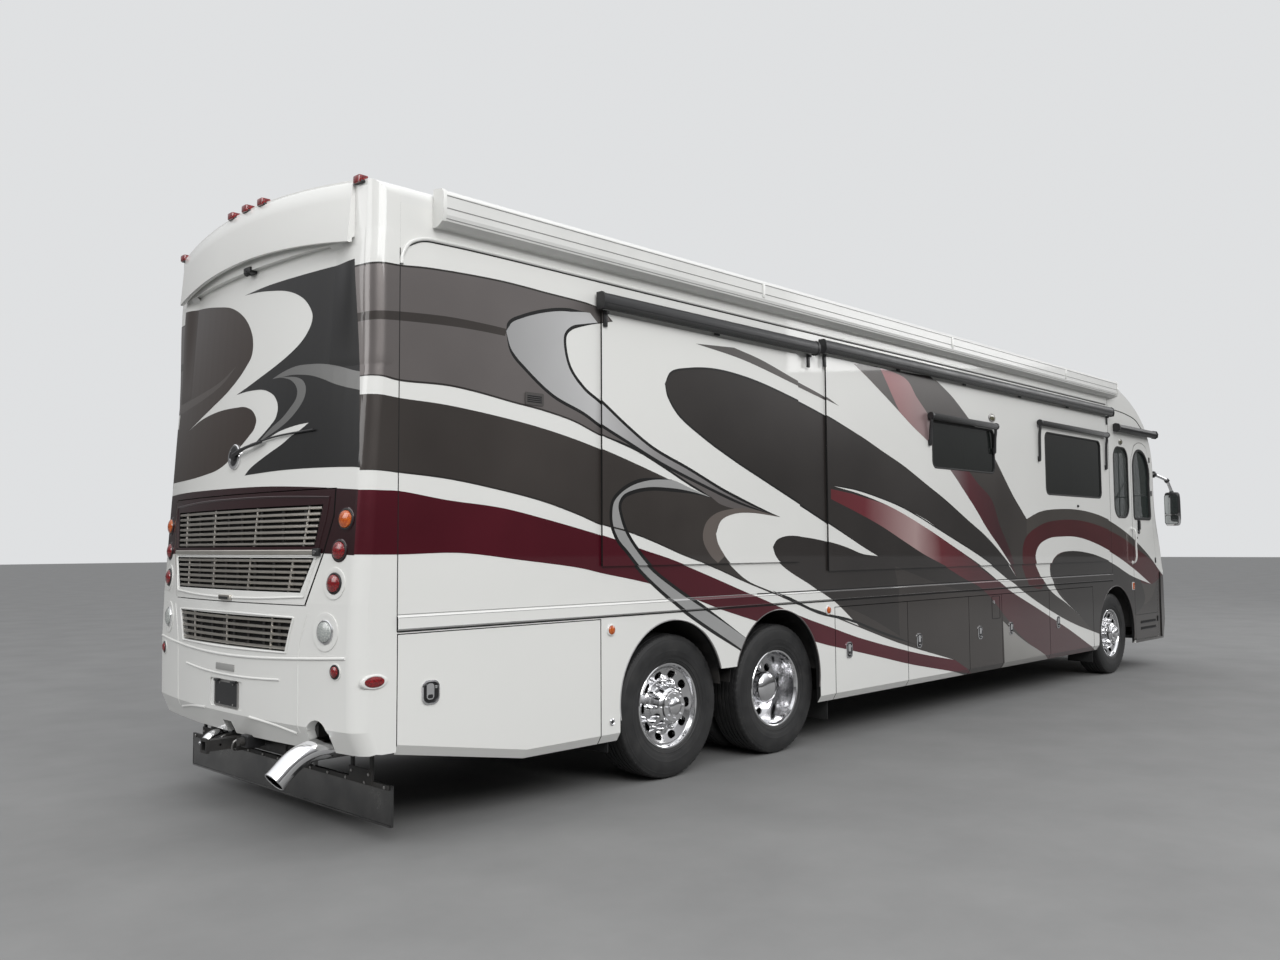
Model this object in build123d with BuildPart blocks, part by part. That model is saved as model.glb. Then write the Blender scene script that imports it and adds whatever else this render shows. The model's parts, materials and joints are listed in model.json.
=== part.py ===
from build123d import *
import math
import os

# A three-axle motorhome of the bus type, in millimetres.
# Frame: X forward, Y to the left, Z up, origin on the floor under the middle of the whole box.
# Stations along the body are given from the rear-most (tag) axle and shifted by TAG_X.

# ---------------------------------------------------------------- driving dimensions
TAG_X = -3650.45         # the tag axle, from the middle of the whole length
HALF_W = 1283.0         # half of the body width
WALL = 50.0             # side wall thickness
PANEL = 40.0            # thickness of skirts and bay doors
ROOF_T = 60.0           # roof and cap thickness
SHELL_T = 50.0          # rear and front moulding thickness
WALL_TOP = 3560.0       # top of the side walls
ROOF_SHOULDER = 3600.0  # where the roof edge starts to turn in
ROOF_EDGE = 3672.0      # outer edge of the crown
ROOF_CROWN = 3744.0     # highest line of the roof
BELT_Z = 1152.0         # lower edge of the side walls
HEADER_Z = 1112.0       # lower edge of the wall over the middle bays
SKIRT_Z = 345.0         # lower edge of the skirts
FACET_H, FACET_D = 55.0, 34.0   # the tucked-in lower edge of the skirts
DOOR_GAP = 4.0          # half of the gap between two bay doors
WALL_REAR, WALL_FRONT = -2295.5, 8100.0
FLOOR_Z, FLOOR_T = 1160.0, 50.0

AXLE_Z = 503.0
TYRE_R, TYRE_HALF_W, BEAD_R = 503.0, 145.0, 287.5
RIM_HALF_W, RIM_LIP_R, RIM_R = 120.0, 300.0, 287.0
AXLES = {"tag": 0.0, "drive": 1243.0, "front": 8224.0}
WHEEL_Y = 1065.0        # middle plane of the outer tyres
DUAL_Y = 725.0          # middle plane of the inner drive tyres
KINGPIN_Y = 860.0

RAIL_Y0, RAIL_Y1, RAIL_Z0, RAIL_Z1 = 400.0, 470.0, 860.0, 1120.0

# wheel arch openings: centre along X, centre Z, radius
ARCHES = {"tag": (-42.0, 578.0, 534.0), "drive": (1179.0, 577.0, 549.0), "front": (8213.0, 504.0, 594.0)}
POST_Z = 728.0          # lower end of the post between the two rear arches

# bay doors: name, rear edge, front edge (from the tag axle); the first one has a rising lower edge
BAY_DOORS = [("1", -2295.5, -751.0), ("2", 1950.0, 3120.0), ("3", 3120.0, 4298.0),
             ("4", 4298.0, 5020.0), ("5", 5020.0, 6200.0), ("6", 6200.0, 7450.0)]
BAY_DOORS_LEFT = [("1", -2295.5, -751.0), ("2", 1950.0, 3120.0), ("3", 3120.0, 5020.0),
                  ("4", 5020.0, 7450.0)]

# slide-out rooms: rear, front, bottom, top of the outer flange, depth when shut
SLIDES = {"rear": (-749.0, 1450.0, 1495.0, 3170.0, 650.0),
          "front": (1850.0, 7980.0, 1412.0, 3205.0, 850.0)}
FLANGE, FLANGE_LAP, SLIDE_GAP, SLIDE_T = 12.0, 30.0, 8.0, 30.0
FLANGE_OFF = 6.0        # from the wall face to the back of the flange
# windows in the front slide-out: rear, front, bottom, top, corner radius
SLIDE_WINDOWS = [(3620.0, 4900.0, 2365.0, 2800.0, 60.0), (6170.0, 7770.0, 2190.0, 2880.0, 70.0)]

# front moulding: height, end of the flat side, nose on the centre line
NOSE_LOW = [(345.0, 9870.0, 10095.0), (600.0, 9945.0, 10170.0), (1250.0, 9930.0, 10170.0)]
NOSE_HIGH = [(1250.0, 9930.0, 10170.0), (1450.0, 9860.0, 10135.0), (1750.0, 9755.0, 10062.0), (2350.0, 9640.0, 9945.0),
             (2960.0, 9560.0, 9830.0), (3270.0, 9270.0, 9560.0), (3510.0, 8780.0, 9110.0),
             (3680.0, 8200.0, 8560.0), (3780.0, 8130.0, 8250.0)]
CORNER_Y, CORNER_BACK = 1070.0, 95.0
CAP_LOW_X = 8840.0      # rear edge of the front moulding below the belt

# rear moulding: height, start of the rounded corner on the side, crease, rear face on the centre line
TAIL_HIGH = [(1035.0, -2440.0, -2560.0, -2668.0), (1320.0, -2440.0, -2552.0, -2669.0), (3350.0, -2330.0, -2425.0, -2535.0)]
TAIL_BROW = [(3350.0, -2360.0, -2462.0, -2572.0), (3780.0, -2360.0, -2462.0, -2572.0)]
TAIL_LOW = [(512.0, -2400.0, -2500.0, -2600.0), (640.0, -2440.0, -2555.0, -2660.0), (1035.0, -2440.0, -2560.0, -2668.0)]
CREASE_Y = 1200.0

# entry door outline and window, right side, X and Z
DOOR_X0, DOOR_X1, DOOR_Z0, DOOR_Z1 = 8846.0, 9684.0, 385.0, 2960.0
CAB_SLOT = (8260.0, 8730.0, 1970.0, 2850.0, 150.0)

os.makedirs("parts", exist_ok=True)


def sx(v):
    """Station along the body, from the tag axle, in the model frame."""
    return v + TAG_X


def save(part, name):
    part.label = name
    export_step(part, "parts/" + name + ".step")


def mirrored(part):
    return mirror(part, about=Plane.XZ)


def box_part(x0, x1, y0, y1, z0, z1):
    """A plain block between two corners, stations given from the tag axle."""
    return Pos(sx((x0 + x1) / 2), (y0 + y1) / 2, (z0 + z1) / 2) * Box(x1 - x0, abs(y1 - y0), z1 - z0, mode=Mode.PRIVATE)


def side_plane(y):
    """A plane seen from the right side: local x is X, local y is Z, at the given Y."""
    return Plane(origin=(TAG_X, y, 0), x_dir=(1, 0, 0), z_dir=(0, -1, 0))


def cross_plane(x):
    """A plane across the body: local x is Y, local y is Z."""
    return Plane(origin=(sx(x), 0, 0), x_dir=(0, 1, 0), z_dir=(1, 0, 0))


def faceted_plate(outline, arches=(), post=None):
    """A right-hand lower side panel with its tucked-in lower edge and its wheel openings."""
    with BuildPart() as p:
        with BuildSketch(side_plane(-HALF_W)):
            with BuildLine():
                Polyline(*outline, close=True)
            make_face()
        extrude(amount=-PANEL)
        low = [e for e in p.edges().filter_by(lambda e: abs(e.center().Y + HALF_W) < 0.1)
               if abs((e @ 1 - e @ 0).Z) < 0.3 * abs((e @ 1 - e @ 0).X) and e.center().Z < 700]
        face = p.faces().filter_by(lambda f: abs(f.center().Y + HALF_W) < 0.1)[0]
        chamfer(low, length=FACET_H, length2=FACET_D, reference=face)
        for cx, cz, r in arches:
            with BuildSketch(side_plane(-HALF_W - 10)):
                with Locations((cx, cz)):
                    Circle(r)
                with Locations((cx, cz / 2 - 20)):
                    Rectangle(2 * r, cz + 40)
            extrude(amount=-PANEL - 20, mode=Mode.SUBTRACT)
        if post is not None:
            with BuildSketch(side_plane(-HALF_W - 10)):
                with Locations(((post[0] + post[1]) / 2, post[2] / 2)):
                    Rectangle(post[1] - post[0], post[2])
            extrude(amount=-PANEL - 20, mode=Mode.SUBTRACT)
    return p.part


def roof_section(t, base=300.0, trim=0.0):
    """The closed cross section under the roof skin, moved in by t."""
    w, e = HALF_W - t - trim, ROOF_EDGE - t
    a = (HALF_W - 1215.0)
    with BuildSketch(Plane.XY) as s:
        with BuildLine():
            Line((-w, base), (-w, ROOF_SHOULDER - t))
            ThreePointArc((-w, ROOF_SHOULDER - t), (-w + a * 0.293, ROOF_SHOULDER - t + (e - ROOF_SHOULDER + t) * 0.707), (-w + a, e))
            ThreePointArc((-w + a, e), (0, ROOF_CROWN - t), (w - a, e))
            ThreePointArc((w - a, e), (w - a * 0.293, ROOF_SHOULDER - t + (e - ROOF_SHOULDER + t) * 0.707), (w, ROOF_SHOULDER - t))
            Line((w, ROOF_SHOULDER - t), (w, base))
            Line((w, base), (-w, base))
        make_face()
    return s.sketch


def roof_prism(x0, x1, t, base=300.0, trim=0.0):
    face = cross_plane(x0).location * roof_section(t, base, trim)
    with BuildPart() as p:
        add(face)
        extrude(amount=x1 - x0, dir=(1, 0, 0))
    return p.part


def nose_section(z, xs, xc, t, back):
    """Plan outline of the front moulding at one height, moved in by t."""
    w, xf, cy = HALF_W - t, xc - CORNER_BACK, CORNER_Y - 0.3 * t
    with BuildSketch(Plane(origin=(TAG_X, 0, z), x_dir=(1, 0, 0), z_dir=(0, 0, 1))) as s:
        with BuildLine():
            Line((back, w), (back, -w))
            Line((back, -w), (xs, -w))
            ThreePointArc((xs, -w), (xs + 0.68 * (xf - xs), -w + 0.30 * (w - cy)), (xf, -cy))
            ThreePointArc((xf, -cy), (xc, 0), (xf, cy))
            ThreePointArc((xf, cy), (xs + 0.68 * (xf - xs), w - 0.30 * (w - cy)), (xs, w))
            Line((xs, w), (back, w))
        make_face()
    return s.sketch


def nose_solid(t, low=True, high=True):
    """The front moulding as a full solid, its surface moved in by t."""
    out = None
    back = 8100.0 if t == 0 else 7900.0

    def moved(table, ends):
        rows = []
        for i, (z, xs, xc) in enumerate(table):
            a, b = table[max(i - 1, 0)], table[min(i + 1, len(table) - 1)]
            dz, dx = b[0] - a[0], b[2] - a[2]
            n = math.hypot(dz, dx)
            rows.append((z - t * (-dx) / n, xs - t * dz / n, xc - t * dz / n))
        if ends == "low":
            rows[0] = (table[0][0] - (50.0 if t else 0.0), rows[0][1], rows[0][2])
            rows[-1] = (table[-1][0], rows[-1][1], rows[-1][2])
        else:
            rows[0] = (table[0][0], moved_low_top[0], moved_low_top[1])
        return rows

    rows_low = moved(NOSE_LOW, "low")
    moved_low_top = (rows_low[-1][1], rows_low[-1][2])
    if low:
        with BuildPart() as p:
            for z, xs, xc in rows_low:
                add(nose_section(z, xs, xc, t, back))
            loft(ruled=True)
        out = p.part
    if high:
        rows_high = moved(NOSE_HIGH, "high")
        with BuildPart() as q:
            for z, xs, xc in rows_high:
                add(nose_section(z, xs, xc, t, back))
            loft(ruled=False)
        out = q.part if out is None else out + q.part
    return out & roof_prism(back - 50, 10400, t, 200.0, 0.5)


def tail_section(z, xa, xb, xc, t, front):
    """Plan outline of the rear moulding at one height, moved in by t."""
    w, cy = HALF_W - t, CREASE_Y - 0.6 * t
    xb, xc = xb + t, xc + t
    with BuildSketch(Plane(origin=(TAG_X, 0, z), x_dir=(1, 0, 0), z_dir=(0, 0, 1))) as s:
        with BuildLine():
            Line((front, -w), (front, w))
            Line((front, w), (xa, w))
            ThreePointArc((xa, w), (xa + 0.72 * (xb - xa), w - 0.30 * (w - cy)), (xb, cy))
            ThreePointArc((xb, cy), (xc, 0), (xb, -cy))
            ThreePointArc((xb, -cy), (xa + 0.72 * (xb - xa), -w + 0.30 * (w - cy)), (xa, -w))
            Line((xa, -w), (front, -w))
        make_face()
    return s.sketch


def tail_solid(table, t, z_low=None, z_high=None):
    front = WALL_REAR if t == 0 else WALL_REAR + 40.0
    rows = [list(r) for r in table]
    if t:
        if z_low is not None:
            rows[0][0] = z_low
        if z_high is not None:
            rows[-1][0] = z_high
    with BuildPart() as p:
        for z, xa, xb, xc in rows:
            add(tail_section(z, xa, xb, xc, t, front))
        loft(ruled=True)
    return p.part


# ---------------------------------------------------------------- side walls
def side_wall():
    with BuildPart() as p:
        with BuildSketch(side_plane(-HALF_W)):
            with BuildLine():
                Polyline((WALL_REAR, BELT_Z), (1946.0, BELT_Z), (1946.0, HEADER_Z), (7454.0, HEADER_Z),
                         (7454.0, BELT_Z), (WALL_FRONT, BELT_Z), (WALL_FRONT, WALL_TOP), (WALL_REAR, WALL_TOP), close=True)
            make_face()
        extrude(amount=-WALL)
        for x0, x1, z0, z1, depth in SLIDES.values():
            with BuildSketch(side_plane(-HALF_W - 10)):
                with Locations(((x0 + x1) / 2, (z0 + z1) / 2)):
                    Rectangle(x1 - x0 - 2 * FLANGE_LAP, z1 - z0 - 2 * FLANGE_LAP)
            extrude(amount=-WALL - 20, mode=Mode.SUBTRACT)
        # belt moulding along the wall
        with BuildSketch(cross_plane(WALL_REAR)):
            with BuildLine():
                Polyline((-HALF_W + 1, 1166.0), (-HALF_W - 10, 1176.0), (-HALF_W - 10, 1240.0), (-HALF_W + 1, 1254.0), close=True)
            make_face()
        extrude(amount=WALL_FRONT - WALL_REAR)
    return p.part


right_wall = side_wall()
save(right_wall, "side_wall_right")
save(mirrored(right_wall), "side_wall_left")

# ---------------------------------------------------------------- roof
roof = (roof_prism(WALL_REAR, WALL_FRONT, 0, WALL_TOP) - roof_prism(WALL_REAR - 10, WALL_FRONT + 10, ROOF_T, WALL_TOP - 40))
save(roof, "roof")

# roof units: middle station, length, width, top height
ROOF_UNITS = [(-350.0, 1050.0, 720.0, 3975.0), (3350.0, 1050.0, 720.0, 3975.0), (6950.0, 1050.0, 720.0, 3975.0)]
units = []
crown = roof_prism(WALL_REAR, WALL_FRONT, 0, 3000.0)
for xm, ln, wd, top in ROOF_UNITS:
    with BuildPart() as unit:
        with BuildSketch(Plane.XY.offset(3690.0)):
            with Locations((sx(xm), 0)):
                RectangleRounded(ln, wd, 60)
        with BuildSketch(Plane.XY.offset(3860.0)):
            with Locations((sx(xm), 0)):
                RectangleRounded(ln - 30, wd - 30, 60)
        with BuildSketch(Plane.XY.offset(top)):
            with Locations((sx(xm - 60), 0)):
                RectangleRounded(ln - 320, wd - 200, 60)
        loft(ruled=True)
    units.append(unit.part - crown)
save(Compound(children=units), "roof_units")

# ---------------------------------------------------------------- rear moulding, hatch and bumper
tail_outer = (tail_solid(TAIL_HIGH, 0) + tail_solid(TAIL_BROW, 0)) & roof_prism(-2800, WALL_REAR, 0, 300.0, 0.5)
tail_inner = (tail_solid(TAIL_HIGH, SHELL_T, z_low=1000.0) + tail_solid([TAIL_HIGH[-1], (3780.0, -2330.0, -2425.0, -2535.0)], SHELL_T)) & roof_prism(-2800, WALL_REAR + 60, ROOF_T, 300.0, 0.5)
tail_shell = tail_outer - tail_inner


def hatch_prism(grow):
    """The engine hatch outline seen from behind, pushed through the rear moulding."""
    with BuildPart() as p:
        with BuildSketch(cross_plane(-2800)):
            g = 2 * grow
            with BuildLine():
                Polyline((-845 - g, 1308 - grow), (845 + g, 1308 - grow), (975 + g, 1600), (1040 + g, 1800), (1040 + g, 1950 + grow),
                         (-1040 - g, 1950 + grow), (-1040 - g, 1800), (-975 - g, 1600), close=True)
            make_face()
        extrude(amount=460)
    return p.part


# grille recesses: lower and upper edge, half width at the lower and the upper edge
GRILLES = {"upper": (1632.0, 1866.0, 900.0, 950.0), "lower": (1375.0, 1570.0, 800.0, 900.0), "bumper": (1042.0, 1230.0, 676.0, 746.0)}
GRILLE_DEPTH = 36.0
grille_floor = tail_solid(TAIL_HIGH, GRILLE_DEPTH, z_low=1000.0)


def grille_recess(key):
    z0, z1, w0, w1 = GRILLES[key]
    with BuildPart() as p:
        with BuildSketch(cross_plane(-2800)):
            with BuildLine():
                Polyline((-w0, z0), (w0, z0), (w1, z1), (-w1, z1), close=True)
            make_face()
        extrude(amount=400)
    return p.part - grille_floor


engine_hatch = (tail_shell & hatch_prism(0)) - grille_recess("upper") - grille_recess("lower")
save(engine_hatch, "engine_hatch")
rear_cap = tail_shell - hatch_prism(6) - grille_recess("bumper")
save(rear_cap, "rear_cap")

bumper_outer = tail_solid(TAIL_LOW, 0)
bumper_inner = tail_solid(TAIL_LOW, SHELL_T, z_low=480.0, z_high=1060.0)
rear_bumper = bumper_outer - bumper_inner
with BuildPart() as bumper_cuts:
    with BuildSketch(cross_plane(-2750)):
        with Locations((-955, 560)):
            Rectangle(190, 120)
            with Locations((0, 60 - 30)):
                Circle(95)
        with Locations((30, 540)):
            Rectangle(110, 90)
        with Locations((0, 750)):
            with GridLocations(177.8, 120.65, 2, 2):
                Circle(3.2)
    extrude(amount=300)
    # flat bottomed recess for the plate
    with BuildSketch(cross_plane(-2750)):
        with Locations((0, 750)):
            RectangleRounded(436, 172, 26)
    extrude(amount=98)
# the lower edge rises towards the rear, in line with the first bay door
with BuildPart() as bumper_slope:
    with BuildSketch(side_plane(-1400)):
        with BuildLine():
            Polyline((-2700, 400), (-2200, 400), (-2200, 480), (-2295.5, 497), (-2420, 518), (-2450, 512), (-2700, 512), close=True)
        make_face()
    extrude(amount=-2800)
rear_bumper = rear_bumper - bumper_cuts.part - bumper_slope.part
save(rear_bumper, "rear_bumper")

# ---------------------------------------------------------------- front moulding, bumper and windshield
nose_shell = nose_solid(0) - nose_solid(SHELL_T)


def door_prism(grow):
    """The entry door outline through the right-hand side of the front moulding."""
    with BuildPart() as p:
        with BuildSketch(side_plane(-HALF_W - 20)):
            with BuildLine():
                l1 = Polyline((DOOR_X0 - grow, DOOR_Z0 - grow), (DOOR_X1 + grow, DOOR_Z0 - grow), (DOOR_X1 + grow, 1270),
                              (9600 + grow, 1900), (9545 + grow, 2700), (9440 + grow, DOOR_Z1 - 60 + grow))
                l2 = Polyline((DOOR_X0 - grow, DOOR_Z0 - grow), (DOOR_X0 - grow, 2700), (8980 - grow, DOOR_Z1 - 60 + grow))
                ThreePointArc(l2 @ 1, ((8980 + 9440) / 2, DOOR_Z1 + grow), l1 @ 1)
            make_face()
        extrude(amount=-20 - SHELL_T - 5)
    return p.part


def round_rect_prism(plane, win, depth, grow=0.0):
    x0, x1, z0, z1, r = win
    with BuildPart() as p:
        with BuildSketch(plane):
            with Locations(((x0 + x1) / 2, (z0 + z1) / 2)):
                RectangleRounded(x1 - x0 + 2 * grow, z1 - z0 + 2 * grow, r + grow)
        extrude(amount=depth)
    return p.part


def arch_window(y, depth, grow=0.0):
    """The arched window of the entry door and of the driver, as a prism."""
    with BuildPart() as p:
        with BuildSketch(side_plane(y)):
            with BuildLine():
                l1 = Polyline((8925 - grow, 2640), (8925 - grow, 1965 - grow), (9500 + grow, 1965 - grow), (9480 + grow, 2440))
                ThreePointArc(l1 @ 1, (9345 + 0.9 * grow, 2790 + 0.7 * grow), (9170, 2845 + grow))
                ThreePointArc((9170, 2845 + grow), (9000 - 0.7 * grow, 2785 + 0.7 * grow), l1 @ 0)
            make_face()
        extrude(amount=-depth)
    return p.part


# windshield opening seen from the front: half width at the bottom and top, and the middle post
def windshield_prism(grow, x0=9300.0):
    with BuildPart() as p:
        with BuildSketch(cross_plane(x0)):
            for s in (-1, 1):
                with BuildLine():
                    Polyline((s * (18 - grow), 1480 - grow), (s * (1085 + grow), 1480 - grow), (s * (1060 + grow), 2880 + grow),
                             (s * (18 - grow), 2935 + grow), close=True)
                make_face()
        extrude(amount=1100)
    return p.part


cut_low = box_part(8000, CAP_LOW_X, -1400, 1400, 300, BELT_Z)
front_all = nose_shell - cut_low - door_prism(6)
slot_r = round_rect_prism(side_plane(-HALF_W - 20), CAB_SLOT, -90)
slot_l = round_rect_prism(side_plane(HALF_W + 20), CAB_SLOT, 90)
driver_win = mirrored(arch_window(-HALF_W - 20, 90))
front_cap = front_all - slot_r - slot_l - driver_win - windshield_prism(0)
# keep what stands in front of the wall line
front_cap = front_cap - box_part(7000, WALL_FRONT, -1400, 1400, 300, 3900)
save(front_cap, "front_cap")

glass_skin = nose_solid(14, low=False) - nose_solid(22, low=False)
windshield = glass_skin & windshield_prism(0) & box_part(9200, 10400, -1400, 1400, 1300, 3000)
cab_panes = [round_rect_prism(side_plane(-HALF_W + 12), CAB_SLOT, -8), round_rect_prism(side_plane(HALF_W - 20), CAB_SLOT, -8),
             mirrored(arch_window(-HALF_W + 12, 8))]
save(Compound(children=cab_panes + list(windshield.solids())), "cab_windows")

# ---------------------------------------------------------------- entry door
door_slab = box_part(8700, 9800, -HALF_W, -HALF_W + PANEL, 300, 3000)
entry_door = (door_prism(0) & door_slab) - arch_window(-HALF_W - 20, 90)
save(entry_door, "entry_door")
door_pane = arch_window(-HALF_W + 12, 8)
save(door_pane, "entry_door_window")

# ---------------------------------------------------------------- skirts with the wheel openings
skirt_rear = faceted_plate([(-747, SKIRT_Z), (1946, SKIRT_Z), (1946, BELT_Z), (-747, BELT_Z)],
                           [ARCHES["tag"], ARCHES["drive"]], (470, 700, POST_Z))
skirt_front = faceted_plate([(7454, SKIRT_Z), (CAP_LOW_X, SKIRT_Z), (CAP_LOW_X, BELT_Z), (7454, BELT_Z)], [ARCHES["front"]])
pieces = [s for s in skirt_rear.solids() + skirt_front.solids() if s.volume > 1000]
save(Compound(children=pieces), "skirt_right")
save(mirrored(Compound(children=[s for s in skirt_rear.solids() + skirt_front.solids() if s.volume > 1000])), "skirt_left")


# ---------------------------------------------------------------- bay doors
def bay_door(x0, x1):
    a, b = x0 + DOOR_GAP, x1 - DOOR_GAP
    if x0 < -2000:
        top = BELT_Z - 6
        return faceted_plate([(b, SKIRT_Z), (-1380, SKIRT_Z), (a + 2, 496), (a + 2, top), (b, top)])
    top = HEADER_Z - 6
    return faceted_plate([(a, SKIRT_Z), (b, SKIRT_Z), (b, top), (a, top)])


for tag, x0, x1 in BAY_DOORS:
    save(bay_door(x0, x1), "bay_door_right_" + tag)
for tag, x0, x1 in BAY_DOORS_LEFT:
    save(mirrored(bay_door(x0, x1)), "bay_door_left_" + tag)

# ---------------------------------------------------------------- slide-out rooms, shut
flange_face = HALF_W + FLANGE_OFF + FLANGE


def slide_room(key):
    x0, x1, z0, z1, depth = SLIDES[key]
    inset = FLANGE_LAP + SLIDE_GAP
    back = HALF_W + FLANGE_OFF
    with BuildPart() as p:
        with BuildSketch(side_plane(-flange_face)):
            with Locations(((x0 + x1) / 2, (z0 + z1) / 2)):
                Rectangle(x1 - x0, z1 - z0)
        extrude(amount=-FLANGE)
        with BuildSketch(side_plane(-back)):
            with Locations(((x0 + x1) / 2, (z0 + z1) / 2)):
                Rectangle(x1 - x0 - 2 * inset, z1 - z0 - 2 * inset)
        extrude(amount=-depth)
        with BuildSketch(side_plane(-back + 34)):
            with Locations(((x0 + x1) / 2, (z0 + z1) / 2)):
                Rectangle(x1 - x0 - 2 * inset - 2 * SLIDE_T, z1 - z0 - 2 * inset - 2 * SLIDE_T)
        extrude(amount=-depth, mode=Mode.SUBTRACT)
        if key == "front":
            for a, b, c, d, r in SLIDE_WINDOWS:
                with BuildSketch(side_plane(-flange_face - 10)):
                    with Locations(((a + b) / 2, (c + d) / 2)):
                        RectangleRounded(b - a, d - c, r)
                extrude(amount=-80, mode=Mode.SUBTRACT)
    return p.part


slide_rear, slide_front = slide_room("rear"), slide_room("front")
save(slide_rear, "slide_room_right_rear")
save(mirrored(slide_rear), "slide_room_left_rear")
save(slide_front, "slide_room_right_front")
save(mirrored(slide_front), "slide_room_left_front")
panes = [round_rect_prism(side_plane(-flange_face + 10), w, -8) for w in SLIDE_WINDOWS]
save(Compound(children=panes), "slide_windows_right")
panes = [round_rect_prism(side_plane(-flange_face + 10), w, -8) for w in SLIDE_WINDOWS]
save(mirrored(Compound(children=panes)), "slide_windows_left")


# awnings: start, end, lower and upper height of the case, lower end of its brackets
def case_awning(x0, x1, z0, z1, zb, depth=80.0, off=5.0):
    y = -flange_face
    with BuildPart() as p:
        with BuildSketch(cross_plane(x0)):
            with BuildLine():
                Polyline((y - off, z0 + 12), (y - off - 18, z0), (y - depth + 20, z0), (y - depth, z0 + 30),
                         (y - depth, z1 - 34), (y - depth + 26, z1 - 4), (y - off - 10, z1), (y - off, z1 - 8), close=True)
            make_face()
        extrude(amount=x1 - x0)
        for a in (x0 + 60, x1 - 90):
            add(box_part(a, a + 30, y - 32, y, zb, z0 + 40))
    return p.part


SLIDE_AWNINGS = {"rear": [(-800.0, 1660.0, 3182.0, 3298.0, 3060.0)],
                 "front": [(1745.0, 8075.0, 3215.0, 3332.0, 3095.0), (3530.0, 4900.0, 2812.0, 2878.0, 2560.0),
                           (5960.0, 7940.0, 2940.0, 3006.0, 2540.0)]}
for key, rows in SLIDE_AWNINGS.items():
    cases = []
    for i, (x0, x1, z0, z1, zb) in enumerate(rows):
        cases.append(case_awning(x0, x1, z0, z1, zb, depth=80.0 if i == 0 else 62.0))
    save(Compound(children=cases), "slide_awnings_right_" + key)
    cases = [case_awning(x0, x1, z0, z1, zb, depth=80.0 if i == 0 else 62.0) for i, (x0, x1, z0, z1, zb) in enumerate(rows)]
    save(mirrored(Compound(children=cases)), "slide_awnings_left_" + key)

# the long box awning at the roof edge and the short one over the door
with BuildPart() as box_awning:
    with BuildSketch(cross_plane(-2069)):
        with BuildLine():
            Polyline((-1283, 3462), (-1330, 3462), (-1374, 3486), (-1384, 3520), (-1384, 3640), (-1368, 3664), (-1306, 3674),
                     (-1289, 3672), (-1289, 3606), (-1283, 3600), close=True)
        make_face()
    extrude(amount=8190 + 2069)
with BuildPart() as door_awning:
    with BuildSketch(cross_plane(8275)):
        with BuildLine():
            Polyline((-1283, 3052), (-1340, 3046), (-1368, 3064), (-1374, 3100), (-1360, 3136), (-1322, 3146), (-1283, 3140), close=True)
        make_face()
    extrude(amount=9350 - 8275)
    with BuildSketch(cross_plane(9350)):
        with BuildLine():
            Polyline((-1296, 3056), (-1340, 3046), (-1368, 3064), (-1374, 3100), (-1360, 3136), (-1322, 3146), (-1296, 3140), close=True)
        make_face()
    extrude(amount=290)
save(Compound(children=[box_awning.part, door_awning.part]), "wall_awnings")

# ---------------------------------------------------------------- floor and entry steps
with BuildPart() as floor:
    with BuildSketch(Plane.XY.offset(FLOOR_Z)):
        with BuildLine():
            Polyline((sx(WALL_REAR), -1233), (sx(8100), -1233), (sx(8100), -1231), (sx(8867), -1231), (sx(8867), -740), (sx(9670), -740),
                     (sx(9670), -1130), (sx(9760), -1060), (sx(9820), 0), (sx(9760), 1060), (sx(9600), 1231), (sx(8100), 1231),
                     (sx(8100), 1233), (sx(WALL_REAR), 1233), close=True)
        make_face()
    extrude(amount=FLOOR_T)
save(floor.part, "floor")
# treads and risers of the entry, hung from the floor's edge
with BuildPart() as steps:
    with BuildSketch(cross_plane(8867)):
        with BuildLine():
            Polyline((-1225, 400), (-950, 400), (-950, 790), (-710, 790), (-710, FLOOR_Z), (-740, FLOOR_Z), (-740, 820),
                     (-980, 820), (-980, 430), (-1225, 430), close=True)
        make_face()
    extrude(amount=9670 - 8867)
save(steps.part, "entry_steps")

# ---------------------------------------------------------------- chassis: rails, cross members, bay floor and bulkheads
# bulkhead stations along the middle bays
BULKHEADS = [1960.0, 3120.0, 4298.0, 5020.0, 6200.0, 7440.0]
CROSS_MEMBERS = [-2200.0, -900.0, 640.0, 1900.0, 3120.0, 4298.0, 5020.0, 6200.0, 7480.0, 9500.0]
with BuildPart() as chassis:
    for s in (-1, 1):
        add(box_part(-2450, 9700, s * RAIL_Y0, s * RAIL_Y1, RAIL_Z0, RAIL_Z1))
    for x in CROSS_MEMBERS:
        half = 1225.0 if x < 9000 else 700.0
        add(box_part(x - 30, x + 30, -half, half, RAIL_Z1 - 60, FLOOR_Z))
    for x in BULKHEADS:
        add(box_part(x - 12, x + 12, -1225, 1225, 390, RAIL_Z1 - 50))
    add(box_part(BULKHEADS[0] - 12, BULKHEADS[-1] + 12, -1225, 1225, 372, 400))
save(chassis.part, "chassis")
save(box_part(-2160, -1000, -370, 370, 430, 1100), "engine")


# ---------------------------------------------------------------- wheels and tyres
def axle_plane(x):
    return Plane(origin=(sx(x), 0, AXLE_Z), x_dir=(0, 1, 0), z_dir=(1, 0, 0))


def turned(x, outline):
    """A body of revolution about the axle line; outline holds (Y, radius) pairs."""
    with BuildPart() as p:
        with BuildSketch(axle_plane(x)):
            with BuildLine():
                Polyline(*outline, close=True)
            make_face()
        revolve(axis=Axis((sx(x), 0, AXLE_Z), (0, 1, 0)), revolution_arc=360)
    return p.part


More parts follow.
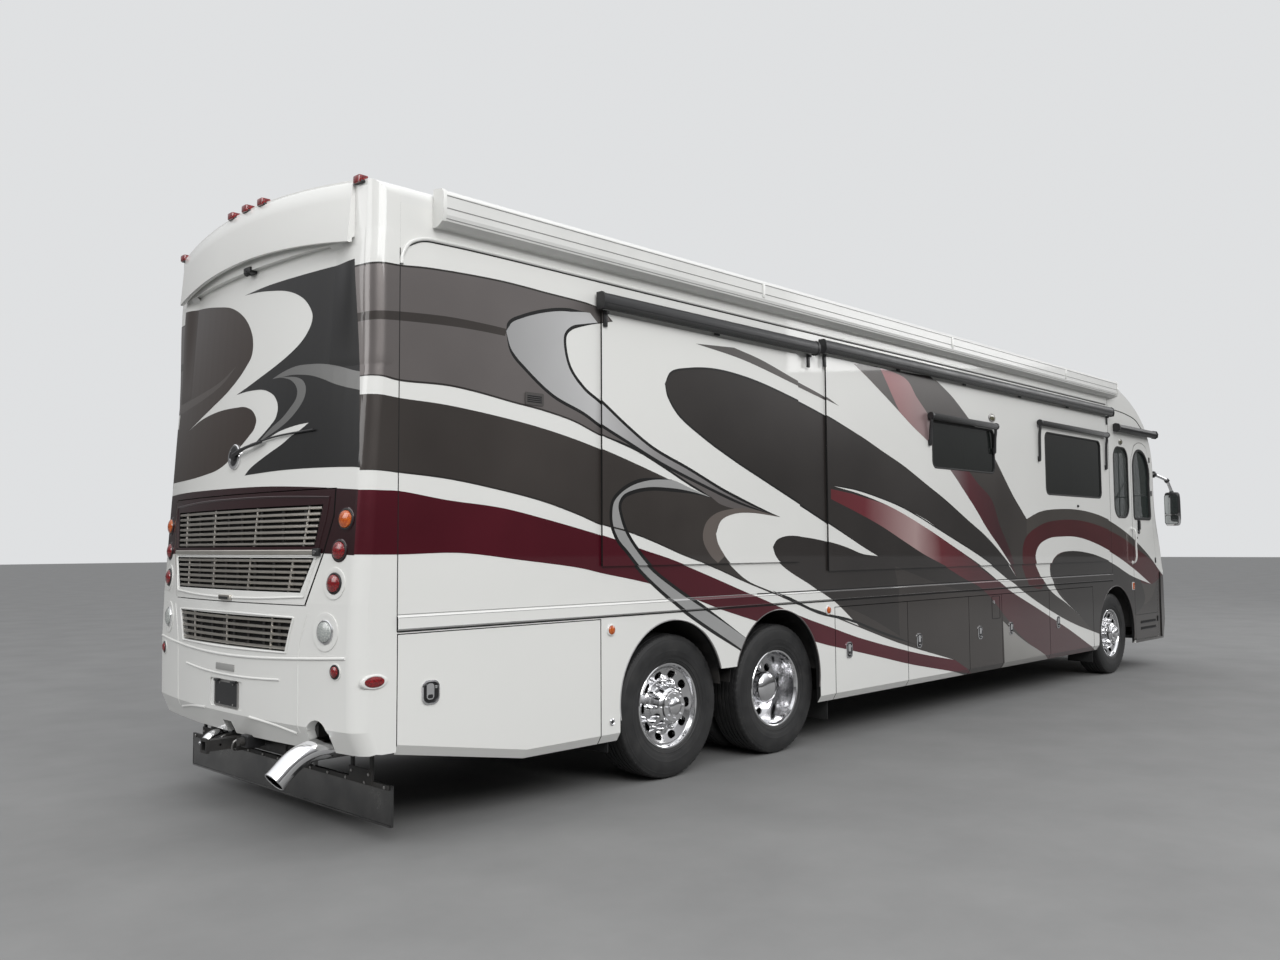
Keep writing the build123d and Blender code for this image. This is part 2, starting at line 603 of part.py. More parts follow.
def tyre(x, y):
    w, r = TYRE_HALF_W, TYRE_R
    with BuildPart() as p:
        with BuildSketch(axle_plane(x)):
            with BuildLine():
                Line((y - 100, BEAD_R), (y + 100, BEAD_R))
                Line((y + 100, BEAD_R), (y + 104, 305))
                ThreePointArc((y + 104, 305), (y + w, 395), (y + 128, r - 19))
                ThreePointArc((y + 128, r - 19), (y + 122, r - 8), (y + 110, r - 4))
                ThreePointArc((y + 110, r - 4), (y, r), (y - 110, r - 4))
                ThreePointArc((y - 110, r - 4), (y - 122, r - 8), (y - 128, r - 19))
                ThreePointArc((y - 128, r - 19), (y - w, 395), (y - 104, 305))
                Line((y - 104, 305), (y - 100, BEAD_R))
            make_face()
        revolve(axis=Axis((sx(x), 0, AXLE_Z), (0, 1, 0)), revolution_arc=360)
    return p.part


def barrel_outline(y):
    """Half of a rim seen in section: the barrel with its two lips."""
    return [(y - RIM_HALF_W, 284), (y - RIM_HALF_W, RIM_LIP_R), (y - 109, RIM_LIP_R), (y - 106, RIM_R),
            (y + 106, RIM_R), (y + 109, RIM_LIP_R), (y + RIM_HALF_W, RIM_LIP_R), (y + RIM_HALF_W, 284), (y + 100, 275), (y - 100, 275)]


HAND_HOLES, HAND_R, HAND_PCR, BORE_R = 10, 32.0, 222.0, 47.0


def hand_holes(x, y0, y1):
    with BuildPart() as p:
        with BuildSketch(Plane(origin=(sx(x), y0, AXLE_Z), x_dir=(1, 0, 0), z_dir=(0, 1, 0))):
            with PolarLocations(HAND_PCR, HAND_HOLES):
                SlotCenterToCenter(22, 2 * HAND_R - 14, rotation=90)
        extrude(amount=y1 - y0)
    return p.part


def single_wheel(x):
    """An outset disc wheel with its hub, on the left side."""
    y = WHEEL_Y
    disc = [(y + 72, 276), (y + 96, 279), (y + 98, 262), (y + 76, 205), (y + 60, 178), (y + 60, 148), (y + 76, 145), (y + 80, 138),
            (y + 146, 128), (y + 160, 108), (y + 172, 104), (y + 172, BORE_R - 20), (y + 120, BORE_R - 20), (y + 120, BORE_R),
            (y - 75, BORE_R), (y - 75, 120), (y + 20, 130), (y + 38, 150), (y + 38, 190), (y + 56, 215)]
    wheel = turned(x, barrel_outline(y)) + turned(x, disc)
    return wheel - hand_holes(x, y + 20, y + 130)


def dual_wheel(x):
    """Two deep dish rims back to back on one hub, on the left side."""
    yo, yi = WHEEL_Y, DUAL_Y
    disc_o = [(yo - 112, 280), (yo - 90, 276), (yo - 100, 205), (yo - 118, 178), (yo - 118, 140), (yo - 136, 140), (yo - 136, 190), (yo - 120, 215)]
    disc_i = [(yi + 112, 280), (yi + 90, 276), (yi + 100, 205), (yi + 118, 178), (yi + 118, 140), (yi + 136, 140), (yi + 136, 190), (yi + 120, 215)]
    hub = [(yi - 100, BORE_R), (yi - 100, 130), (yi + 110, 150), (yo - 112, 150), (yo - 96, 128), (yo + 44, 116), (yo + 66, 96), (yo + 72, 60),
           (yo + 72, BORE_R - 20), (yo + 40, BORE_R - 20), (yo + 40, BORE_R)]
    wheel = turned(x, barrel_outline(yo)) + turned(x, barrel_outline(yi)) + turned(x, disc_o) + turned(x, disc_i) + turned(x, hub)
    return wheel - hand_holes(x, yi + 60, yo - 60)


for key in ("tag", "drive", "front"):
    x = AXLES[key]
    if key == "drive":
        wheel = dual_wheel(x)
        for side in ("left", "right"):
            rings = [tyre(x, WHEEL_Y), tyre(x, DUAL_Y)]
            both = Compound(children=rings)
            save(both if side == "left" else mirrored(both), "tyres_drive_" + side)
    else:
        wheel = single_wheel(x)
        ring = tyre(x, WHEEL_Y)
        save(ring, "tyre_" + key + "_left")
        save(mirrored(ring), "tyre_" + key + "_right")
    save(wheel, "wheel_" + key + "_left")
    save(mirrored(wheel), "wheel_" + key + "_right")

# ---------------------------------------------------------------- axles and knuckles
SPINDLE_R = 45.0


def air_springs(x, offsets, r=105.0):
    rows = []
    for dx in offsets:
        for s in (-1, 1):
            rows.append(Pos(sx(x + dx), s * (RAIL_Y0 + RAIL_Y1) / 2, (RAIL_Z0 + 560) / 2) * Cylinder(r, RAIL_Z0 - 560, mode=Mode.PRIVATE))
    return rows


def driven_axle():
    x = AXLES["drive"]
    with BuildPart() as p:
        with BuildSketch(axle_plane(x)):
            with BuildLine():
                Polyline((-1085, 0), (-1085, SPINDLE_R), (-600, SPINDLE_R), (-600, 70), (-230, 75), (-150, 190), (150, 190), (230, 75),
                         (600, 70), (600, SPINDLE_R), (1085, SPINDLE_R), (1085, 0), close=True)
            make_face()
        revolve(axis=Axis((sx(x), 0, AXLE_Z), (0, 1, 0)), revolution_arc=360)
        for s in (-1, 1):
            add(box_part(x - 330, x + 330, s * 385, s * 485, 520, 565))
        for c in air_springs(x, (-225, 225)):
            add(c)
    return p.part


def dead_axle():
    x = AXLES["tag"]
    with BuildPart() as p:
        with BuildSketch(axle_plane(x)):
            with BuildLine():
                Polyline((-1175, 0), (-1175, SPINDLE_R), (-930, SPINDLE_R), (-930, 62), (930, 62), (930, SPINDLE_R), (1175, SPINDLE_R), (1175, 0), close=True)
            make_face()
        revolve(axis=Axis((sx(x), 0, AXLE_Z), (0, 1, 0)), revolution_arc=360)
        for s in (-1, 1):
            add(box_part(x - 280, x + 280, s * 385, s * 485, 520, 565))
        for c in air_springs(x, (-170, 170)):
            add(c)
    return p.part


def steer_axle():
    x = AXLES["front"]
    with BuildPart() as p:
        add(box_part(x - 45, x + 45, -902, 902, 432, 548))
        for s in (-1, 1):
            add(box_part(x - 120, x + 120, s * 385, s * 485, 540, 565))
        for c in air_springs(x, (0,)):
            add(c)
        for s in (-1, 1):
            with BuildSketch(Plane(origin=(sx(x), s * KINGPIN_Y, 400), x_dir=(1, 0, 0), z_dir=(0, 0, 1))):
                Circle(24)
            extrude(amount=200, mode=Mode.SUBTRACT)
    return p.part


def knuckle():
    """The left steering knuckle: two ears, kingpin, web and spindle."""
    x = AXLES["front"]
    with BuildPart() as p:
        for z0, z1 in ((370, 422), (558, 610)):
            add(box_part(x - 45, x + 45, KINGPIN_Y - 42, 975, z0, z1))
        add(box_part(x - 45, x + 45, 938, 975, 370, 610))
        add(Pos(sx(x), KINGPIN_Y, AXLE_Z) * Cylinder(22, 200, mode=Mode.PRIVATE))
        with BuildSketch(Plane(origin=(sx(x), 974, AXLE_Z), x_dir=(1, 0, 0), z_dir=(0, 1, 0))):
            Circle(SPINDLE_R)
        extrude(amount=200)
    return p.part


save(driven_axle(), "drive_axle")
save(dead_axle(), "tag_axle")
save(steer_axle(), "front_axle")
left_knuckle = knuckle()
save(left_knuckle, "steering_knuckle_left")
save(mirrored(left_knuckle), "steering_knuckle_right")


# ---------------------------------------------------------------- tail pipes, hitch, flap
def tail_pipe(y, r_out, r_in, x0, xb, z, bend, angle, tail):
    a = math.radians(angle)
    with BuildPart() as p:
        with BuildLine(Plane(origin=(TAG_X, y, 0), x_dir=(1, 0, 0), z_dir=(0, -1, 0))) as path:
            l1 = Line((x0, z), (xb, z))
            mid = a / 2
            l2 = ThreePointArc((xb, z), (xb - bend * math.sin(mid), z - bend + bend * math.cos(mid)), (xb - bend * math.sin(a), z - bend + bend * math.cos(a)))
            Line(l2 @ 1, l2 @ 1 + Vector(-tail * math.cos(a), 0, -tail * math.sin(a)))
        with BuildSketch(Plane(origin=(sx(x0), y, z), x_dir=(0, 1, 0), z_dir=(-1, 0, 0))):
            Circle(r_out)
            Circle(r_in, mode=Mode.SUBTRACT)
        sweep(path=path.wires()[0])
    return p.part


pipes = [tail_pipe(-955.0, 62.0, 57.0, -2330.0, -2560.0, 530.0, 300.0, 42.0, 90.0),
         tail_pipe(300.0, 36.0, 32.5, -2474.0, -2560.0, 462.0, 100.0, 50.0, 30.0)]
save(Compound(children=pipes), "tail_pipes")

HITCH_Z = 455.0
with BuildPart() as hitch:
    add(box_part(-2470, -2380, -560, 560, HITCH_Z - 45, HITCH_Z + 45))
    add(box_part(-2790, -2470, -32, 32, HITCH_Z - 32, HITCH_Z + 32))
    add(box_part(-2790, -2770, -42, 42, HITCH_Z - 42, HITCH_Z + 42))
    add(box_part(-2850, -2400, -25.6, 25.6, HITCH_Z - 25.6, HITCH_Z + 25.6), mode=Mode.SUBTRACT)
    for s in (-1, 1):
        add(box_part(-2448, -2400, s * 425, s * 445, HITCH_Z + 40, RAIL_Z0))
    with BuildSketch(Plane(origin=(sx(-2700), -100, HITCH_Z), x_dir=(1, 0, 0), z_dir=(0, 1, 0))):
        Circle(8.0)
    extrude(amount=200, mode=Mode.SUBTRACT)
    # tow chain plates beside the receiver
    for s in (-1, 1):
        add(box_part(-2620, -2470, s * 70, s * 82, HITCH_Z - 40, HITCH_Z + 40))
save(hitch.part, "hitch")

with BuildPart() as flap:
    add(box_part(-2306, -2294, -1255, 1255, 106, 330))
    for s in (-1, 1):
        add(box_part(-2310, -2290, s * 425, s * 445, 300, RAIL_Z0))
save(flap.part, "mud_flap")


# ---------------------------------------------------------------- mirrors
def side_mirror():
    with BuildPart() as p:
        with BuildSketch(Plane.XY.offset(1865)):
            with Locations((sx(9985), -1425)):
                RectangleRounded(110, 205, 34)
        with BuildSketch(Plane.XY.offset(2325)):
            with Locations((sx(9985), -1415)):
                RectangleRounded(95, 180, 34)
        loft(ruled=True)
        with BuildLine(Plane(origin=(0, 0, 0))) as arm:
            l1 = Line((sx(9740), -1262, 2570), (sx(9905), -1385, 2480))
            Line(l1 @ 1, (sx(9985), -1415, 2310))
        for e in arm.edges():
            with BuildSketch(Plane(origin=e @ 0, z_dir=(e @ 1 - e @ 0).normalized())):
                Circle(17)
            extrude(amount=e.length + 6)
    return p.part


arm_cut = nose_solid(0, low=False)
mirrors = [side_mirror() - arm_cut, mirrored(side_mirror() - arm_cut)]
save(Compound(children=mirrors), "mirrors")

# ---------------------------------------------------------------- cockpit: dashboard, steering wheel and seats
with BuildPart() as dash:
    with BuildSketch(side_plane(130)):
        with BuildLine():
            Polyline((9560, 1210), (9740, 1210), (9800, 1500), (9790, 1620), (9640, 1660), (9470, 1560), (9470, 1440), (9560, 1400), close=True)
        make_face()
    extrude(amount=-930)
with BuildPart() as wheel_rim:
    with BuildSketch(Plane(origin=(sx(9330), 620, 1640), x_dir=(0, 1, 0), z_dir=(-0.72, 0, 0.69))) as rim_plane:
        Circle(235)
        Circle(200, mode=Mode.SUBTRACT)
        Rectangle(410, 40)
        Circle(55)
    extrude(amount=26)
    with BuildSketch(Plane(origin=(sx(9330), 620, 1640), x_dir=(0, 1, 0), z_dir=(0.72, 0, -0.69))):
        Circle(30)
    extrude(amount=190)


def seat(x, y):
    """A captain's chair: pedestal, cushion, back rest and arm rests."""
    with BuildPart() as p:
        add(box_part(x - 150, x + 150, y - 150, y + 150, 1210, 1500))
        add(box_part(x - 270, x + 270, y - 255, y + 255, 1500, 1640))
        with BuildSketch(side_plane(y + 250)):
            with BuildLine():
                Polyline((x - 270, 1600), (x - 150, 1600), (x - 235, 2330), (x - 355, 2330), close=True)
            make_face()
        extrude(amount=500)
        for s in (-1, 1):
            add(box_part(x - 240, x + 180, y + s * 262, y + s * 322, 1770, 1840))
            add(box_part(x - 260, x - 200, y + s * 240, y + s * 322, 1740, 1840))
    return p.part


save(Compound(children=[dash.part, wheel_rim.part - dash.part, seat(8820, 620), seat(8470, -620)]), "cockpit")

names = sorted(f for f in os.listdir("parts") if f.endswith(".step"))
print(len(names), "pieces")
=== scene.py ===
# Looks of the motorhome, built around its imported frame. Metres, X forward, Y left, Z up.
import bpy
import bmesh
import json
import math
import numpy as np
from mathutils import Matrix, Vector
from mathutils.geometry import delaunay_2d_cdt

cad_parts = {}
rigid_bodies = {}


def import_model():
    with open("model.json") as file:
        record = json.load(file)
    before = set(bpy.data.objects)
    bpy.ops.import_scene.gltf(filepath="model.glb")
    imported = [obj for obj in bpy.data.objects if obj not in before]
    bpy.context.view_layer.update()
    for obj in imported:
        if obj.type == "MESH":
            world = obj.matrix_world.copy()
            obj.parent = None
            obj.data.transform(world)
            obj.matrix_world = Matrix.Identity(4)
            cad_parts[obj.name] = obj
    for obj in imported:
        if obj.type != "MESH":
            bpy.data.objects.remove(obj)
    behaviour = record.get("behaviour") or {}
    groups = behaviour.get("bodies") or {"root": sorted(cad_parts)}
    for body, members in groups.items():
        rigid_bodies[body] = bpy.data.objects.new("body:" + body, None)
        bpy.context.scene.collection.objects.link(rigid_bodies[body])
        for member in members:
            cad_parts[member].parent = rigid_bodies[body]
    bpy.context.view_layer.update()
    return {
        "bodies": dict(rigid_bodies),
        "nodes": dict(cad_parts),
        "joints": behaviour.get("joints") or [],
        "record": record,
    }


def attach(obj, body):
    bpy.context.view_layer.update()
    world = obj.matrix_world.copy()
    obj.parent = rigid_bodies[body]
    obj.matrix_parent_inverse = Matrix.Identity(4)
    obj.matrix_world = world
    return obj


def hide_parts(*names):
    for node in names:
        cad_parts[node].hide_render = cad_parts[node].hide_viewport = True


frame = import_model()
NODES = frame["nodes"]

# stations along the body are given from the rear-most axle; TAG is that axle in the frame
TAG = -3.65045
HALF_W = 1.283
AXLE_Z = 0.503
FRONT_AXLE, DRIVE_AXLE = 8.224, 1.243
WHEEL_Y, DUAL_Y = 1.065, 0.725


def sx(v):
    return v + TAG


# ------------------------------------------------------------------ node helpers
class Tree:
    """A small builder for node materials."""

    def __init__(self, name):
        self.mat = bpy.data.materials.new(name)
        self.mat.use_nodes = True
        self.nt = self.mat.node_tree
        self.nt.nodes.clear()
        self.out = self.nt.nodes.new("ShaderNodeOutputMaterial")
        self.bsdf = self.nt.nodes.new("ShaderNodeBsdfPrincipled")
        self.nt.links.new(self.bsdf.outputs[0], self.out.inputs[0])
        self.coord = self.nt.nodes.new("ShaderNodeTexCoord").outputs["Object"]

    def set(self, **kw):
        for k, v in kw.items():
            self.bsdf.inputs[k.replace("_", " ")].default_value = v
        return self

    def node(self, kind, **kw):
        n = self.nt.nodes.new(kind)
        for k, v in kw.items():
            setattr(n, k, v)
        return n

    def link(self, a, b):
        self.nt.links.new(a, b)

    def mapping(self, scale=(1, 1, 1), rot=(0, 0, 0), loc=(0, 0, 0)):
        m = self.node("ShaderNodeMapping")
        m.inputs["Scale"].default_value = scale
        m.inputs["Rotation"].default_value = rot
        m.inputs["Location"].default_value = loc
        self.link(self.coord, m.inputs["Vector"])
        return m.outputs[0]

    def noise(self, scale, detail=3.0, rough=0.5, vec=None, dist=0.0):
        n = self.node("ShaderNodeTexNoise")
        n.inputs["Scale"].default_value = scale
        n.inputs["Detail"].default_value = detail
        n.inputs["Roughness"].default_value = rough
        n.inputs["Distortion"].default_value = dist
        self.link(vec if vec is not None else self.coord, n.inputs["Vector"])
        return n.outputs["Fac"]

    def ramp(self, fac, stops):
        r = self.node("ShaderNodeValToRGB")
        el = r.color_ramp.elements
        while len(el) > 1:
            el.remove(el[-1])
        el[0].position, el[0].color = stops[0][0], (*stops[0][1], 1)
        for p, c in stops[1:]:
            e = el.new(p)
            e.color = (*c, 1)
        self.link(fac, r.inputs[0])
        return r.outputs[0]

    def vrange(self, fac, a, b, c, d):
        r = self.node("ShaderNodeMapRange")
        for i, v in enumerate((a, b, c, d)):
            r.inputs[i + 1].default_value = v
        self.link(fac, r.inputs[0])
        return r.outputs[0]

    def bump(self, height, strength=0.2, distance=0.001, prev=None):
        b = self.node("ShaderNodeBump")
        b.inputs["Strength"].default_value = strength
        b.inputs["Distance"].default_value = distance
        self.link(height, b.inputs["Height"])
        if prev is not None:
            self.link(prev, b.inputs["Normal"])
        self.link(b.outputs[0], self.bsdf.inputs["Normal"])
        return b.outputs[0]

    def color(self, sock):
        self.link(sock, self.bsdf.inputs["Base Color"])

    def rough(self, sock):
        self.link(sock, self.bsdf.inputs["Roughness"])


def tint(c, k):
    return tuple(min(1.0, v * k) for v in c)


MATS = {}


def paint(name, c, rough=0.32, coat=0.75, flake=0.06, metallic=0.0, coat_rough=0.03, peel=0.05, spec=0.25):
    """Base coat with a slight drift of tone and clear coat with a faint orange peel."""
    t = Tree(name)
    t.set(Base_Color=(*c, 1), Roughness=rough, Metallic=metallic, Coat_Weight=coat, Coat_Roughness=coat_rough, Coat_IOR=1.5, Specular_IOR_Level=spec)
    n1 = t.noise(0.9, 3, 0.55)
    n2 = t.noise(900.0, 2, 0.6)
    mix = t.node("ShaderNodeMath", operation="MULTIPLY_ADD")
    t.link(n2, mix.inputs[0])
    mix.inputs[1].default_value = 0.5
    t.link(n1, mix.inputs[2])
    t.color(t.ramp(mix.outputs[0], [(0.45, tint(c, 1 - flake)), (1.0, tint(c, 1 + flake))]))
    t.rough(t.vrange(n1, 0.1, 0.9, rough - 0.06, rough + 0.08))
    t.bump(t.noise(260.0, 2, 0.5), peel, 0.0004)
    MATS[name] = t.mat
    return t.mat


def gradient_paint(name, stops, x0, x1, rough=0.3, metallic=0.3, along=None):
    """Colour fade along the body from station x0 to station x1: airbrushed paint, and on the maroon V band also a
    painted highlight.
    """
    t = Tree(name)
    t.set(Roughness=rough, Metallic=metallic, Coat_Weight=1.0, Coat_Roughness=0.03)
    sep = t.node("ShaderNodeSeparateXYZ")
    t.link(t.coord, sep.inputs[0])
    n = t.noise(3.0, 3, 0.5)
    a = t.node("ShaderNodeMath", operation="MULTIPLY_ADD")
    t.link(sep.outputs["Z"], a.inputs[0])
    a.inputs[1].default_value = along if along is not None else 0.0
    t.link(sep.outputs["X"], a.inputs[2])
    b = t.node("ShaderNodeMath", operation="MULTIPLY_ADD")
    t.link(n, b.inputs[0])
    b.inputs[1].default_value = 0.12
    t.link(a.outputs[0], b.inputs[2])
    f = t.vrange(b.outputs[0], sx(x0) + 0.06, sx(x1) + 0.06, 0.0, 1.0)
    t.color(t.ramp(f, stops))
    t.bump(t.noise(260.0, 2, 0.5), 0.05, 0.0004)
    MATS[name] = t.mat
    return t.mat


def metal(name, c, rough=0.12, streak=0.0, scale=60.0, bump=0.03):
    t = Tree(name)
    t.set(Base_Color=(*c, 1), Metallic=1.0, Roughness=rough)
    n = t.noise(scale, 4, 0.6)
    t.rough(t.vrange(n, 0.3, 0.7, max(0.02, rough - 0.04), rough + 0.07))
    t.color(t.ramp(t.noise(7.0, 3, 0.6), [(0.3, tint(c, 0.9)), (0.7, c)]))
    t.bump(t.noise(scale * 4, 2, 0.5), bump, 0.0003)
    MATS[name] = t.mat
    return t.mat


def plastic(name, c, rough=0.4, grain=500.0, strength=0.15, coat=0.0, spec=0.5):
    t = Tree(name)
    t.set(Base_Color=(*c, 1), Roughness=rough, Coat_Weight=coat, Coat_Roughness=0.08)
    n = t.noise(4.0, 4, 0.6)
    k = 0.03 if max(c) > 0.25 else 0.14
    t.color(t.ramp(n, [(0.3, tint(c, 1 - k)), (0.65, tint(c, 1 + 0.6 * k))]))
    t.rough(t.vrange(n, 0.3, 0.7, rough - 0.05, rough + 0.08))
    t.bump(t.noise(grain, 3, 0.6), strength, 0.0006)
    MATS[name] = t.mat
    return t.mat


def lens(name, c, deep, emission=0.0):
    """Moulded lens: prisms under a glossy skin."""
    t = Tree(name)
    t.set(Base_Color=(*c, 1), Roughness=0.12, Coat_Weight=1.0, Coat_Roughness=0.03, Subsurface_Weight=0.0)
    v = t.node("ShaderNodeTexVoronoi")
    v.inputs["Scale"].default_value = 130.0
    t.link(t.coord, v.inputs["Vector"])
    t.color(t.ramp(v.outputs["Distance"], [(0.0, c), (0.6, deep)]))
    t.bump(v.outputs["Distance"], 0.5, 0.0015)
    MATS[name] = t.mat
    return t.mat


# ------------------------------------------------------------------ materials
paint("white", (0.72, 0.72, 0.695), rough=0.35, flake=0.02)
paint("roof_white", (0.70, 0.70, 0.68), rough=0.5, flake=0.03, coat=0.3, coat_rough=0.2)
paint("charcoal", (0.052, 0.045, 0.041), metallic=0.35, flake=0.2)
paint("taupe", (0.165, 0.15, 0.145), metallic=0.55, flake=0.1, rough=0.36)
paint("lobe", (0.032, 0.028, 0.026), metallic=0.3, flake=0.2)
paint("grey", (0.105, 0.098, 0.094), metallic=0.5, flake=0.12)
paint("brown", (0.075, 0.066, 0.058), metallic=0.4, flake=0.15)
paint("taupe2", (0.17, 0.145, 0.13), metallic=0.4, flake=0.1)
paint("maroon", (0.085, 0.006, 0.014), metallic=0.35, flake=0.25, rough=0.3)
paint("maroon_s", (0.075, 0.007, 0.010), metallic=0.35, flake=0.25, rough=0.3)
paint("pin", (0.008, 0.008, 0.008), flake=0.1)
paint("silver_w", (0.40, 0.39, 0.37), metallic=0.5, flake=0.08)
paint("silver_c", (0.46, 0.46, 0.455), metallic=0.5, flake=0.05)
paint("rear_black", (0.011, 0.011, 0.011), metallic=0.2, flake=0.2)
paint("rear_brown", (0.034, 0.022, 0.016), metallic=0.3, flake=0.2)
paint("rear_grey", (0.19, 0.19, 0.185), metallic=0.5, flake=0.08)
paint("rear_streak", (0.075, 0.062, 0.054), metallic=0.3, flake=0.12)
paint("rear_maroon", (0.022, 0.004, 0.006), metallic=0.3, flake=0.25)
gradient_paint("silver_h", [(0.0, (0.40, 0.40, 0.40)), (0.28, (0.62, 0.62, 0.62)), (0.50, (0.33, 0.32, 0.32)), (1.0, (0.10, 0.09, 0.088))], -1.5, 1.0)
gradient_paint("strip", [(0.0, (0.30, 0.10, 0.11)), (0.25, (0.34, 0.20, 0.20)), (0.5, (0.30, 0.26, 0.26)), (0.72, (0.10, 0.012, 0.02)), (1.0, (0.05, 0.008, 0.012))], 2.6, 5.0)
# maroon V band: its pale pink middle stop is a painted highlight on the maroon paint
gradient_paint("band_v", [(0.0, (0.12, 0.010, 0.014)), (0.18, (0.17, 0.02, 0.03)), (0.40, (0.52, 0.36, 0.35)), (0.52, (0.16, 0.02, 0.028)), (0.7, (0.085, 0.010, 0.016)), (1.0, (0.06, 0.008, 0.012))], 1.7, 5.6)

metal("chrome", (0.86, 0.86, 0.87), 0.06, bump=0.01)
metal("polished", (0.80, 0.80, 0.81), 0.13, bump=0.02)
metal("steel", (0.42, 0.41, 0.40), 0.35, bump=0.15)
metal("grille_bar", (0.62, 0.59, 0.54), 0.34, bump=0.05)
plastic("black_plastic", (0.016, 0.016, 0.017), 0.38)
plastic("black_rubber", (0.012, 0.012, 0.012), 0.7, 700.0, 0.3)
# near-black for real seams and joints, and for painted shade in gaps, in a recess, under the gutter and along the belt
# moulding
plastic("seam", (0.006, 0.006, 0.006), 0.9, 300.0, 0.2)
plastic("white_case", (0.68, 0.68, 0.66), 0.35, 400.0, 0.08, coat=0.4)
plastic("roof_unit", (0.62, 0.62, 0.60), 0.5, 300.0, 0.2)
plastic("dash", (0.09, 0.08, 0.072), 0.6, 600.0, 0.5)
# pale grey for the blank label, and for painted shade in the box awning's grooves and a painted highlight on the belt
# moulding
plastic("label", (0.30, 0.30, 0.29), 0.4, 300.0, 0.1)
lens("lens_red", (0.45, 0.010, 0.012), (0.12, 0.002, 0.004))
lens("lens_amber", (0.75, 0.20, 0.012), (0.40, 0.06, 0.004))
lens("lens_clear", (0.62, 0.63, 0.60), (0.30, 0.32, 0.31))
lens("lens_smoke", (0.20, 0.185, 0.085), (0.07, 0.066, 0.035))


def chassis_black():
    t = Tree("chassis_black")
    t.set(Base_Color=(0.02, 0.02, 0.02, 1), Roughness=0.6)
    n = t.noise(6.0, 5, 0.65)
    t.color(t.ramp(n, [(0.35, (0.012, 0.012, 0.012)), (0.6, (0.03, 0.028, 0.026)), (0.8, (0.055, 0.048, 0.042))]))
    t.rough(t.vrange(n, 0.3, 0.7, 0.45, 0.8))
    t.bump(t.noise(180.0, 3, 0.6), 0.25, 0.001)
    MATS["chassis_black"] = t.mat


def tyre_rubber():
    t = Tree("tyre_rubber")
    t.set(Base_Color=(0.02, 0.02, 0.02, 1), Roughness=0.62)
    n = t.noise(9.0, 5, 0.6)
    t.color(t.ramp(n, [(0.3, (0.012, 0.012, 0.0125)), (0.6, (0.022, 0.022, 0.022)), (0.85, (0.036, 0.034, 0.032))]))
    t.rough(t.vrange(n, 0.3, 0.7, 0.48, 0.7))
    t.bump(t.noise(420.0, 3, 0.6), 0.35, 0.0008)
    MATS["tyre_rubber"] = t.mat


def dark_glass(name, c, alpha):
    t = Tree(name)
    t.set(Base_Color=(*c, 1), Roughness=0.03, Coat_Weight=1.0, Coat_Roughness=0.01, Alpha=alpha)
    n = t.noise(0.8, 2, 0.5)
    t.color(t.ramp(n, [(0.3, tint(c, 0.7)), (0.7, tint(c, 1.3))]))
    t.bump(t.noise(1.4, 1, 0.5), 0.05, 0.004)
    MATS[name] = t.mat


def flap_gloss():
    t = Tree("flap_gloss")
    t.set(Base_Color=(0.06, 0.06, 0.06, 1), Roughness=0.12, Metallic=0.85, Coat_Weight=0.8, Coat_Roughness=0.04)
    n = t.noise(5.0, 5, 0.6)
    t.color(t.ramp(n, [(0.35, (0.05, 0.05, 0.051)), (0.7, (0.13, 0.128, 0.124))]))
    t.rough(t.vrange(n, 0.35, 0.75, 0.10, 0.34))
    t.bump(t.noise(90.0, 3, 0.5), 0.05, 0.0006)
    MATS["flap_gloss"] = t.mat


def fabric(name, c, scale=900.0):
    t = Tree(name)
    t.set(Base_Color=(*c, 1), Roughness=0.85, Sheen_Weight=0.3, Sheen_Roughness=0.4)
    w1 = t.node("ShaderNodeTexWave", wave_type="BANDS", bands_direction="X")
    w2 = t.node("ShaderNodeTexWave", wave_type="BANDS", bands_direction="Z")
    for w in (w1, w2):
        w.inputs["Scale"].default_value = scale / 6.0
        w.inputs["Distortion"].default_value = 0.6
        t.link(t.coord, w.inputs["Vector"])
    m = t.node("ShaderNodeMath", operation="MULTIPLY")
    t.link(w1.outputs["Fac"], m.inputs[0])
    t.link(w2.outputs["Fac"], m.inputs[1])
    t.color(t.ramp(t.noise(12.0, 4, 0.6), [(0.3, tint(c, 0.8)), (0.7, tint(c, 1.15))]))
    t.bump(m.outputs[0], 0.4, 0.0006)
    MATS[name] = t.mat


def leather(name, c):
    t = Tree(name)
    t.set(Base_Color=(*c, 1), Roughness=0.5, Coat_Weight=0.1)
    v = t.node("ShaderNodeTexVoronoi", feature="DISTANCE_TO_EDGE")
    v.inputs["Scale"].default_value = 260.0
    t.link(t.coord, v.inputs["Vector"])
    t.color(t.ramp(t.noise(10.0, 4, 0.6), [(0.3, tint(c, 0.8)), (0.7, tint(c, 1.1))]))
    t.bump(t.vrange(v.outputs["Distance"], 0.0, 0.12, 0.0, 1.0), 0.3, 0.0006)
    MATS[name] = t.mat


def floor_pale():
    t = Tree("floor_pale")
    t.set(Base_Color=(0.19, 0.19, 0.187, 1), Roughness=0.75)
    n = t.noise(1.2, 5, 0.6)
    t.color(t.ramp(n, [(0.3, (0.17, 0.17, 0.168)), (0.7, (0.20, 0.20, 0.197))]))
    t.bump(t.noise(80.0, 4, 0.6), 0.08, 0.001)
    MATS["floor_pale"] = t.mat


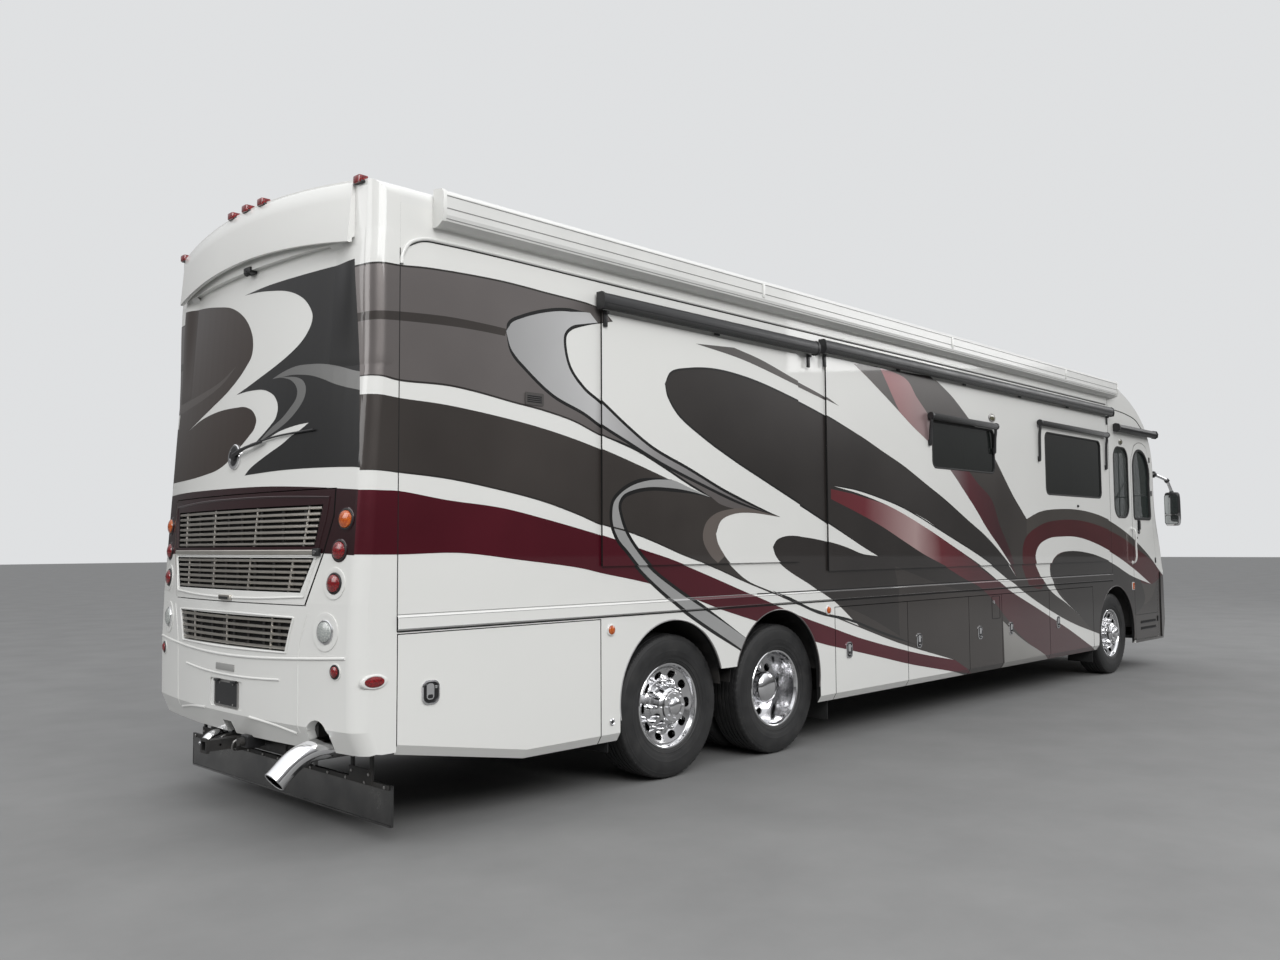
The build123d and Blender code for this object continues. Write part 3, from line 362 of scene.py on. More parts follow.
chassis_black(); tyre_rubber(); flap_gloss(); floor_pale()
dark_glass("glass_dark", (0.010, 0.012, 0.011), 0.96)
dark_glass("glass_cab", (0.030, 0.042, 0.038), 0.50)
dark_glass("glass_front", (0.030, 0.045, 0.042), 0.42)
fabric("cloth_black", (0.018, 0.018, 0.018))
fabric("carpet", (0.13, 0.11, 0.09), 500.0)
leather("leather_tan", (0.30, 0.22, 0.155))
leather("leather_dark", (0.075, 0.06, 0.05))
plastic("inner_wall", (0.34, 0.30, 0.25), 0.6, 300.0, 0.2)
plastic("liner", (0.20, 0.20, 0.195), 0.55, 260.0, 0.3)


def dress(node, mat):
    o = NODES[node]
    o.data.materials.clear()
    o.data.materials.append(MATS[mat])


NODE_MAT = {"roof": "roof_white", "roof_units": "roof_unit", "wall_awnings": "white_case", "chassis": "chassis_black",
            "engine": "chassis_black", "drive_axle": "chassis_black", "front_axle": "chassis_black", "tag_axle": "chassis_black",
            "steering_knuckle_left": "chassis_black", "steering_knuckle_right": "chassis_black", "hitch": "chassis_black",
            "tail_pipes": "chrome", "mirrors": "black_plastic", "mud_flap": "flap_gloss", "floor": "carpet", "cockpit": "dash",
            "entry_steps": "black_plastic", "cab_windows": "glass_cab", "entry_door_window": "glass_cab",
            "slide_windows_left": "glass_dark", "slide_windows_right": "glass_dark"}
for name in NODES:
    m = NODE_MAT.get(name, "white")
    if name.startswith("tyre"):
        m = "tyre_rubber"
    elif name.startswith("wheel_"):
        m = "polished"
    elif name.startswith("slide_awnings"):
        m = "black_plastic"
    dress(name, m)


def two_tone(node, mat, test):
    """Faces of a node that pass the test get a second material."""
    o = NODES[node]
    o.data.materials.append(MATS[mat])
    k = len(o.data.materials) - 1
    for p in o.data.polygons:
        if test(p.center):
            p.material_index = k


two_tone("wall_awnings", "black_plastic", lambda c: c.z < 3.25)
two_tone("cab_windows", "glass_front", lambda c: c.x > sx(9.505) and abs(c.y) < 1.25)


# ------------------------------------------------------------------ mesh helpers
def add_mesh(name, verts, faces, mats, body, face_mat=None, smooth=False):
    me = bpy.data.meshes.new(name)
    me.from_pydata([tuple(map(float, v)) for v in verts], [], [tuple(map(int, f)) for f in faces])
    for m in (mats if isinstance(mats, (list, tuple)) else [mats]):
        me.materials.append(MATS[m])
    if face_mat is not None:
        me.polygons.foreach_set("material_index", [int(i) for i in face_mat])
    if smooth:
        me.polygons.foreach_set("use_smooth", [True] * len(me.polygons))
    me.validate()
    me.update()
    o = bpy.data.objects.new(name, me)
    bpy.context.scene.collection.objects.link(o)
    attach(o, body)
    return o


def sharp_smooth(o, angle=35.0):
    """Smooth shading that keeps edges over the angle crisp."""
    bm = bmesh.new()
    bm.from_mesh(o.data)
    lim = math.radians(angle)
    for f in bm.faces:
        f.smooth = True
    for e in bm.edges:
        if len(e.link_faces) == 2 and e.calc_face_angle(0) > lim:
            e.smooth = False
    bm.to_mesh(o.data)
    bm.free()


class Bag:
    """Collects simple solids into one joined mesh."""

    def __init__(self):
        self.v, self.f, self.m = [], [], []

    def add(self, verts, faces, mat=0):
        k = len(self.v)
        self.v += [tuple(map(float, p)) for p in verts]
        self.f += [tuple(i + k for i in f) for f in faces]
        self.m += [mat] * len(faces)

    def box(self, c, s, bevel=0.0, mat=0, rot=None, segs=2):
        bm = bmesh.new()
        bmesh.ops.create_cube(bm, size=1.0)
        bmesh.ops.scale(bm, vec=s, verts=bm.verts)
        if bevel > 0:
            bmesh.ops.bevel(bm, geom=list(bm.edges), offset=min(bevel, min(s) * 0.49), segments=segs, profile=0.6, affect="EDGES")
        if rot is not None:
            bmesh.ops.rotate(bm, cent=(0, 0, 0), matrix=rot, verts=bm.verts)
        bmesh.ops.translate(bm, vec=c, verts=bm.verts)
        bm.verts.index_update()
        self.add([v.co for v in bm.verts], [[v.index for v in f.verts] for f in bm.faces], mat)
        bm.free()

    def lathe(self, centre, axis, prof, n=48, mat=0, up=None, scale=(1.0, 1.0)):
        """prof: (distance along the axis, radius); closed where the radius is 0 at the ends."""
        axis = Vector(axis).normalized()
        u = Vector(up) if up is not None else (Vector((0, 0, 1)) if abs(axis.z) < 0.9 else Vector((1, 0, 0)))
        u = (u - axis * u.dot(axis)).normalized()
        w = axis.cross(u)
        c = Vector(centre)
        vs, fs = [], []
        rings = []
        for d, r in prof:
            if r < 1e-7:
                rings.append([len(vs)])
                vs.append(c + axis * d)
            else:
                rings.append(list(range(len(vs), len(vs) + n)))
                for k in range(n):
                    a = 2 * math.pi * k / n
                    vs.append(c + axis * d + u * (r * scale[0] * math.cos(a)) + w * (r * scale[1] * math.sin(a)))
        for a, b in zip(rings, rings[1:]):
            for k in range(n):
                k2 = (k + 1) % n
                if len(a) == 1 and len(b) == 1:
                    continue
                if len(a) == 1:
                    fs.append((a[0], b[k2], b[k]))
                elif len(b) == 1:
                    fs.append((a[k], a[k2], b[0]))
                else:
                    fs.append((a[k], a[k2], b[k2], b[k]))
        self.add(vs, fs, mat)

    def ring(self, centre, axis, prof, n=64, mat=0, scale=(1.0, 1.0)):
        """A closed section turned all round: prof is a closed loop of (distance, radius)."""
        self.lathe(centre, axis, list(prof) + [prof[0]], n, mat, scale=scale)

    def tube(self, pts, r, n=12, mat=0, cap=True):
        pts = [Vector(p) for p in pts]
        rs = r if isinstance(r, (list, tuple)) else [r] * len(pts)
        vs, fs = [], []
        t0 = (pts[1] - pts[0]).normalized()
        ref = Vector((0, 0, 1)) if abs(t0.z) < 0.9 else Vector((1, 0, 0))
        u = (ref - t0 * ref.dot(t0)).normalized()
        for i, p in enumerate(pts):
            a = pts[max(i - 1, 0)]
            b = pts[min(i + 1, len(pts) - 1)]
            t = (b - a).normalized()
            u = (u - t * u.dot(t)).normalized()
            w = t.cross(u)
            for k in range(n):
                g = 2 * math.pi * k / n
                vs.append(p + (u * math.cos(g) + w * math.sin(g)) * rs[i])
        for i in range(len(pts) - 1):
            for k in range(n):
                k2 = (k + 1) % n
                fs.append((i * n + k, i * n + k2, (i + 1) * n + k2, (i + 1) * n + k))
        if cap:
            fs.append(tuple(range(n - 1, -1, -1)))
            fs.append(tuple((len(pts) - 1) * n + k for k in range(n)))
        self.add(vs, fs, mat)

    def prism(self, outline, origin, du, dv, dn, depth, mat=0):
        """A closed outline in the plane (du, dv), pushed out by depth along dn."""
        o, du, dv, dn = Vector(origin), Vector(du), Vector(dv), Vector(dn)
        n = len(outline)
        lo = [o + du * a + dv * b for a, b in outline]
        hi = [p + dn * depth for p in lo]
        self.add(lo + hi, [tuple(range(n - 1, -1, -1)), tuple(range(n, 2 * n))] + [(k, (k + 1) % n, n + (k + 1) % n, n + k) for k in range(n)], mat)

    def sheet(self, grid, thick, mat=0):
        """A curved plate from a grid of points, given a thickness along its own normals."""
        g = np.array(grid, float)
        h, w = g.shape[:2]
        du = np.gradient(g, axis=1)
        dv = np.gradient(g, axis=0)
        nn = np.cross(du, dv)
        nn /= np.maximum(np.linalg.norm(nn, axis=2, keepdims=True), 1e-12)
        back = g - nn * thick
        vs = list(g.reshape(-1, 3)) + list(back.reshape(-1, 3))
        off = h * w
        fs = []
        for i in range(h - 1):
            for j in range(w - 1):
                a, b, c, d = i * w + j, i * w + j + 1, (i + 1) * w + j + 1, (i + 1) * w + j
                fs.append((a, b, c, d))
                fs.append((off + d, off + c, off + b, off + a))
        rim = [j for j in range(w)] + [i * w + w - 1 for i in range(1, h)] + [(h - 1) * w + j for j in range(w - 2, -1, -1)] + [i * w for i in range(h - 2, 0, -1)]
        for k in range(len(rim)):
            a, b = rim[k], rim[(k + 1) % len(rim)]
            fs.append((b, a, off + a, off + b))
        self.add(vs, fs, mat)

    def build(self, name, mats, body, slot=None, angle=35.0):
        bm = bmesh.new()
        vv = [bm.verts.new(p) for p in self.v]
        for f, m in zip(self.f, self.m):
            try:
                face = bm.faces.new([vv[i] for i in f])
                face.material_index = m
            except ValueError:
                pass
        bmesh.ops.remove_doubles(bm, verts=bm.verts, dist=1e-6)
        bmesh.ops.recalc_face_normals(bm, faces=bm.faces)
        me = bpy.data.meshes.new(name)
        bm.to_mesh(me)
        bm.free()
        for m in (mats if isinstance(mats, (list, tuple)) else [mats]):
            me.materials.append(MATS[m])
        o = bpy.data.objects.new(name, me)
        bpy.context.scene.collection.objects.link(o)
        sharp_smooth(o, angle)
        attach(o, body)
        return o


def round_rect(w, h, r, n=6):
    pts = []
    for cx, cy, a0 in ((w / 2 - r, h / 2 - r, 0), (-w / 2 + r, h / 2 - r, 90), (-w / 2 + r, -h / 2 + r, 180), (w / 2 - r, -h / 2 + r, 270)):
        for k in range(n + 1):
            a = math.radians(a0 + 90 * k / n)
            pts.append((cx + r * math.cos(a), cy + r * math.sin(a)))
    return pts


def smooth_line(pts, n=10):
    """A smooth curve through the points (centripetal Catmull-Rom)."""
    P = [np.array(p, float) for p in pts]
    if len(P) < 3:
        return P
    out = []
    for i in range(len(P) - 1):
        p0 = P[i - 1] if i > 0 else 2 * P[0] - P[1]
        p1, p2 = P[i], P[i + 1]
        p3 = P[i + 2] if i + 2 < len(P) else 2 * P[-1] - P[-2]
        t = [0.0]
        for a, b in ((p0, p1), (p1, p2), (p2, p3)):
            t.append(t[-1] + max(float(np.linalg.norm(b - a)), 1e-9) ** 0.5)
        for k in range(n):
            s = t[1] + (t[2] - t[1]) * k / n
            A1 = (t[1] - s) / (t[1] - t[0]) * p0 + (s - t[0]) / (t[1] - t[0]) * p1
            A2 = (t[2] - s) / (t[2] - t[1]) * p1 + (s - t[1]) / (t[2] - t[1]) * p2
            A3 = (t[3] - s) / (t[3] - t[2]) * p2 + (s - t[2]) / (t[3] - t[2]) * p3
            B1 = (t[2] - s) / (t[2] - t[0]) * A1 + (s - t[0]) / (t[2] - t[0]) * A2
            B2 = (t[3] - s) / (t[3] - t[1]) * A2 + (s - t[1]) / (t[3] - t[1]) * A3
            out.append((t[2] - s) / (t[2] - t[1]) * B1 + (s - t[1]) / (t[2] - t[1]) * B2)
    out.append(P[-1])
    return out


# ------------------------------------------------------------------ the paint scheme
# Outlines of the painted swooshes, in metres: (station from the tag axle, height) on the sides and (y, z) on the rear.
# Each shape is a list of smooth strokes that meet at sharp corners; later shapes lie on earlier ones.
SIDE_PAINT = [
    ("ground_low", "charcoal", [
        [(-0.749, 3.197)],
        [(-0.139, 2.760), (0.259, 2.832), (1.493, 2.558), (3.038, 2.215), (5.010, 1.462)],
        [(5.010, 1.462), (5.636, 1.898)],
        [(5.636, 1.898), (5.999, 1.986), (6.567, 2.026), (7.174, 2.021), (7.819, 1.954), (8.371, 1.836), (8.868, 1.685), (9.451, 1.444), (9.782, 1.264), (10.400, 0.972)],
        [(10.400, 0.972), (10.617, 0.262), (10.112, -0.522)],
        [(10.112, -0.522), (4.594, 0.063)],
        [(4.606, 0.271), (3.888, 0.414), (3.146, 0.541), (2.638, 0.644), (2.166, 0.739), (1.727, 0.828), (0.922, 1.042)],
        [(0.922, 1.042), (0.425, 1.171), (0.139, 1.255), (-0.274, 1.366), (-0.748, 1.451), (-0.934, 1.487), (-1.430, 1.545), (-1.877, 1.591), (-2.294, 1.586), (-2.850, 1.592)],
        [(-2.850, 1.592), (-2.850, 3.158)],
        [(-2.850, 3.158), (-2.425, 3.193), (-2.290, 3.199), (-2.097, 3.218), (-1.589, 3.236), (-1.188, 3.224), (-0.885, 3.215), (-0.730, 3.200)],
    ]),
    ("upper_grey", "taupe", [
        [(-2.850, 3.158), (-2.425, 3.193), (-2.290, 3.199), (-2.097, 3.218), (-1.589, 3.236), (-1.188, 3.224), (-0.885, 3.215), (-0.730, 3.200)],
        [(-0.730, 3.200), (-0.371, 2.763), (0.476, 2.184), (1.181, 1.848)],
        [(1.181, 1.848), (0.472, 1.925), (0.359, 1.974)],
        [(0.359, 1.974), (0.106, 2.066), (-0.175, 2.181), (-0.433, 2.277), (-0.753, 2.357), (-0.984, 2.430), (-1.246, 2.478), (-1.486, 2.506), (-1.752, 2.541), (-1.974, 2.559), (-2.291, 2.553), (-2.418, 2.567), (-2.850, 2.554)],
        [(-2.850, 2.554), (-2.850, 3.158)],
    ]),
    ("upper_band", "charcoal", [
        [(-2.850, 2.904), (-2.422, 2.926), (-2.288, 2.939), (-1.956, 2.959), (-1.664, 2.955), (-1.534, 2.949)],
        [(-1.534, 2.949), (-1.550, 2.904)],
        [(-1.550, 2.904), (-1.739, 2.908), (-1.955, 2.906), (-2.287, 2.888), (-2.422, 2.877), (-2.850, 2.855)],
        [(-2.850, 2.855), (-2.850, 2.904)],
    ]),
    ("maroon_f", "maroon", [
        [(-2.850, 1.940), (-2.411, 1.937), (-2.291, 1.936), (-1.970, 1.895), (-1.569, 1.858), (-1.197, 1.791), (-0.933, 1.737), (-0.756, 1.699), (-0.618, 1.666), (-0.390, 1.606), (-0.090, 1.534), (0.294, 1.421), (0.707, 1.293), (1.101, 1.171), (1.523, 1.042), (1.874, 0.949), (2.324, 0.830), (3.275, 0.631), (3.992, 0.510)],
        [(3.992, 0.510), (4.395, 0.340)],
        [(3.888, 0.414), (3.146, 0.541), (2.638, 0.644), (2.166, 0.739), (1.727, 0.828), (0.922, 1.042)],
        [(0.922, 1.042), (0.425, 1.171), (0.139, 1.255), (-0.274, 1.366), (-0.748, 1.451), (-0.934, 1.487), (-1.430, 1.545), (-1.877, 1.591), (-2.294, 1.586), (-2.850, 1.592)],
        [(-2.850, 1.592), (-2.850, 1.940)],
    ]),
    ("white_b", "white", [
        [(-2.850, 2.554), (-2.418, 2.567), (-2.291, 2.553), (-1.974, 2.559), (-1.752, 2.541), (-1.486, 2.506), (-1.246, 2.478), (-0.984, 2.430), (-0.753, 2.357), (-0.433, 2.277), (-0.175, 2.181), (0.106, 2.066), (0.359, 1.974)],
        [(0.359, 1.974), (0.149, 2.011), (-0.073, 2.081), (-0.434, 2.182), (-0.753, 2.264), (-1.104, 2.338), (-1.455, 2.392), (-1.973, 2.443), (-2.290, 2.453), (-2.417, 2.462), (-2.850, 2.457)],
        [(-2.850, 2.457), (-2.850, 2.554)],
    ]),
    ("white_e", "white", [
        [(-2.850, 2.047), (-2.413, 2.046), (-2.292, 2.041), (-1.971, 2.021), (-1.630, 1.976), (-1.246, 1.909), (-0.933, 1.827), (-0.755, 1.771), (-0.495, 1.720), (-0.271, 1.660), (0.026, 1.568), (0.419, 1.462), (0.744, 1.359), (1.103, 1.256), (1.430, 1.157), (1.877, 1.048), (2.327, 0.923), (2.979, 0.742), (3.992, 0.510)],
        [(3.992, 0.510), (3.275, 0.631), (2.324, 0.830), (1.874, 0.949), (1.523, 1.042), (1.101, 1.171), (0.707, 1.293), (0.294, 1.421), (-0.090, 1.534), (-0.390, 1.606), (-0.618, 1.666), (-0.756, 1.699), (-0.933, 1.737), (-1.197, 1.791), (-1.569, 1.858), (-1.970, 1.895), (-2.291, 1.936), (-2.411, 1.937), (-2.850, 1.940)],
        [(-2.850, 1.940), (-2.850, 2.047)],
    ]),
    ("silver_h", "silver_h", [
        [(-1.542, 2.936), (-1.511, 2.996), (-1.408, 3.049), (-1.246, 3.105), (-1.086, 3.140), (-0.840, 3.156)],
        [(-0.840, 3.156), (-0.657, 3.001), (-0.372, 2.625), (0.251, 2.283), (1.181, 1.848)],
        [(1.181, 1.848), (0.707, 1.938), (0.248, 2.065), (-0.175, 2.195), (-0.520, 2.326), (-0.752, 2.416), (-0.896, 2.483), (-1.163, 2.575), (-1.376, 2.709), (-1.503, 2.818), (-1.542, 2.936)],
    ]),
    ("white_j", "white", [
        [(-1.061, 2.927), (-1.052, 2.986), (-1.000, 3.033), (-0.894, 3.068), (-0.749, 3.099), (-0.562, 3.137), (0.263, 3.098), (1.508, 3.133), (2.293, 3.194)],
        [(2.277, 3.192), (2.529, 3.080), (2.883, 2.909), (3.247, 2.727), (3.593, 2.572), (3.992, 2.327), (4.239, 2.149), (4.456, 1.987), (4.712, 1.777), (4.994, 1.582), (5.228, 1.406), (5.399, 1.265)],
        [(5.399, 1.265), (5.171, 1.428), (4.708, 1.690), (3.850, 2.055), (3.042, 2.307)],
        [(3.042, 2.307), (2.886, 1.435)],
        [(2.886, 1.435), (2.539, 1.511), (2.317, 1.556)],
        [(2.317, 1.556), (2.088, 1.626), (1.824, 1.709), (1.474, 1.796), (1.181, 1.848)],
        [(1.181, 1.848), (0.939, 1.906), (0.508, 2.030), (0.108, 2.174), (-0.265, 2.301), (-0.519, 2.434), (-0.752, 2.575), (-0.895, 2.653), (-1.018, 2.777), (-1.061, 2.927)],
    ]),
    ("lobe_k", "lobe", [
        [(-0.139, 2.760), (-0.075, 2.845), (0.117, 2.896), (0.419, 2.924), (0.847, 2.896), (1.417, 2.796), (1.867, 2.696), (2.383, 2.564), (2.722, 2.457), (3.079, 2.346), (3.454, 2.204), (3.850, 2.055), (4.267, 1.877), (4.708, 1.690), (5.171, 1.428), (5.399, 1.265)],
        [(5.399, 1.265), (4.992, 1.151), (4.127, 1.180), (2.886, 1.435)],
        [(2.886, 1.435), (2.350, 1.616), (1.899, 1.793), (1.397, 1.979), (0.944, 2.145), (0.618, 2.266), (0.264, 2.415), (-0.005, 2.560), (-0.108, 2.678), (-0.139, 2.760)],
    ]),
    ("blade_l", "grey", [
        [(0.632, 3.117), (0.963, 3.066), (1.421, 2.959), (1.828, 2.869), (2.034, 2.803)],
        [(2.034, 2.803), (1.827, 2.843), (1.420, 2.918), (0.739, 3.038), (0.196, 3.089)],
        [(0.196, 3.089), (0.632, 3.117)],
    ]),
    ("q_ground", "grey", [
        [(2.277, 3.192), (3.633, 3.239)],
        [(3.633, 3.239), (3.743, 3.193), (4.029, 3.075), (4.320, 2.912), (4.591, 2.750), (4.858, 2.564), (5.043, 2.398), (5.321, 2.140), (5.518, 1.988), (5.636, 1.898)],
        [(5.636, 1.898), (5.732, 1.452), (5.399, 1.265)],
        [(5.399, 1.265), (5.228, 1.406), (4.994, 1.582), (4.712, 1.777), (4.456, 1.987), (4.239, 2.149), (3.992, 2.327), (3.593, 2.572), (3.247, 2.727), (2.883, 2.909), (2.529, 3.080), (2.277, 3.192)],
    ]),
    ("q_dark", "charcoal", [
        [(4.292, 2.367), (4.729, 2.470), (4.954, 2.461)],
        [(4.954, 2.461), (5.321, 2.140), (5.518, 1.988), (5.636, 1.898)],
        [(5.636, 1.898), (5.732, 1.452), (5.399, 1.265)],
        [(5.399, 1.265), (5.228, 1.406), (4.994, 1.582), (4.712, 1.777), (4.456, 1.987), (4.239, 2.149), (4.120, 2.240)],
        [(4.120, 2.240), (4.292, 2.367)],
    ]),
    ("strip_q", "strip", [
        [(2.600, 3.213), (3.165, 3.149), (3.335, 3.007), (3.485, 2.903), (3.622, 2.804), (3.995, 2.588), (4.499, 2.255), (4.819, 2.082), (4.986, 1.826), (5.203, 1.564), (5.399, 1.265)],
        [(5.399, 1.265), (5.228, 1.406), (4.994, 1.582), (4.712, 1.777), (4.456, 1.987), (4.239, 2.149), (3.992, 2.327), (3.593, 2.572), (3.247, 2.727), (2.883, 2.909), (2.529, 3.080)],
        [(2.529, 3.080), (2.277, 3.192)],
        [(2.277, 3.192), (2.600, 3.213)],
    ]),
    ("wedge_q", "grey", [
        [(2.690, 3.219), (2.790, 3.110), (2.890, 2.990), (3.020, 2.843)],
        [(3.020, 2.843), (2.883, 2.909), (2.529, 3.080), (2.277, 3.192)],
        [(2.277, 3.192), (2.690, 3.219)],
    ]),
    ("arc_r", "brown", [
        [(5.636, 1.898), (5.999, 1.986), (6.567, 2.026), (7.174, 2.021), (7.819, 1.954), (8.371, 1.836), (8.868, 1.685), (9.451, 1.444), (9.782, 1.264)],
        [(9.782, 1.264), (9.393, 0.873), (7.669, 0.941), (5.988, 1.449)],
        [(5.988, 1.449), (5.646, 1.670), (5.636, 1.898)],
    ]),
    ("arc_s", "maroon_s", [
        [(5.664, 1.183), (5.509, 1.466), (5.571, 1.670), (5.988, 1.836), (6.558, 1.900), (7.164, 1.896), (7.808, 1.825), (8.496, 1.697), (8.943, 1.567)],
        [(8.943, 1.567), (9.559, 1.376), (9.893, 1.194)],
        [(9.893, 1.194), (9.453, 1.084), (8.022, 1.299), (6.524, 1.442), (6.107, 1.281)],
        [(6.107, 1.281), (6.019, 1.139), (5.664, 1.183)],
    ]),
    ("hook_in", "lobe", [
        [(6.244, 1.333), (6.306, 1.445), (6.474, 1.511), (7.019, 1.565), (7.717, 1.512), (8.364, 1.380), (9.051, 1.174)],
        [(9.051, 1.174), (9.206, 0.880), (7.628, 0.461)],
        [(7.628, 0.461), (7.102, 0.753)],
        [(7.102, 0.753), (6.604, 1.007), (6.244, 1.333)],
    ]),
    ("white_t", "white", [
        [(5.880, 1.384), (5.836, 1.495), (5.921, 1.604), (6.189, 1.687), (6.544, 1.710), (6.971, 1.706), (7.447, 1.647), (8.107, 1.509), (8.811, 1.309), (9.453, 1.084)],
        [(9.453, 1.084), (8.731, 1.214), (8.095, 1.384), (7.435, 1.502), (6.814, 1.543), (6.419, 1.506), (6.263, 1.412), (6.253, 1.277), (6.442, 1.075), (6.711, 0.934), (7.132, 0.751)],
        [(7.132, 0.751), (6.655, 0.947), (6.280, 1.086), (6.025, 1.238), (5.880, 1.384)],
    ]),
    ("maroon_v", "band_v", [
        [(1.893, 2.093), (2.225, 2.062)],
        [(2.225, 2.062), (2.872, 1.956), (4.026, 1.591), (5.155, 1.167), (6.745, 0.634), (7.586, 0.332)],
        [(7.586, 0.332), (7.300, 0.223), (6.432, 0.181), (6.173, 0.336)],
        [(6.173, 0.336), (5.433, 0.659), (5.091, 0.878), (4.676, 1.135), (4.134, 1.316), (3.819, 1.419), (3.424, 1.531), (3.051, 1.659), (2.697, 1.783), (2.359, 1.884), (1.891, 2.009)],
        [(1.891, 2.009), (1.893, 2.093)],
    ]),
    ("white_u", "white", [
        [(1.924, 2.119), (2.226, 2.105), (2.624, 2.048), (3.063, 1.960), (3.439, 1.865), (3.834, 1.730), (4.252, 1.600), (4.694, 1.455), (5.265, 1.226), (5.930, 0.978), (6.766, 0.724), (7.634, 0.532)],
        [(7.634, 0.532), (7.586, 0.332)],
        [(7.586, 0.332), (7.360, 0.405), (6.759, 0.628), (5.925, 0.908), (5.155, 1.162), (4.689, 1.359), (4.040, 1.587), (3.436, 1.790), (2.882, 1.953), (2.365, 2.060), (1.924, 2.119)],
    ]),
    ("silver_w", "silver_w", [
        [(5.042, 0.828), (5.292, 0.700), (5.575, 0.576), (5.920, 0.454), (6.252, 0.319)],
        [(6.252, 0.319), (5.056, 0.302)],
        [(5.056, 0.302), (5.042, 0.828)],
    ]),
    ("hook_c", "silver_c", [
        [(0.359, 1.974), (0.138, 2.032), (-0.073, 2.088), (-0.267, 2.087), (-0.435, 2.059), (-0.579, 1.993), (-0.654, 1.924), (-0.673, 1.851), (-0.664, 1.759), (-0.609, 1.660), (-0.525, 1.586), (-0.391, 1.464), (-0.214, 1.337), (0.063, 1.166), (0.333, 1.024), (0.699, 0.846), (0.927, 0.724)],
        [(0.927, 0.724), (0.760, 0.931)],
        [(0.760, 0.931), (0.447, 1.097), (0.139, 1.248), (-0.050, 1.345), (-0.273, 1.475), (-0.438, 1.619), (-0.524, 1.720), (-0.570, 1.813), (-0.589, 1.899), (-0.551, 1.954), (-0.455, 1.991), (-0.298, 2.016), (-0.084, 2.017), (0.149, 2.003), (0.359, 1.974)],
    ]),
    ("white_m", "white", [
        [(0.400, 1.711), (0.458, 1.807), (0.610, 1.861), (0.827, 1.873), (1.181, 1.848)],
        [(1.181, 1.848), (1.474, 1.796), (1.824, 1.709), (2.088, 1.626), (2.317, 1.556)],
        [(2.317, 1.556), (2.103, 1.609), (1.808, 1.660), (1.512, 1.692), (1.269, 1.699), (1.138, 1.667), (1.085, 1.613)],
        [(1.085, 1.613), (1.122, 1.543), (1.263, 1.447), (1.585, 1.312), (1.939, 1.161), (2.327, 0.923)],
        [(2.327, 0.923), (1.877, 1.048), (1.430, 1.157), (1.103, 1.264)],
        [(1.103, 1.264), (0.793, 1.358), (0.639, 1.443), (0.500, 1.549), (0.421, 1.645), (0.400, 1.711)],
    ]),
    ("lobe_o", "lobe", [
        [(1.085, 1.613), (1.138, 1.667), (1.269, 1.699), (1.512, 1.692), (1.808, 1.660), (2.103, 1.609), (2.317, 1.556)],
        [(2.317, 1.556), (2.886, 1.435), (2.981, 0.805)],
        [(2.981, 0.805), (2.488, 0.992), (1.939, 1.161), (1.585, 1.312), (1.263, 1.447), (1.122, 1.543), (1.085, 1.613)],
    ]),
    ("taupe_m", "taupe2", [
        [(0.419, 1.499), (0.341, 1.551), (0.264, 1.645), (0.254, 1.710), (0.289, 1.790), (0.391, 1.857), (0.588, 1.898), (0.828, 1.903), (1.181, 1.848)],
        [(1.181, 1.848), (0.827, 1.873), (0.610, 1.861), (0.458, 1.807), (0.400, 1.711), (0.421, 1.645), (0.500, 1.549)],
        [(0.500, 1.549), (0.419, 1.499)],
    ]),
]

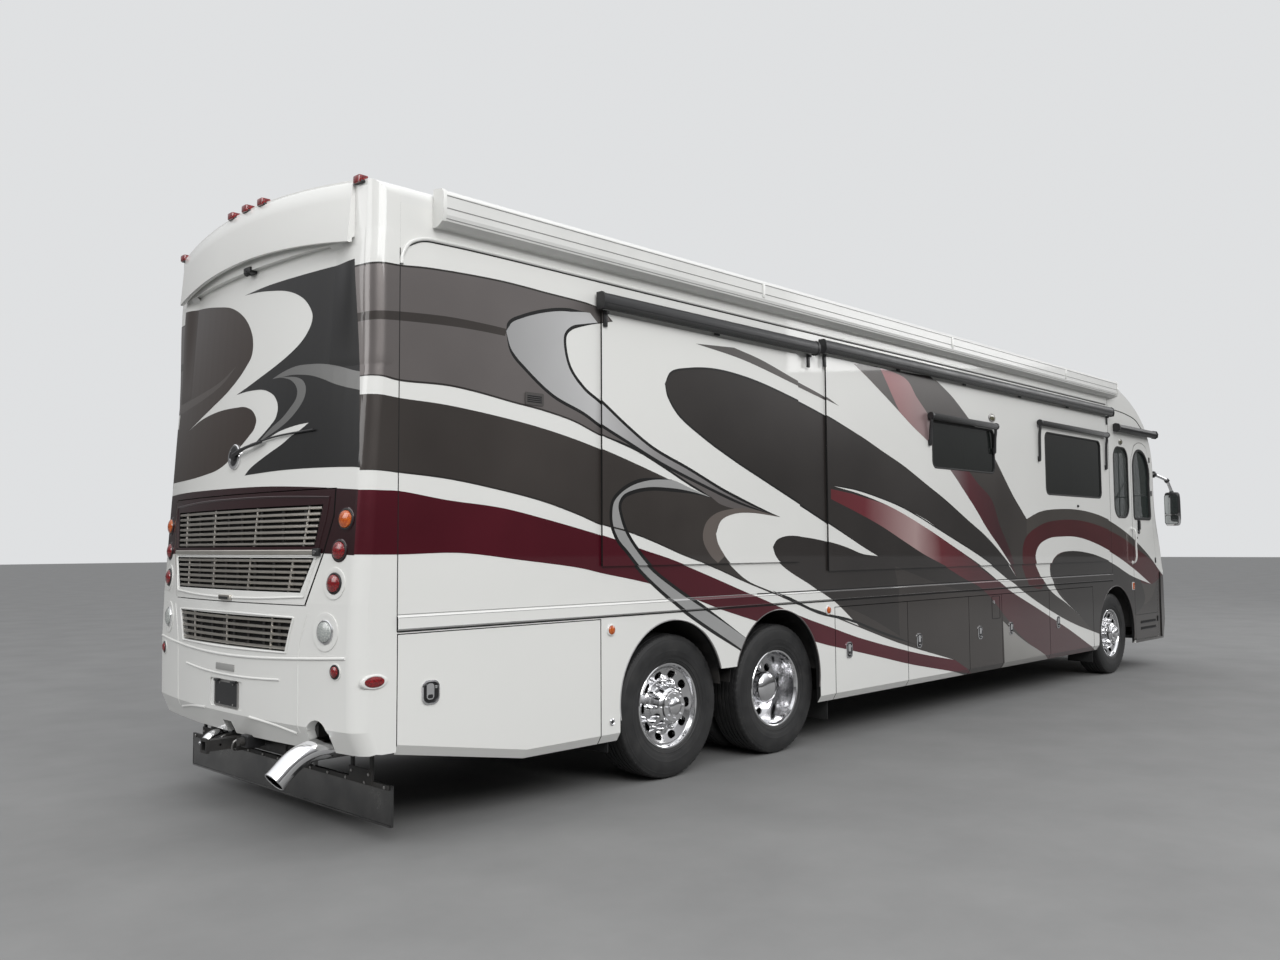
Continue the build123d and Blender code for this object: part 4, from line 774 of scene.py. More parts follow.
PINSTRIPES = [
    ("pin_h1", 0.022, [(-1.542, 2.936), (-1.511, 2.996), (-1.408, 3.049), (-1.246, 3.105), (-1.086, 3.140), (-0.885, 3.155)]),
    ("pin_h2", 0.022, [(-1.542, 2.936), (-1.503, 2.818), (-1.376, 2.709), (-1.163, 2.575), (-0.896, 2.483), (-0.752, 2.416), (-0.520, 2.326), (-0.175, 2.195), (0.248, 2.065), (0.707, 1.938), (1.181, 1.848)]),
    ("pin_j", 0.022, [(-0.685, 3.119), (-0.894, 3.068), (-1.000, 3.033), (-1.052, 2.986), (-1.061, 2.927), (-1.018, 2.777), (-0.895, 2.653), (-0.752, 2.575), (-0.519, 2.434), (-0.265, 2.301), (0.108, 2.174), (0.508, 2.030), (0.939, 1.906), (1.181, 1.848)]),
    ("pin_k", 0.016, [(-0.139, 2.760), (-0.075, 2.845), (0.117, 2.896), (0.419, 2.924), (0.847, 2.896), (1.417, 2.796), (1.867, 2.696), (2.383, 2.564)]),
    ("pin_k2", 0.016, [(-0.139, 2.760), (-0.108, 2.678), (-0.005, 2.560), (0.264, 2.415), (0.618, 2.266), (0.944, 2.145), (1.397, 1.979), (1.899, 1.793), (2.350, 1.616)]),
    ("pin_c1", 0.026, [(-0.073, 2.088), (-0.267, 2.087), (-0.435, 2.059), (-0.579, 1.993), (-0.654, 1.924), (-0.673, 1.851), (-0.664, 1.759), (-0.609, 1.660), (-0.525, 1.586), (-0.391, 1.464), (-0.214, 1.337), (0.063, 1.166), (0.333, 1.024), (0.699, 0.846), (0.927, 0.724)]),
    ("pin_c2", 0.026, [(0.359, 1.974), (0.149, 2.003), (-0.084, 2.017), (-0.298, 2.016), (-0.455, 1.991), (-0.551, 1.954), (-0.589, 1.899), (-0.570, 1.813), (-0.524, 1.720), (-0.438, 1.619), (-0.273, 1.475), (-0.050, 1.345), (0.139, 1.248), (0.447, 1.097), (0.760, 0.931)]),
    ("pin_e", 0.022, [(1.103, 1.272), (1.430, 1.165), (1.734, 1.071), (2.174, 0.991), (2.646, 0.861), (3.278, 0.704)]),
    ("pin_b", 0.016, [(-0.753, 2.357), (-0.433, 2.277), (-0.175, 2.181), (0.106, 2.066), (0.359, 1.974)]),
    ("pin_u", 0.012, [(1.924, 2.119), (2.226, 2.105), (2.624, 2.048), (3.063, 1.960), (3.834, 1.730), (4.694, 1.455), (5.253, 1.227)]),
]

REAR_PAINT = [
    ("r_black", "rear_black", [
        [(0.078, 3.218), (-0.203, 3.229), (-0.584, 3.231), (-0.889, 3.232), (-1.064, 3.231), (-1.117, 3.233)],
        [(-1.117, 3.233), (-1.320, 3.236)],
        [(-1.320, 3.236), (-1.320, 2.056)],
        [(-1.320, 2.056), (-1.231, 2.058)],
        [(-1.231, 2.058), (-1.181, 2.064), (-0.828, 2.075), (-0.516, 2.076), (-0.114, 2.066)],
        [(-0.114, 2.066), (0.330, 2.165), (0.924, 2.419)],
        [(0.924, 2.419), (0.084, 2.583), (0.078, 3.218)],
    ]),
    ("r_white1", "white", [
        [(0.078, 3.218), (-0.098, 3.208), (-0.260, 3.189), (-0.435, 3.159), (-0.554, 3.120), (-0.648, 3.067), (-0.707, 3.006), (-0.727, 2.965), (-0.718, 2.915), (-0.674, 2.856), (-0.616, 2.812), (-0.513, 2.760), (-0.380, 2.710), (-0.188, 2.652), (-0.030, 2.609), (0.084, 2.583)],
        [(0.084, 2.583), (-0.033, 2.588), (-0.145, 2.587), (-0.251, 2.579), (-0.330, 2.558), (-0.395, 2.525), (-0.432, 2.482), (-0.442, 2.443), (-0.426, 2.392), (-0.384, 2.357), (-0.317, 2.316), (-0.224, 2.264)],
        [(-0.224, 2.264), (-0.347, 2.275), (-0.484, 2.310), (-0.656, 2.333), (-0.767, 2.339)],
        [(-0.767, 2.339), (-0.700, 2.307), (-0.600, 2.270), (-0.517, 2.231), (-0.385, 2.185), (-0.268, 2.143), (-0.171, 2.103), (-0.114, 2.066)],
        [(-0.114, 2.066), (0.300, 2.025), (1.279, 2.042)],
        [(1.279, 2.042), (2.230, 2.469), (1.718, 2.914), (1.110, 3.388), (0.078, 3.218)],
    ]),
    ("r_lobe1", "rear_brown", [
        [(1.504, 3.248), (1.383, 3.259), (1.211, 3.282), (0.855, 3.263), (0.489, 3.211), (0.260, 3.164), (0.085, 3.086), (-0.020, 3.001), (-0.078, 2.910), (-0.080, 2.814), (-0.007, 2.741), (0.101, 2.672), (0.249, 2.605), (0.416, 2.552), (0.643, 2.489), (0.924, 2.419)],
        [(0.924, 2.419), (0.639, 2.474), (0.332, 2.501), (0.069, 2.500), (-0.050, 2.492), (-0.153, 2.455), (-0.202, 2.398), (-0.184, 2.346), (-0.124, 2.304), (-0.048, 2.260)],
        [(-0.048, 2.260), (0.032, 2.215), (0.159, 2.155), (0.286, 2.121), (0.427, 2.105), (0.716, 2.088), (1.154, 2.082), (1.607, 2.082), (1.913, 2.089)],
        [(1.913, 2.089), (2.010, 2.787), (1.830, 3.099), (1.504, 3.248)],
    ]),
    ("r_streak", "rear_streak", [
        [(0.119, 2.771), (0.338, 2.699), (0.687, 2.654), (1.166, 2.634), (1.928, 2.675)],
        [(1.928, 2.675), (1.838, 2.545)],
        [(1.838, 2.545), (1.141, 2.567), (0.631, 2.611), (0.299, 2.681), (0.119, 2.771)],
    ]),
    ("r_grey", "rear_grey", [
        [(-0.355, 2.634), (-0.480, 2.666), (-0.611, 2.684), (-0.736, 2.680), (-0.856, 2.669), (-0.990, 2.643), (-1.127, 2.604), (-1.179, 2.592)],
        [(-1.179, 2.592), (-1.320, 2.560)],
        [(-1.320, 2.560), (-1.320, 2.455)],
        [(-1.320, 2.455), (-1.190, 2.487)],
        [(-1.190, 2.487), (-1.137, 2.500), (-1.057, 2.519), (-0.964, 2.546), (-0.866, 2.581), (-0.765, 2.610), (-0.660, 2.627), (-0.552, 2.636), (-0.473, 2.634), (-0.355, 2.634)],
    ]),
    ("r_hook", "rear_grey", [
        [(-0.438, 2.634), (-0.530, 2.628), (-0.620, 2.615), (-0.682, 2.589), (-0.711, 2.552), (-0.715, 2.520), (-0.703, 2.483), (-0.663, 2.436), (-0.585, 2.379), (-0.481, 2.330), (-0.369, 2.293), (-0.250, 2.259)],
        [(-0.250, 2.259), (-0.387, 2.337), (-0.496, 2.386), (-0.577, 2.444), (-0.625, 2.490), (-0.632, 2.534), (-0.608, 2.572), (-0.556, 2.606), (-0.497, 2.623), (-0.438, 2.634)],
    ]),
    ("r_maroon", "rear_maroon", [
        [(1.775, 1.962), (1.597, 1.973), (1.272, 1.990), (0.929, 1.998), (0.204, 1.995), (-0.400, 1.987), (-0.864, 1.965), (-1.159, 1.944), (-1.214, 1.940)],
        [(-1.214, 1.940), (-1.320, 1.940)],
        [(-1.320, 1.940), (-1.320, 1.583)],
        [(-1.320, 1.583), (-1.249, 1.583)],
        [(-1.249, 1.583), (-1.006, 1.593), (-0.600, 1.609), (0.128, 1.614), (0.976, 1.592), (1.527, 1.560)],
        [(1.527, 1.560), (1.775, 1.962)],
    ]),
]


def closed_outline(strokes, n=8):
    pts = []
    for s in strokes:
        for p in smooth_line(s, n):
            if not pts or np.linalg.norm(np.array(pts[-1]) - p) > 1e-5:
                pts.append(np.array(p))
    if np.linalg.norm(pts[0] - pts[-1]) < 1e-5:
        pts.pop()
    return np.array(pts)


def strip_outline(pts, w):
    c = np.array(smooth_line(pts, 8))
    t = np.gradient(c, axis=0)
    t /= np.maximum(np.linalg.norm(t, axis=1, keepdims=True), 1e-9)
    n = np.stack([-t[:, 1], t[:, 0]], 1)
    s = np.linspace(0, 1, len(c))
    k = np.clip(np.minimum(s, 1 - s) * 8, 0.12, 1.0)[:, None]
    return np.concatenate([c + n * w / 2 * k, (c - n * w / 2 * k)[::-1]])


def inside(poly, pts):
    x, y = pts[:, 0], pts[:, 1]
    x1, y1 = poly[:, 0], poly[:, 1]
    x2, y2 = np.roll(x1, -1), np.roll(y1, -1)
    res = np.zeros(len(pts), bool)
    for a, b, c, d in zip(x1, y1, x2, y2):
        if b == d:
            continue
        hit = ((b > y) != (d > y)) & (x < (c - a) * (y - b) / (d - b) + a)
        res ^= hit
    return res


# edge of the rear corner, (|y|, height): upright to the first point, then leaning in
CORNER = ((1.222, 2.058), (1.117, 3.233))
LEANING = ("rear_cap", "corner_fairing_right", "corner_fairing_left")
SPLIT_Y = {"rear_cap": CORNER[0][0], "corner_fairing_right": CORNER[0][0], "corner_fairing_left": CORNER[0][0], "rear_bumper": 1.200, "engine_hatch": 1.200, "front_cap": 1.130, "entry_door": 1.130}


def outer_tris(node, side):
    """Triangles of a CAD node that face the side ('R', 'L'), the rear ('B') or the front ('F'), and their flat map."""
    bm = bmesh.new()
    bm.from_mesh(NODES[node].data)
    cut = SPLIT_Y.get(node)
    if cut:
        cuts = [((0, s * cut, 0), (0, 1, 0)) for s in (-1, 1)]
        if node in LEANING:
            cuts += [((0, s * CORNER[0][0], CORNER[0][1]), (0, CORNER[1][1] - CORNER[0][1], -s * (CORNER[1][0] - CORNER[0][0]))) for s in (-1, 1)]
            cuts.append(((0, 0, CORNER[0][1]), (0, 0, 1)))
        for co_, no_ in cuts:
            bmesh.ops.bisect_plane(bm, geom=list(bm.verts) + list(bm.edges) + list(bm.faces), plane_co=co_, plane_no=no_, dist=1e-7)
    bmesh.ops.triangulate(bm, faces=bm.faces)
    bm.verts.index_update()
    co = np.array([v.co for v in bm.verts], float).reshape(-1, 3)
    t = np.array([[v.index for v in f.verts] for f in bm.faces], int)
    bm.free()
    a, b, c = co[t[:, 0]], co[t[:, 1]], co[t[:, 2]]
    n = np.cross(b - a, c - a)
    ln = np.linalg.norm(n, axis=1)
    ok = ln > 1e-12
    t, n = t[ok], n[ok] / ln[ok][:, None]
    mid = co[t].mean(axis=1)
    lim = cut
    if node in LEANING:
        f = np.maximum(mid[:, 2] - CORNER[0][1], 0) / (CORNER[1][1] - CORNER[0][1])
        lim = CORNER[0][0] + (CORNER[1][0] - CORNER[0][0]) * f
    if side in "RL":
        sg = -1.0 if side == "R" else 1.0
        keep = (n[:, 1] * sg > (0.01 if node in LEANING else 0.08)) & (mid[:, 1] * sg > (lim if cut else 1.235))
        uv, dep = co[:, [0, 2]].copy(), co[:, 1] * sg
        uv[:, 0] -= TAG
    else:
        sg = -1.0 if side == "B" else 1.0
        keep = (n[:, 0] * sg > 0.08) & (np.abs(mid[:, 1]) < (lim if cut else 9.0))
        if side == "B":
            keep &= mid[:, 0] < sx(-2.40)
        else:
            keep &= mid[:, 0] > sx(9.3)
        uv, dep = co[:, [1, 2]].copy(), co[:, 0] * sg
    return co, t[keep], n[keep], uv, dep


def paint_panel(node, side, shapes, body, name, proud=0.0010, keep_box=None):
    """Cuts the colour shapes along one panel's own surface and lays them on it as thin closed films."""
    co, t, nrm, uv, dep = outer_tris(node, side)
    if len(t) == 0:
        return None
    p0, p1, p2 = uv[t[:, 0]], uv[t[:, 1]], uv[t[:, 2]]
    area = 0.5 * ((p1[:, 0] - p0[:, 0]) * (p2[:, 1] - p0[:, 1]) - (p2[:, 0] - p0[:, 0]) * (p1[:, 1] - p0[:, 1]))
    ok = np.abs(area) > 1e-9
    t, nrm, p0, p1, p2, area = t[ok], nrm[ok], p0[ok], p1[ok], p2[ok], area[ok]
    if len(t) == 0:
        return None
    lo, hi = uv[t].reshape(-1, 2).min(0), uv[t].reshape(-1, 2).max(0)
    verts, index, edges = [], {}, set()

    def vid(p):
        k = (round(float(p[0]), 5), round(float(p[1]), 5))
        if k not in index:
            index[k] = len(verts)
            verts.append(Vector(k))
        return index[k]

    for tri in t:
        ids = [vid(uv[i]) for i in tri]
        for i in range(3):
            a, b = ids[i], ids[(i + 1) % 3]
            if a != b:
                edges.add((min(a, b), max(a, b)))
    used = []
    for col, poly in shapes:
        if (poly.max(0) < lo).any() or (poly.min(0) > hi).any():
            continue
        used.append((col, poly))
        n = len(poly)
        for i in range(n):
            a, b = poly[i], poly[(i + 1) % n]
            if (np.maximum(a, b) < lo - 0.05).any() or (np.minimum(a, b) > hi + 0.05).any():
                continue
            ia, ib = vid(a), vid(b)
            if ia != ib:
                edges.add((min(ia, ib), max(ia, ib)))
    if not used:
        return None
    out = delaunay_2d_cdt(verts, list(edges), [], 0, 1e-6, False)
    ov = np.array([tuple(v) for v in out[0]], float)
    of = np.array([tuple(f) for f in out[2] if len(f) == 3], int)
    cen = ov[of].mean(axis=1)
    tri_area = 0.5 * np.abs((ov[of[:, 1]] - ov[of[:, 0]])[:, 0] * (ov[of[:, 2]] - ov[of[:, 0]])[:, 1] - (ov[of[:, 2]] - ov[of[:, 0]])[:, 0] * (ov[of[:, 1]] - ov[of[:, 0]])[:, 1])
    keep = ((cen > lo) & (cen < hi)).all(axis=1) & (tri_area > 1e-9)
    of, cen = of[keep], cen[keep]
    col = np.full(len(of), -1)
    for k, (c, poly) in enumerate(used):
        col[inside(poly, cen)] = k
    paint_it = np.array([k >= 0 and used[k][0] != "white" for k in col])
    of, cen, col = of[paint_it], cen[paint_it], col[paint_it]
    # which of the panel's triangles lies under each piece, the outermost where there are several
    owner = np.full(len(of), -1)
    best = np.full(len(of), -1e9)
    d = area * 2.0
    for k in range(len(t)):
        a, b, c = p0[k], p1[k], p2[k]
        bx = (cen[:, 0] >= min(a[0], b[0], c[0])) & (cen[:, 0] <= max(a[0], b[0], c[0])) & (cen[:, 1] >= min(a[1], b[1], c[1])) & (cen[:, 1] <= max(a[1], b[1], c[1]))
        idx = np.nonzero(bx)[0]
        if len(idx) == 0:
            continue
        q = cen[idx]
        w1 = ((b[0] - q[:, 0]) * (c[1] - q[:, 1]) - (c[0] - q[:, 0]) * (b[1] - q[:, 1])) / d[k]
        w2 = ((c[0] - q[:, 0]) * (a[1] - q[:, 1]) - (a[0] - q[:, 0]) * (c[1] - q[:, 1])) / d[k]
        w3 = 1 - w1 - w2
        m = (w1 > -1e-6) & (w2 > -1e-6) & (w3 > -1e-6)
        idx = idx[m]
        z = w1[m] * dep[t[k][0]] + w2[m] * dep[t[k][1]] + w3[m] * dep[t[k][2]]
        better = z > best[idx]
        owner[idx[better]] = k
        best[idx[better]] = z[better]
    good = owner >= 0
    of, col, owner = of[good], col[good], owner[good]
    if len(of) == 0:
        return None
    sg = {"R": -1.0, "L": 1.0, "B": -1.0, "F": 1.0}[side]
    pos, key, nor, faces, fmat = [], {}, [], [], []
    names = []
    for tri, k, o in zip(of, col, owner):
        a, n = co[t[o][0]], nrm[o]
        ids = []
        for i in tri:
            u, v = ov[i]
            if side in "RL":
                x, z = u + TAG, v
                y = a[1] - (n[0] * (x - a[0]) + n[2] * (z - a[2])) / n[1]
            else:
                y, z = u, v
                x = a[0] - (n[1] * (y - a[1]) + n[2] * (z - a[2])) / n[0]
            kk = (int(i), round(y * 2000), round(x * 2000))
            if kk not in key:
                key[kk] = len(pos)
                pos.append((x, y, z))
                nor.append(np.zeros(3))
            ids.append(key[kk])
            nor[key[kk]] = nor[key[kk]] + n
        if len(set(ids)) < 3:
            continue
        q = [np.array(pos[i]) for i in ids]
        if np.dot(np.cross(q[1] - q[0], q[2] - q[0]), n) < 0:
            ids = ids[::-1]
        c = used[k][0]
        if c not in names:
            names.append(c)
        faces.append(ids)
        fmat.append(names.index(c))
    P = np.array(pos)
    N = np.array(nor)
    N /= np.maximum(np.linalg.norm(N, axis=1, keepdims=True), 1e-9)
    top, bot = P + N * proud, P - N * 0.0004
    m = len(P)
    count = {}
    for f, fm in zip(faces, fmat):
        for i in range(3):
            e = (f[i], f[(i + 1) % 3])
            count[e] = fm
    allf = [tuple(f) for f in faces] + [tuple(i + m for i in f[::-1]) for f in faces]
    allm = list(fmat) + list(fmat)
    for (a, b), fm in count.items():
        if (b, a) not in count:
            allf.append((b, a, a + m, b + m))
            allm.append(fm)
    o = add_mesh(name, np.concatenate([top, bot]), allf, names, body, allm)
    sharp_smooth(o, 30.0)
    return o


EDGES = [(n, k) for n, k in (("upper_grey", 0), ("white_b", 0), ("white_b", 2), ("white_e", 0))]
edge_lines = [s[k] for n, k in EDGES for name, c, s in SIDE_PAINT if name == n]
side_shapes = [(c, closed_outline(s)) for _, c, s in SIDE_PAINT] + [("lobe", strip_outline(p, 0.011)) for p in edge_lines] + [("pin", strip_outline(p, w)) for _, w, p in PINSTRIPES]
rear_shapes = [(c, closed_outline(s)) for _, c, s in REAR_PAINT]
BODY_OF = {n: b for b, ns in frame["record"]["behaviour"]["bodies"].items() for n in ns}
for node in sorted(NODES):
    for side, word in (("R", "right"), ("L", "left")):
        if node in ("side_wall_" + word, "skirt_" + word, "slide_room_%s_front" % word, "slide_room_%s_rear" % word, "front_cap", "rear_cap", "rear_bumper") or node.startswith("bay_door_" + word) or (node == "entry_door" and side == "R"):
            paint_panel(node, side, side_shapes, BODY_OF[node], "paint_%s_%s" % (node, side))
for node in ("rear_cap", "engine_hatch"):
    paint_panel(node, "B", rear_shapes, BODY_OF[node], "paint_%s_B" % node)


def painted_gap_shade(node, axis):
    """The rim faces of a door or panel get the near-black material: painted shade, so that its gaps read as gaps."""
    o = NODES[node]
    o.data.materials.append(MATS["seam"])
    k = len(o.data.materials) - 1
    for p in o.data.polygons:
        if abs(p.normal[axis]) < 0.08 and (not node.startswith("slide_room") or abs(p.center.y) > 1.27):
            p.material_index = k


# rims of doors, walls, skirts and slide rooms: painted shade in their gaps
for node in NODES:
    if node.startswith("bay_door") or node in ("entry_door", "side_wall_right", "side_wall_left", "skirt_left", "skirt_right") or node.startswith("slide_room"):
        painted_gap_shade(node, 1)
painted_gap_shade("engine_hatch", 0)
FRONT_PAINT = [
    ("charcoal", [[(-1.40, 1.255), (-0.8, 1.20), (0.0, 1.18), (0.8, 1.20), (1.40, 1.255)], [(1.40, 1.255), (1.40, 0.2)], [(1.40, 0.2), (-1.40, 0.2)], [(-1.40, 0.2), (-1.40, 1.255)]]),
    ("maroon_s", [[(-1.40, 1.16), (-0.8, 1.135), (0.0, 1.12), (0.8, 1.135), (1.40, 1.16)], [(1.40, 1.16), (1.40, 1.10)], [(1.40, 1.10), (0.8, 1.085), (0.0, 1.075), (-0.8, 1.085), (-1.40, 1.10)], [(-1.40, 1.10), (-1.40, 1.16)]]),
]
front_shapes = [(c, closed_outline(s)) for c, s in FRONT_PAINT]
paint_panel("front_cap", "F", front_shapes, "root", "paint_front_cap_F")


# ------------------------------------------------------------------ tyres
def tyre_mesh(bag, x, y, drive, seed):
    """A ribbed tyre: grooves all round, sipes on the outer ribs, rings on the walls. x, y: its middle."""
    n = 180
    half = [(0.000, 0.5030), (0.0100, 0.5030), (0.0115, 0.4925), (0.0215, 0.4925), (0.0230, 0.5028), (0.0500, 0.5024), (0.0515, 0.4925), (0.0610, 0.4925),
            (0.0625, 0.5018), (0.0900, 0.5008), (0.0912, 0.4950), (0.0975, 0.4950), (0.0987, 0.5002), (0.1150, 0.4985), (0.1235, 0.4950), (0.1290, 0.4890),
            (0.1330, 0.4800), (0.1368, 0.4700), (0.1395, 0.4655), (0.1392, 0.4625), (0.1418, 0.4560), (0.1440, 0.4440), (0.1452, 0.4300), (0.1458, 0.4150),
            (0.1456, 0.4000), (0.1448, 0.3860), (0.1450, 0.3838), (0.1442, 0.3815), (0.1425, 0.3660), (0.1402, 0.3520), (0.1390, 0.3480), (0.1375, 0.3476), (0.1350, 0.3380),
            (0.1330, 0.3280), (0.1330, 0.3235), (0.1290, 0.3200), (0.1275, 0.3120), (0.1245, 0.3060), (0.1195, 0.3015)]
    prof = [(-d, r) for d, r in half[::-1][:-1]] + half
    prof += [(0.112, 0.306), (0.118, 0.33), (0.126, 0.38), (0.126, 0.43), (0.112, 0.465), (0.06, 0.476), (0.0, 0.478), (-0.06, 0.476), (-0.112, 0.465), (-0.126, 0.43), (-0.126, 0.38), (-0.118, 0.33), (-0.112, 0.306)]
    vs, fs = [], []
    m = len(prof)
    for k in range(n):
        a = 2 * math.pi * k / n
        for d, r in prof:
            rr, dd = r, d
            ad = abs(d)
            if r > 0.4935 and 0.0985 <= ad <= 0.1240 and k % 3 == 0:
                rr -= 0.0045
            if drive and r > 0.4975 and ad < 0.0905 and (k + int(ad * 60)) % 6 == 0:
                rr -= 0.0035
            vs.append((x + rr * math.sin(a), y + dd, AXLE_Z + rr * math.cos(a)))
    for k in range(n):
        k2 = (k + 1) % n
        for i in range(m):
            j = (i + 1) % m
            fs.append((k * m + i, k * m + j, k2 * m + j, k2 * m + i))
    bag.add(vs, fs)
    # fine radial marks near the rim and a moulded ring of plain bars on the outer wall
    sgn = 1.0 if y > 0 else -1.0
    for k in range(60):
        a = 2 * math.pi * (k + 0.5) / 60
        u = Vector((math.sin(a), 0, math.cos(a)))
        c = Vector((x, y + sgn * 0.1292, AXLE_Z)) + u * 0.4868
        bag.box(c, (0.004, 0.006, 0.013), 0.001, rot=Matrix.Rotation(a, 3, "Y"), segs=1)


for word, sgn in (("right", -1.0), ("left", 1.0)):
    for axle, x in (("tag", 0.0), ("front", FRONT_AXLE)):
        b = Bag()
        tyre_mesh(b, sx(x), sgn * WHEEL_Y, False, 1)
        o = b.build("tyre_look_%s_%s" % (axle, word), "tyre_rubber", BODY_OF["tyre_%s_%s" % (axle, word)], "tyre", 30)
        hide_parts("tyre_%s_%s" % (axle, word))
    b = Bag()
    tyre_mesh(b, sx(DRIVE_AXLE), sgn * WHEEL_Y, True, 2)
    tyre_mesh(b, sx(DRIVE_AXLE), sgn * DUAL_Y, True, 3)
    o = b.build("tyre_look_drive_" + word, "tyre_rubber", BODY_OF["tyres_drive_" + word], "tyre", 30)
    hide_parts("tyres_drive_" + word)


# ------------------------------------------------------------------ wheel trim: nuts, hub covers, lips, valves
def nut(bag, c, ax, r=0.0165, h=0.055):
    bag.lathe(c, ax, [(-0.01, r * 1.28), (0.006, r * 1.28), (0.008, r * 1.05), (0.010, r), (h * 0.72, r * 0.96), (h * 0.90, r * 0.80), (h, r * 0.42), (h * 1.02, 0.0)], 14)


def wheel_trim(axle, word, sgn):
    """Chrome nut covers, hub cover, rim lip and valve on one wheel."""
    x = sx({"tag": 0.0, "drive": DRIVE_AXLE, "front": FRONT_AXLE}[axle])
    ax = Vector((0, sgn, 0))
    c = Vector((x, 0, AXLE_Z))
    b = Bag()
    lip = WHEEL_Y + 0.1200
    b.ring(c, ax, [(lip - 0.012, 0.2850), (lip - 0.012, 0.2990), (lip, 0.3005), (lip + 0.0045, 0.2965), (lip + 0.0040, 0.2890), (lip + 0.0005, 0.2835), (lip - 0.004, 0.2815)], 120)
    deep = axle == "drive"
    face = WHEEL_Y - 0.118 if deep else WHEEL_Y + 0.060
    for k in range(10):
        a = 2 * math.pi * (k + 0.5) / 10
        u = Vector((math.sin(a), 0, math.cos(a)))
        nut(b, c + u * 0.1640 + ax * face, ax, 0.0165, 0.062 if not deep else 0.050)
    if deep:
        h = WHEEL_Y
        b.lathe(c, ax, [(h - 0.121, 0.1435), (h - 0.1165, 0.1435), (h - 0.1120, 0.1370), (h + 0.0300, 0.1240), (h + 0.0480, 0.1205), (h + 0.0620, 0.1080),
                        (h + 0.0735, 0.0860), (h + 0.0805, 0.0560), (h + 0.0835, 0.0250), (h + 0.0840, 0.0)], 64)
    else:
        h = WHEEL_Y
        # ring under the nuts, stepped hub and centre cap with its own small bolts
        b.ring(c, ax, [(h + 0.0585, 0.1480), (h + 0.0640, 0.1470), (h + 0.0660, 0.1500), (h + 0.0660, 0.1780), (h + 0.0630, 0.1800), (h + 0.0585, 0.1800)], 96)
        b.lathe(c, ax, [(h + 0.0700, 0.1450), (h + 0.0850, 0.1420), (h + 0.1300, 0.1330), (h + 0.1490, 0.1300), (h + 0.1560, 0.1240), (h + 0.1640, 0.1120),
                        (h + 0.1760, 0.1080), (h + 0.1790, 0.1030), (h + 0.1795, 0.0620), (h + 0.1900, 0.0590), (h + 0.2000, 0.0480), (h + 0.2055, 0.0260), (h + 0.2070, 0.0)], 64)
        for k in range(8):
            a = 2 * math.pi * k / 8
            u = Vector((math.sin(a), 0, math.cos(a)))
            b.lathe(c + u * 0.0830 + ax * (h + 0.1780), ax, [(0.0, 0.0105), (0.009, 0.0100), (0.012, 0.0070), (0.0125, 0.0)], 6)
            b.lathe(c + u * 0.1180 + ax * (h + 0.1560), ax, [(0.0, 0.0075), (0.008, 0.0072), (0.010, 0.0045), (0.0104, 0.0)], 8)
    o = b.build("wheel_trim_%s_%s" % (axle, word), "chrome", BODY_OF["wheel_%s_%s" % (axle, word)], "wheel_alloy", 30)
    v = Bag()
    a = 0.31
    u = Vector((math.sin(a), 0, math.cos(a)))
    y0 = (face + 0.02) if deep else WHEEL_Y + 0.085
    v.tube([c + u * 0.262 + ax * y0, c + u * 0.255 + ax * (y0 + 0.02), c + u * 0.238 + ax * (y0 + 0.036), c + u * 0.222 + ax * (y0 + 0.044)], [0.0042, 0.0042, 0.004, 0.0052], 10)
    v.build("valve_%s_%s" % (axle, word), "steel", BODY_OF["wheel_%s_%s" % (axle, word)], "wheel_alloy")


for word, sgn in (("right", -1.0), ("left", 1.0)):
    for axle in ("tag", "drive", "front"):
        wheel_trim(axle, word, sgn)


# ------------------------------------------------------------------ places on the body's surface
from mathutils.bvhtree import BVHTree

_trees = {}


def tree_of(nodes):
    key = tuple(nodes)
    if key not in _trees:
        vs, fs = [], []
        for n in nodes:
            me = NODES[n].data
            k = len(vs)
            vs += [v.co.copy() for v in me.vertices]
            fs += [tuple(i + k for i in p.vertices) for p in me.polygons]
        _trees[key] = BVHTree.FromPolygons(vs, fs)
    return _trees[key]


REAR = ["rear_cap", "engine_hatch", "rear_bumper"]


def rear_x(y, z):
    """Station of the rear face of the moulding, in the frame, holes or not."""
    rows = [(0.512, -2.500, -2.600), (0.640, -2.555, -2.660), (1.035, -2.560, -2.668), (1.320, -2.552, -2.669), (3.350, -2.425, -2.535), (3.351, -2.462, -2.572), (3.800, -2.462, -2.572)]
    zs = [r[0] for r in rows]
    xb = np.interp(z, zs, [r[1] for r in rows])
    xc = np.interp(z, zs, [r[2] for r in rows])
    return float(xc + (xb - xc) * (y / 1.2) ** 2 + TAG)


def rear_frame(y, z, off=0.0):
    """Point on the rear face and its outward normal."""
    x = rear_x(y, z)
    e = 0.01
    zz = min(max(z, 0.53), 3.30)
    ty = Vector((rear_x(y + e, zz) - rear_x(y - e, zz), 2 * e, 0)).normalized()
    tz = Vector((rear_x(y, zz + e) - rear_x(y, zz - e), 0, 2 * e)).normalized()
    n = ty.cross(tz)
    if n.x > 0:
        n = -n
    n.normalize()
    return Vector((x, y, z)) + n * off, n


def side_frame(x, z, sgn, nodes, off=0.0):
    """Point on the side of a node at station x and its outward normal."""
    hit = tree_of(nodes).ray_cast(Vector((sx(x), sgn * 3.0, z)), Vector((0, -sgn, 0)))
    if hit[0] is None or abs(hit[0].y) < 1.0:
        return Vector((sx(x), sgn * (HALF_W + off), z)), Vector((0, sgn, 0))
    n = hit[1] if hit[1].y * sgn > 0 else -hit[1]
    return hit[0] + n * off, n


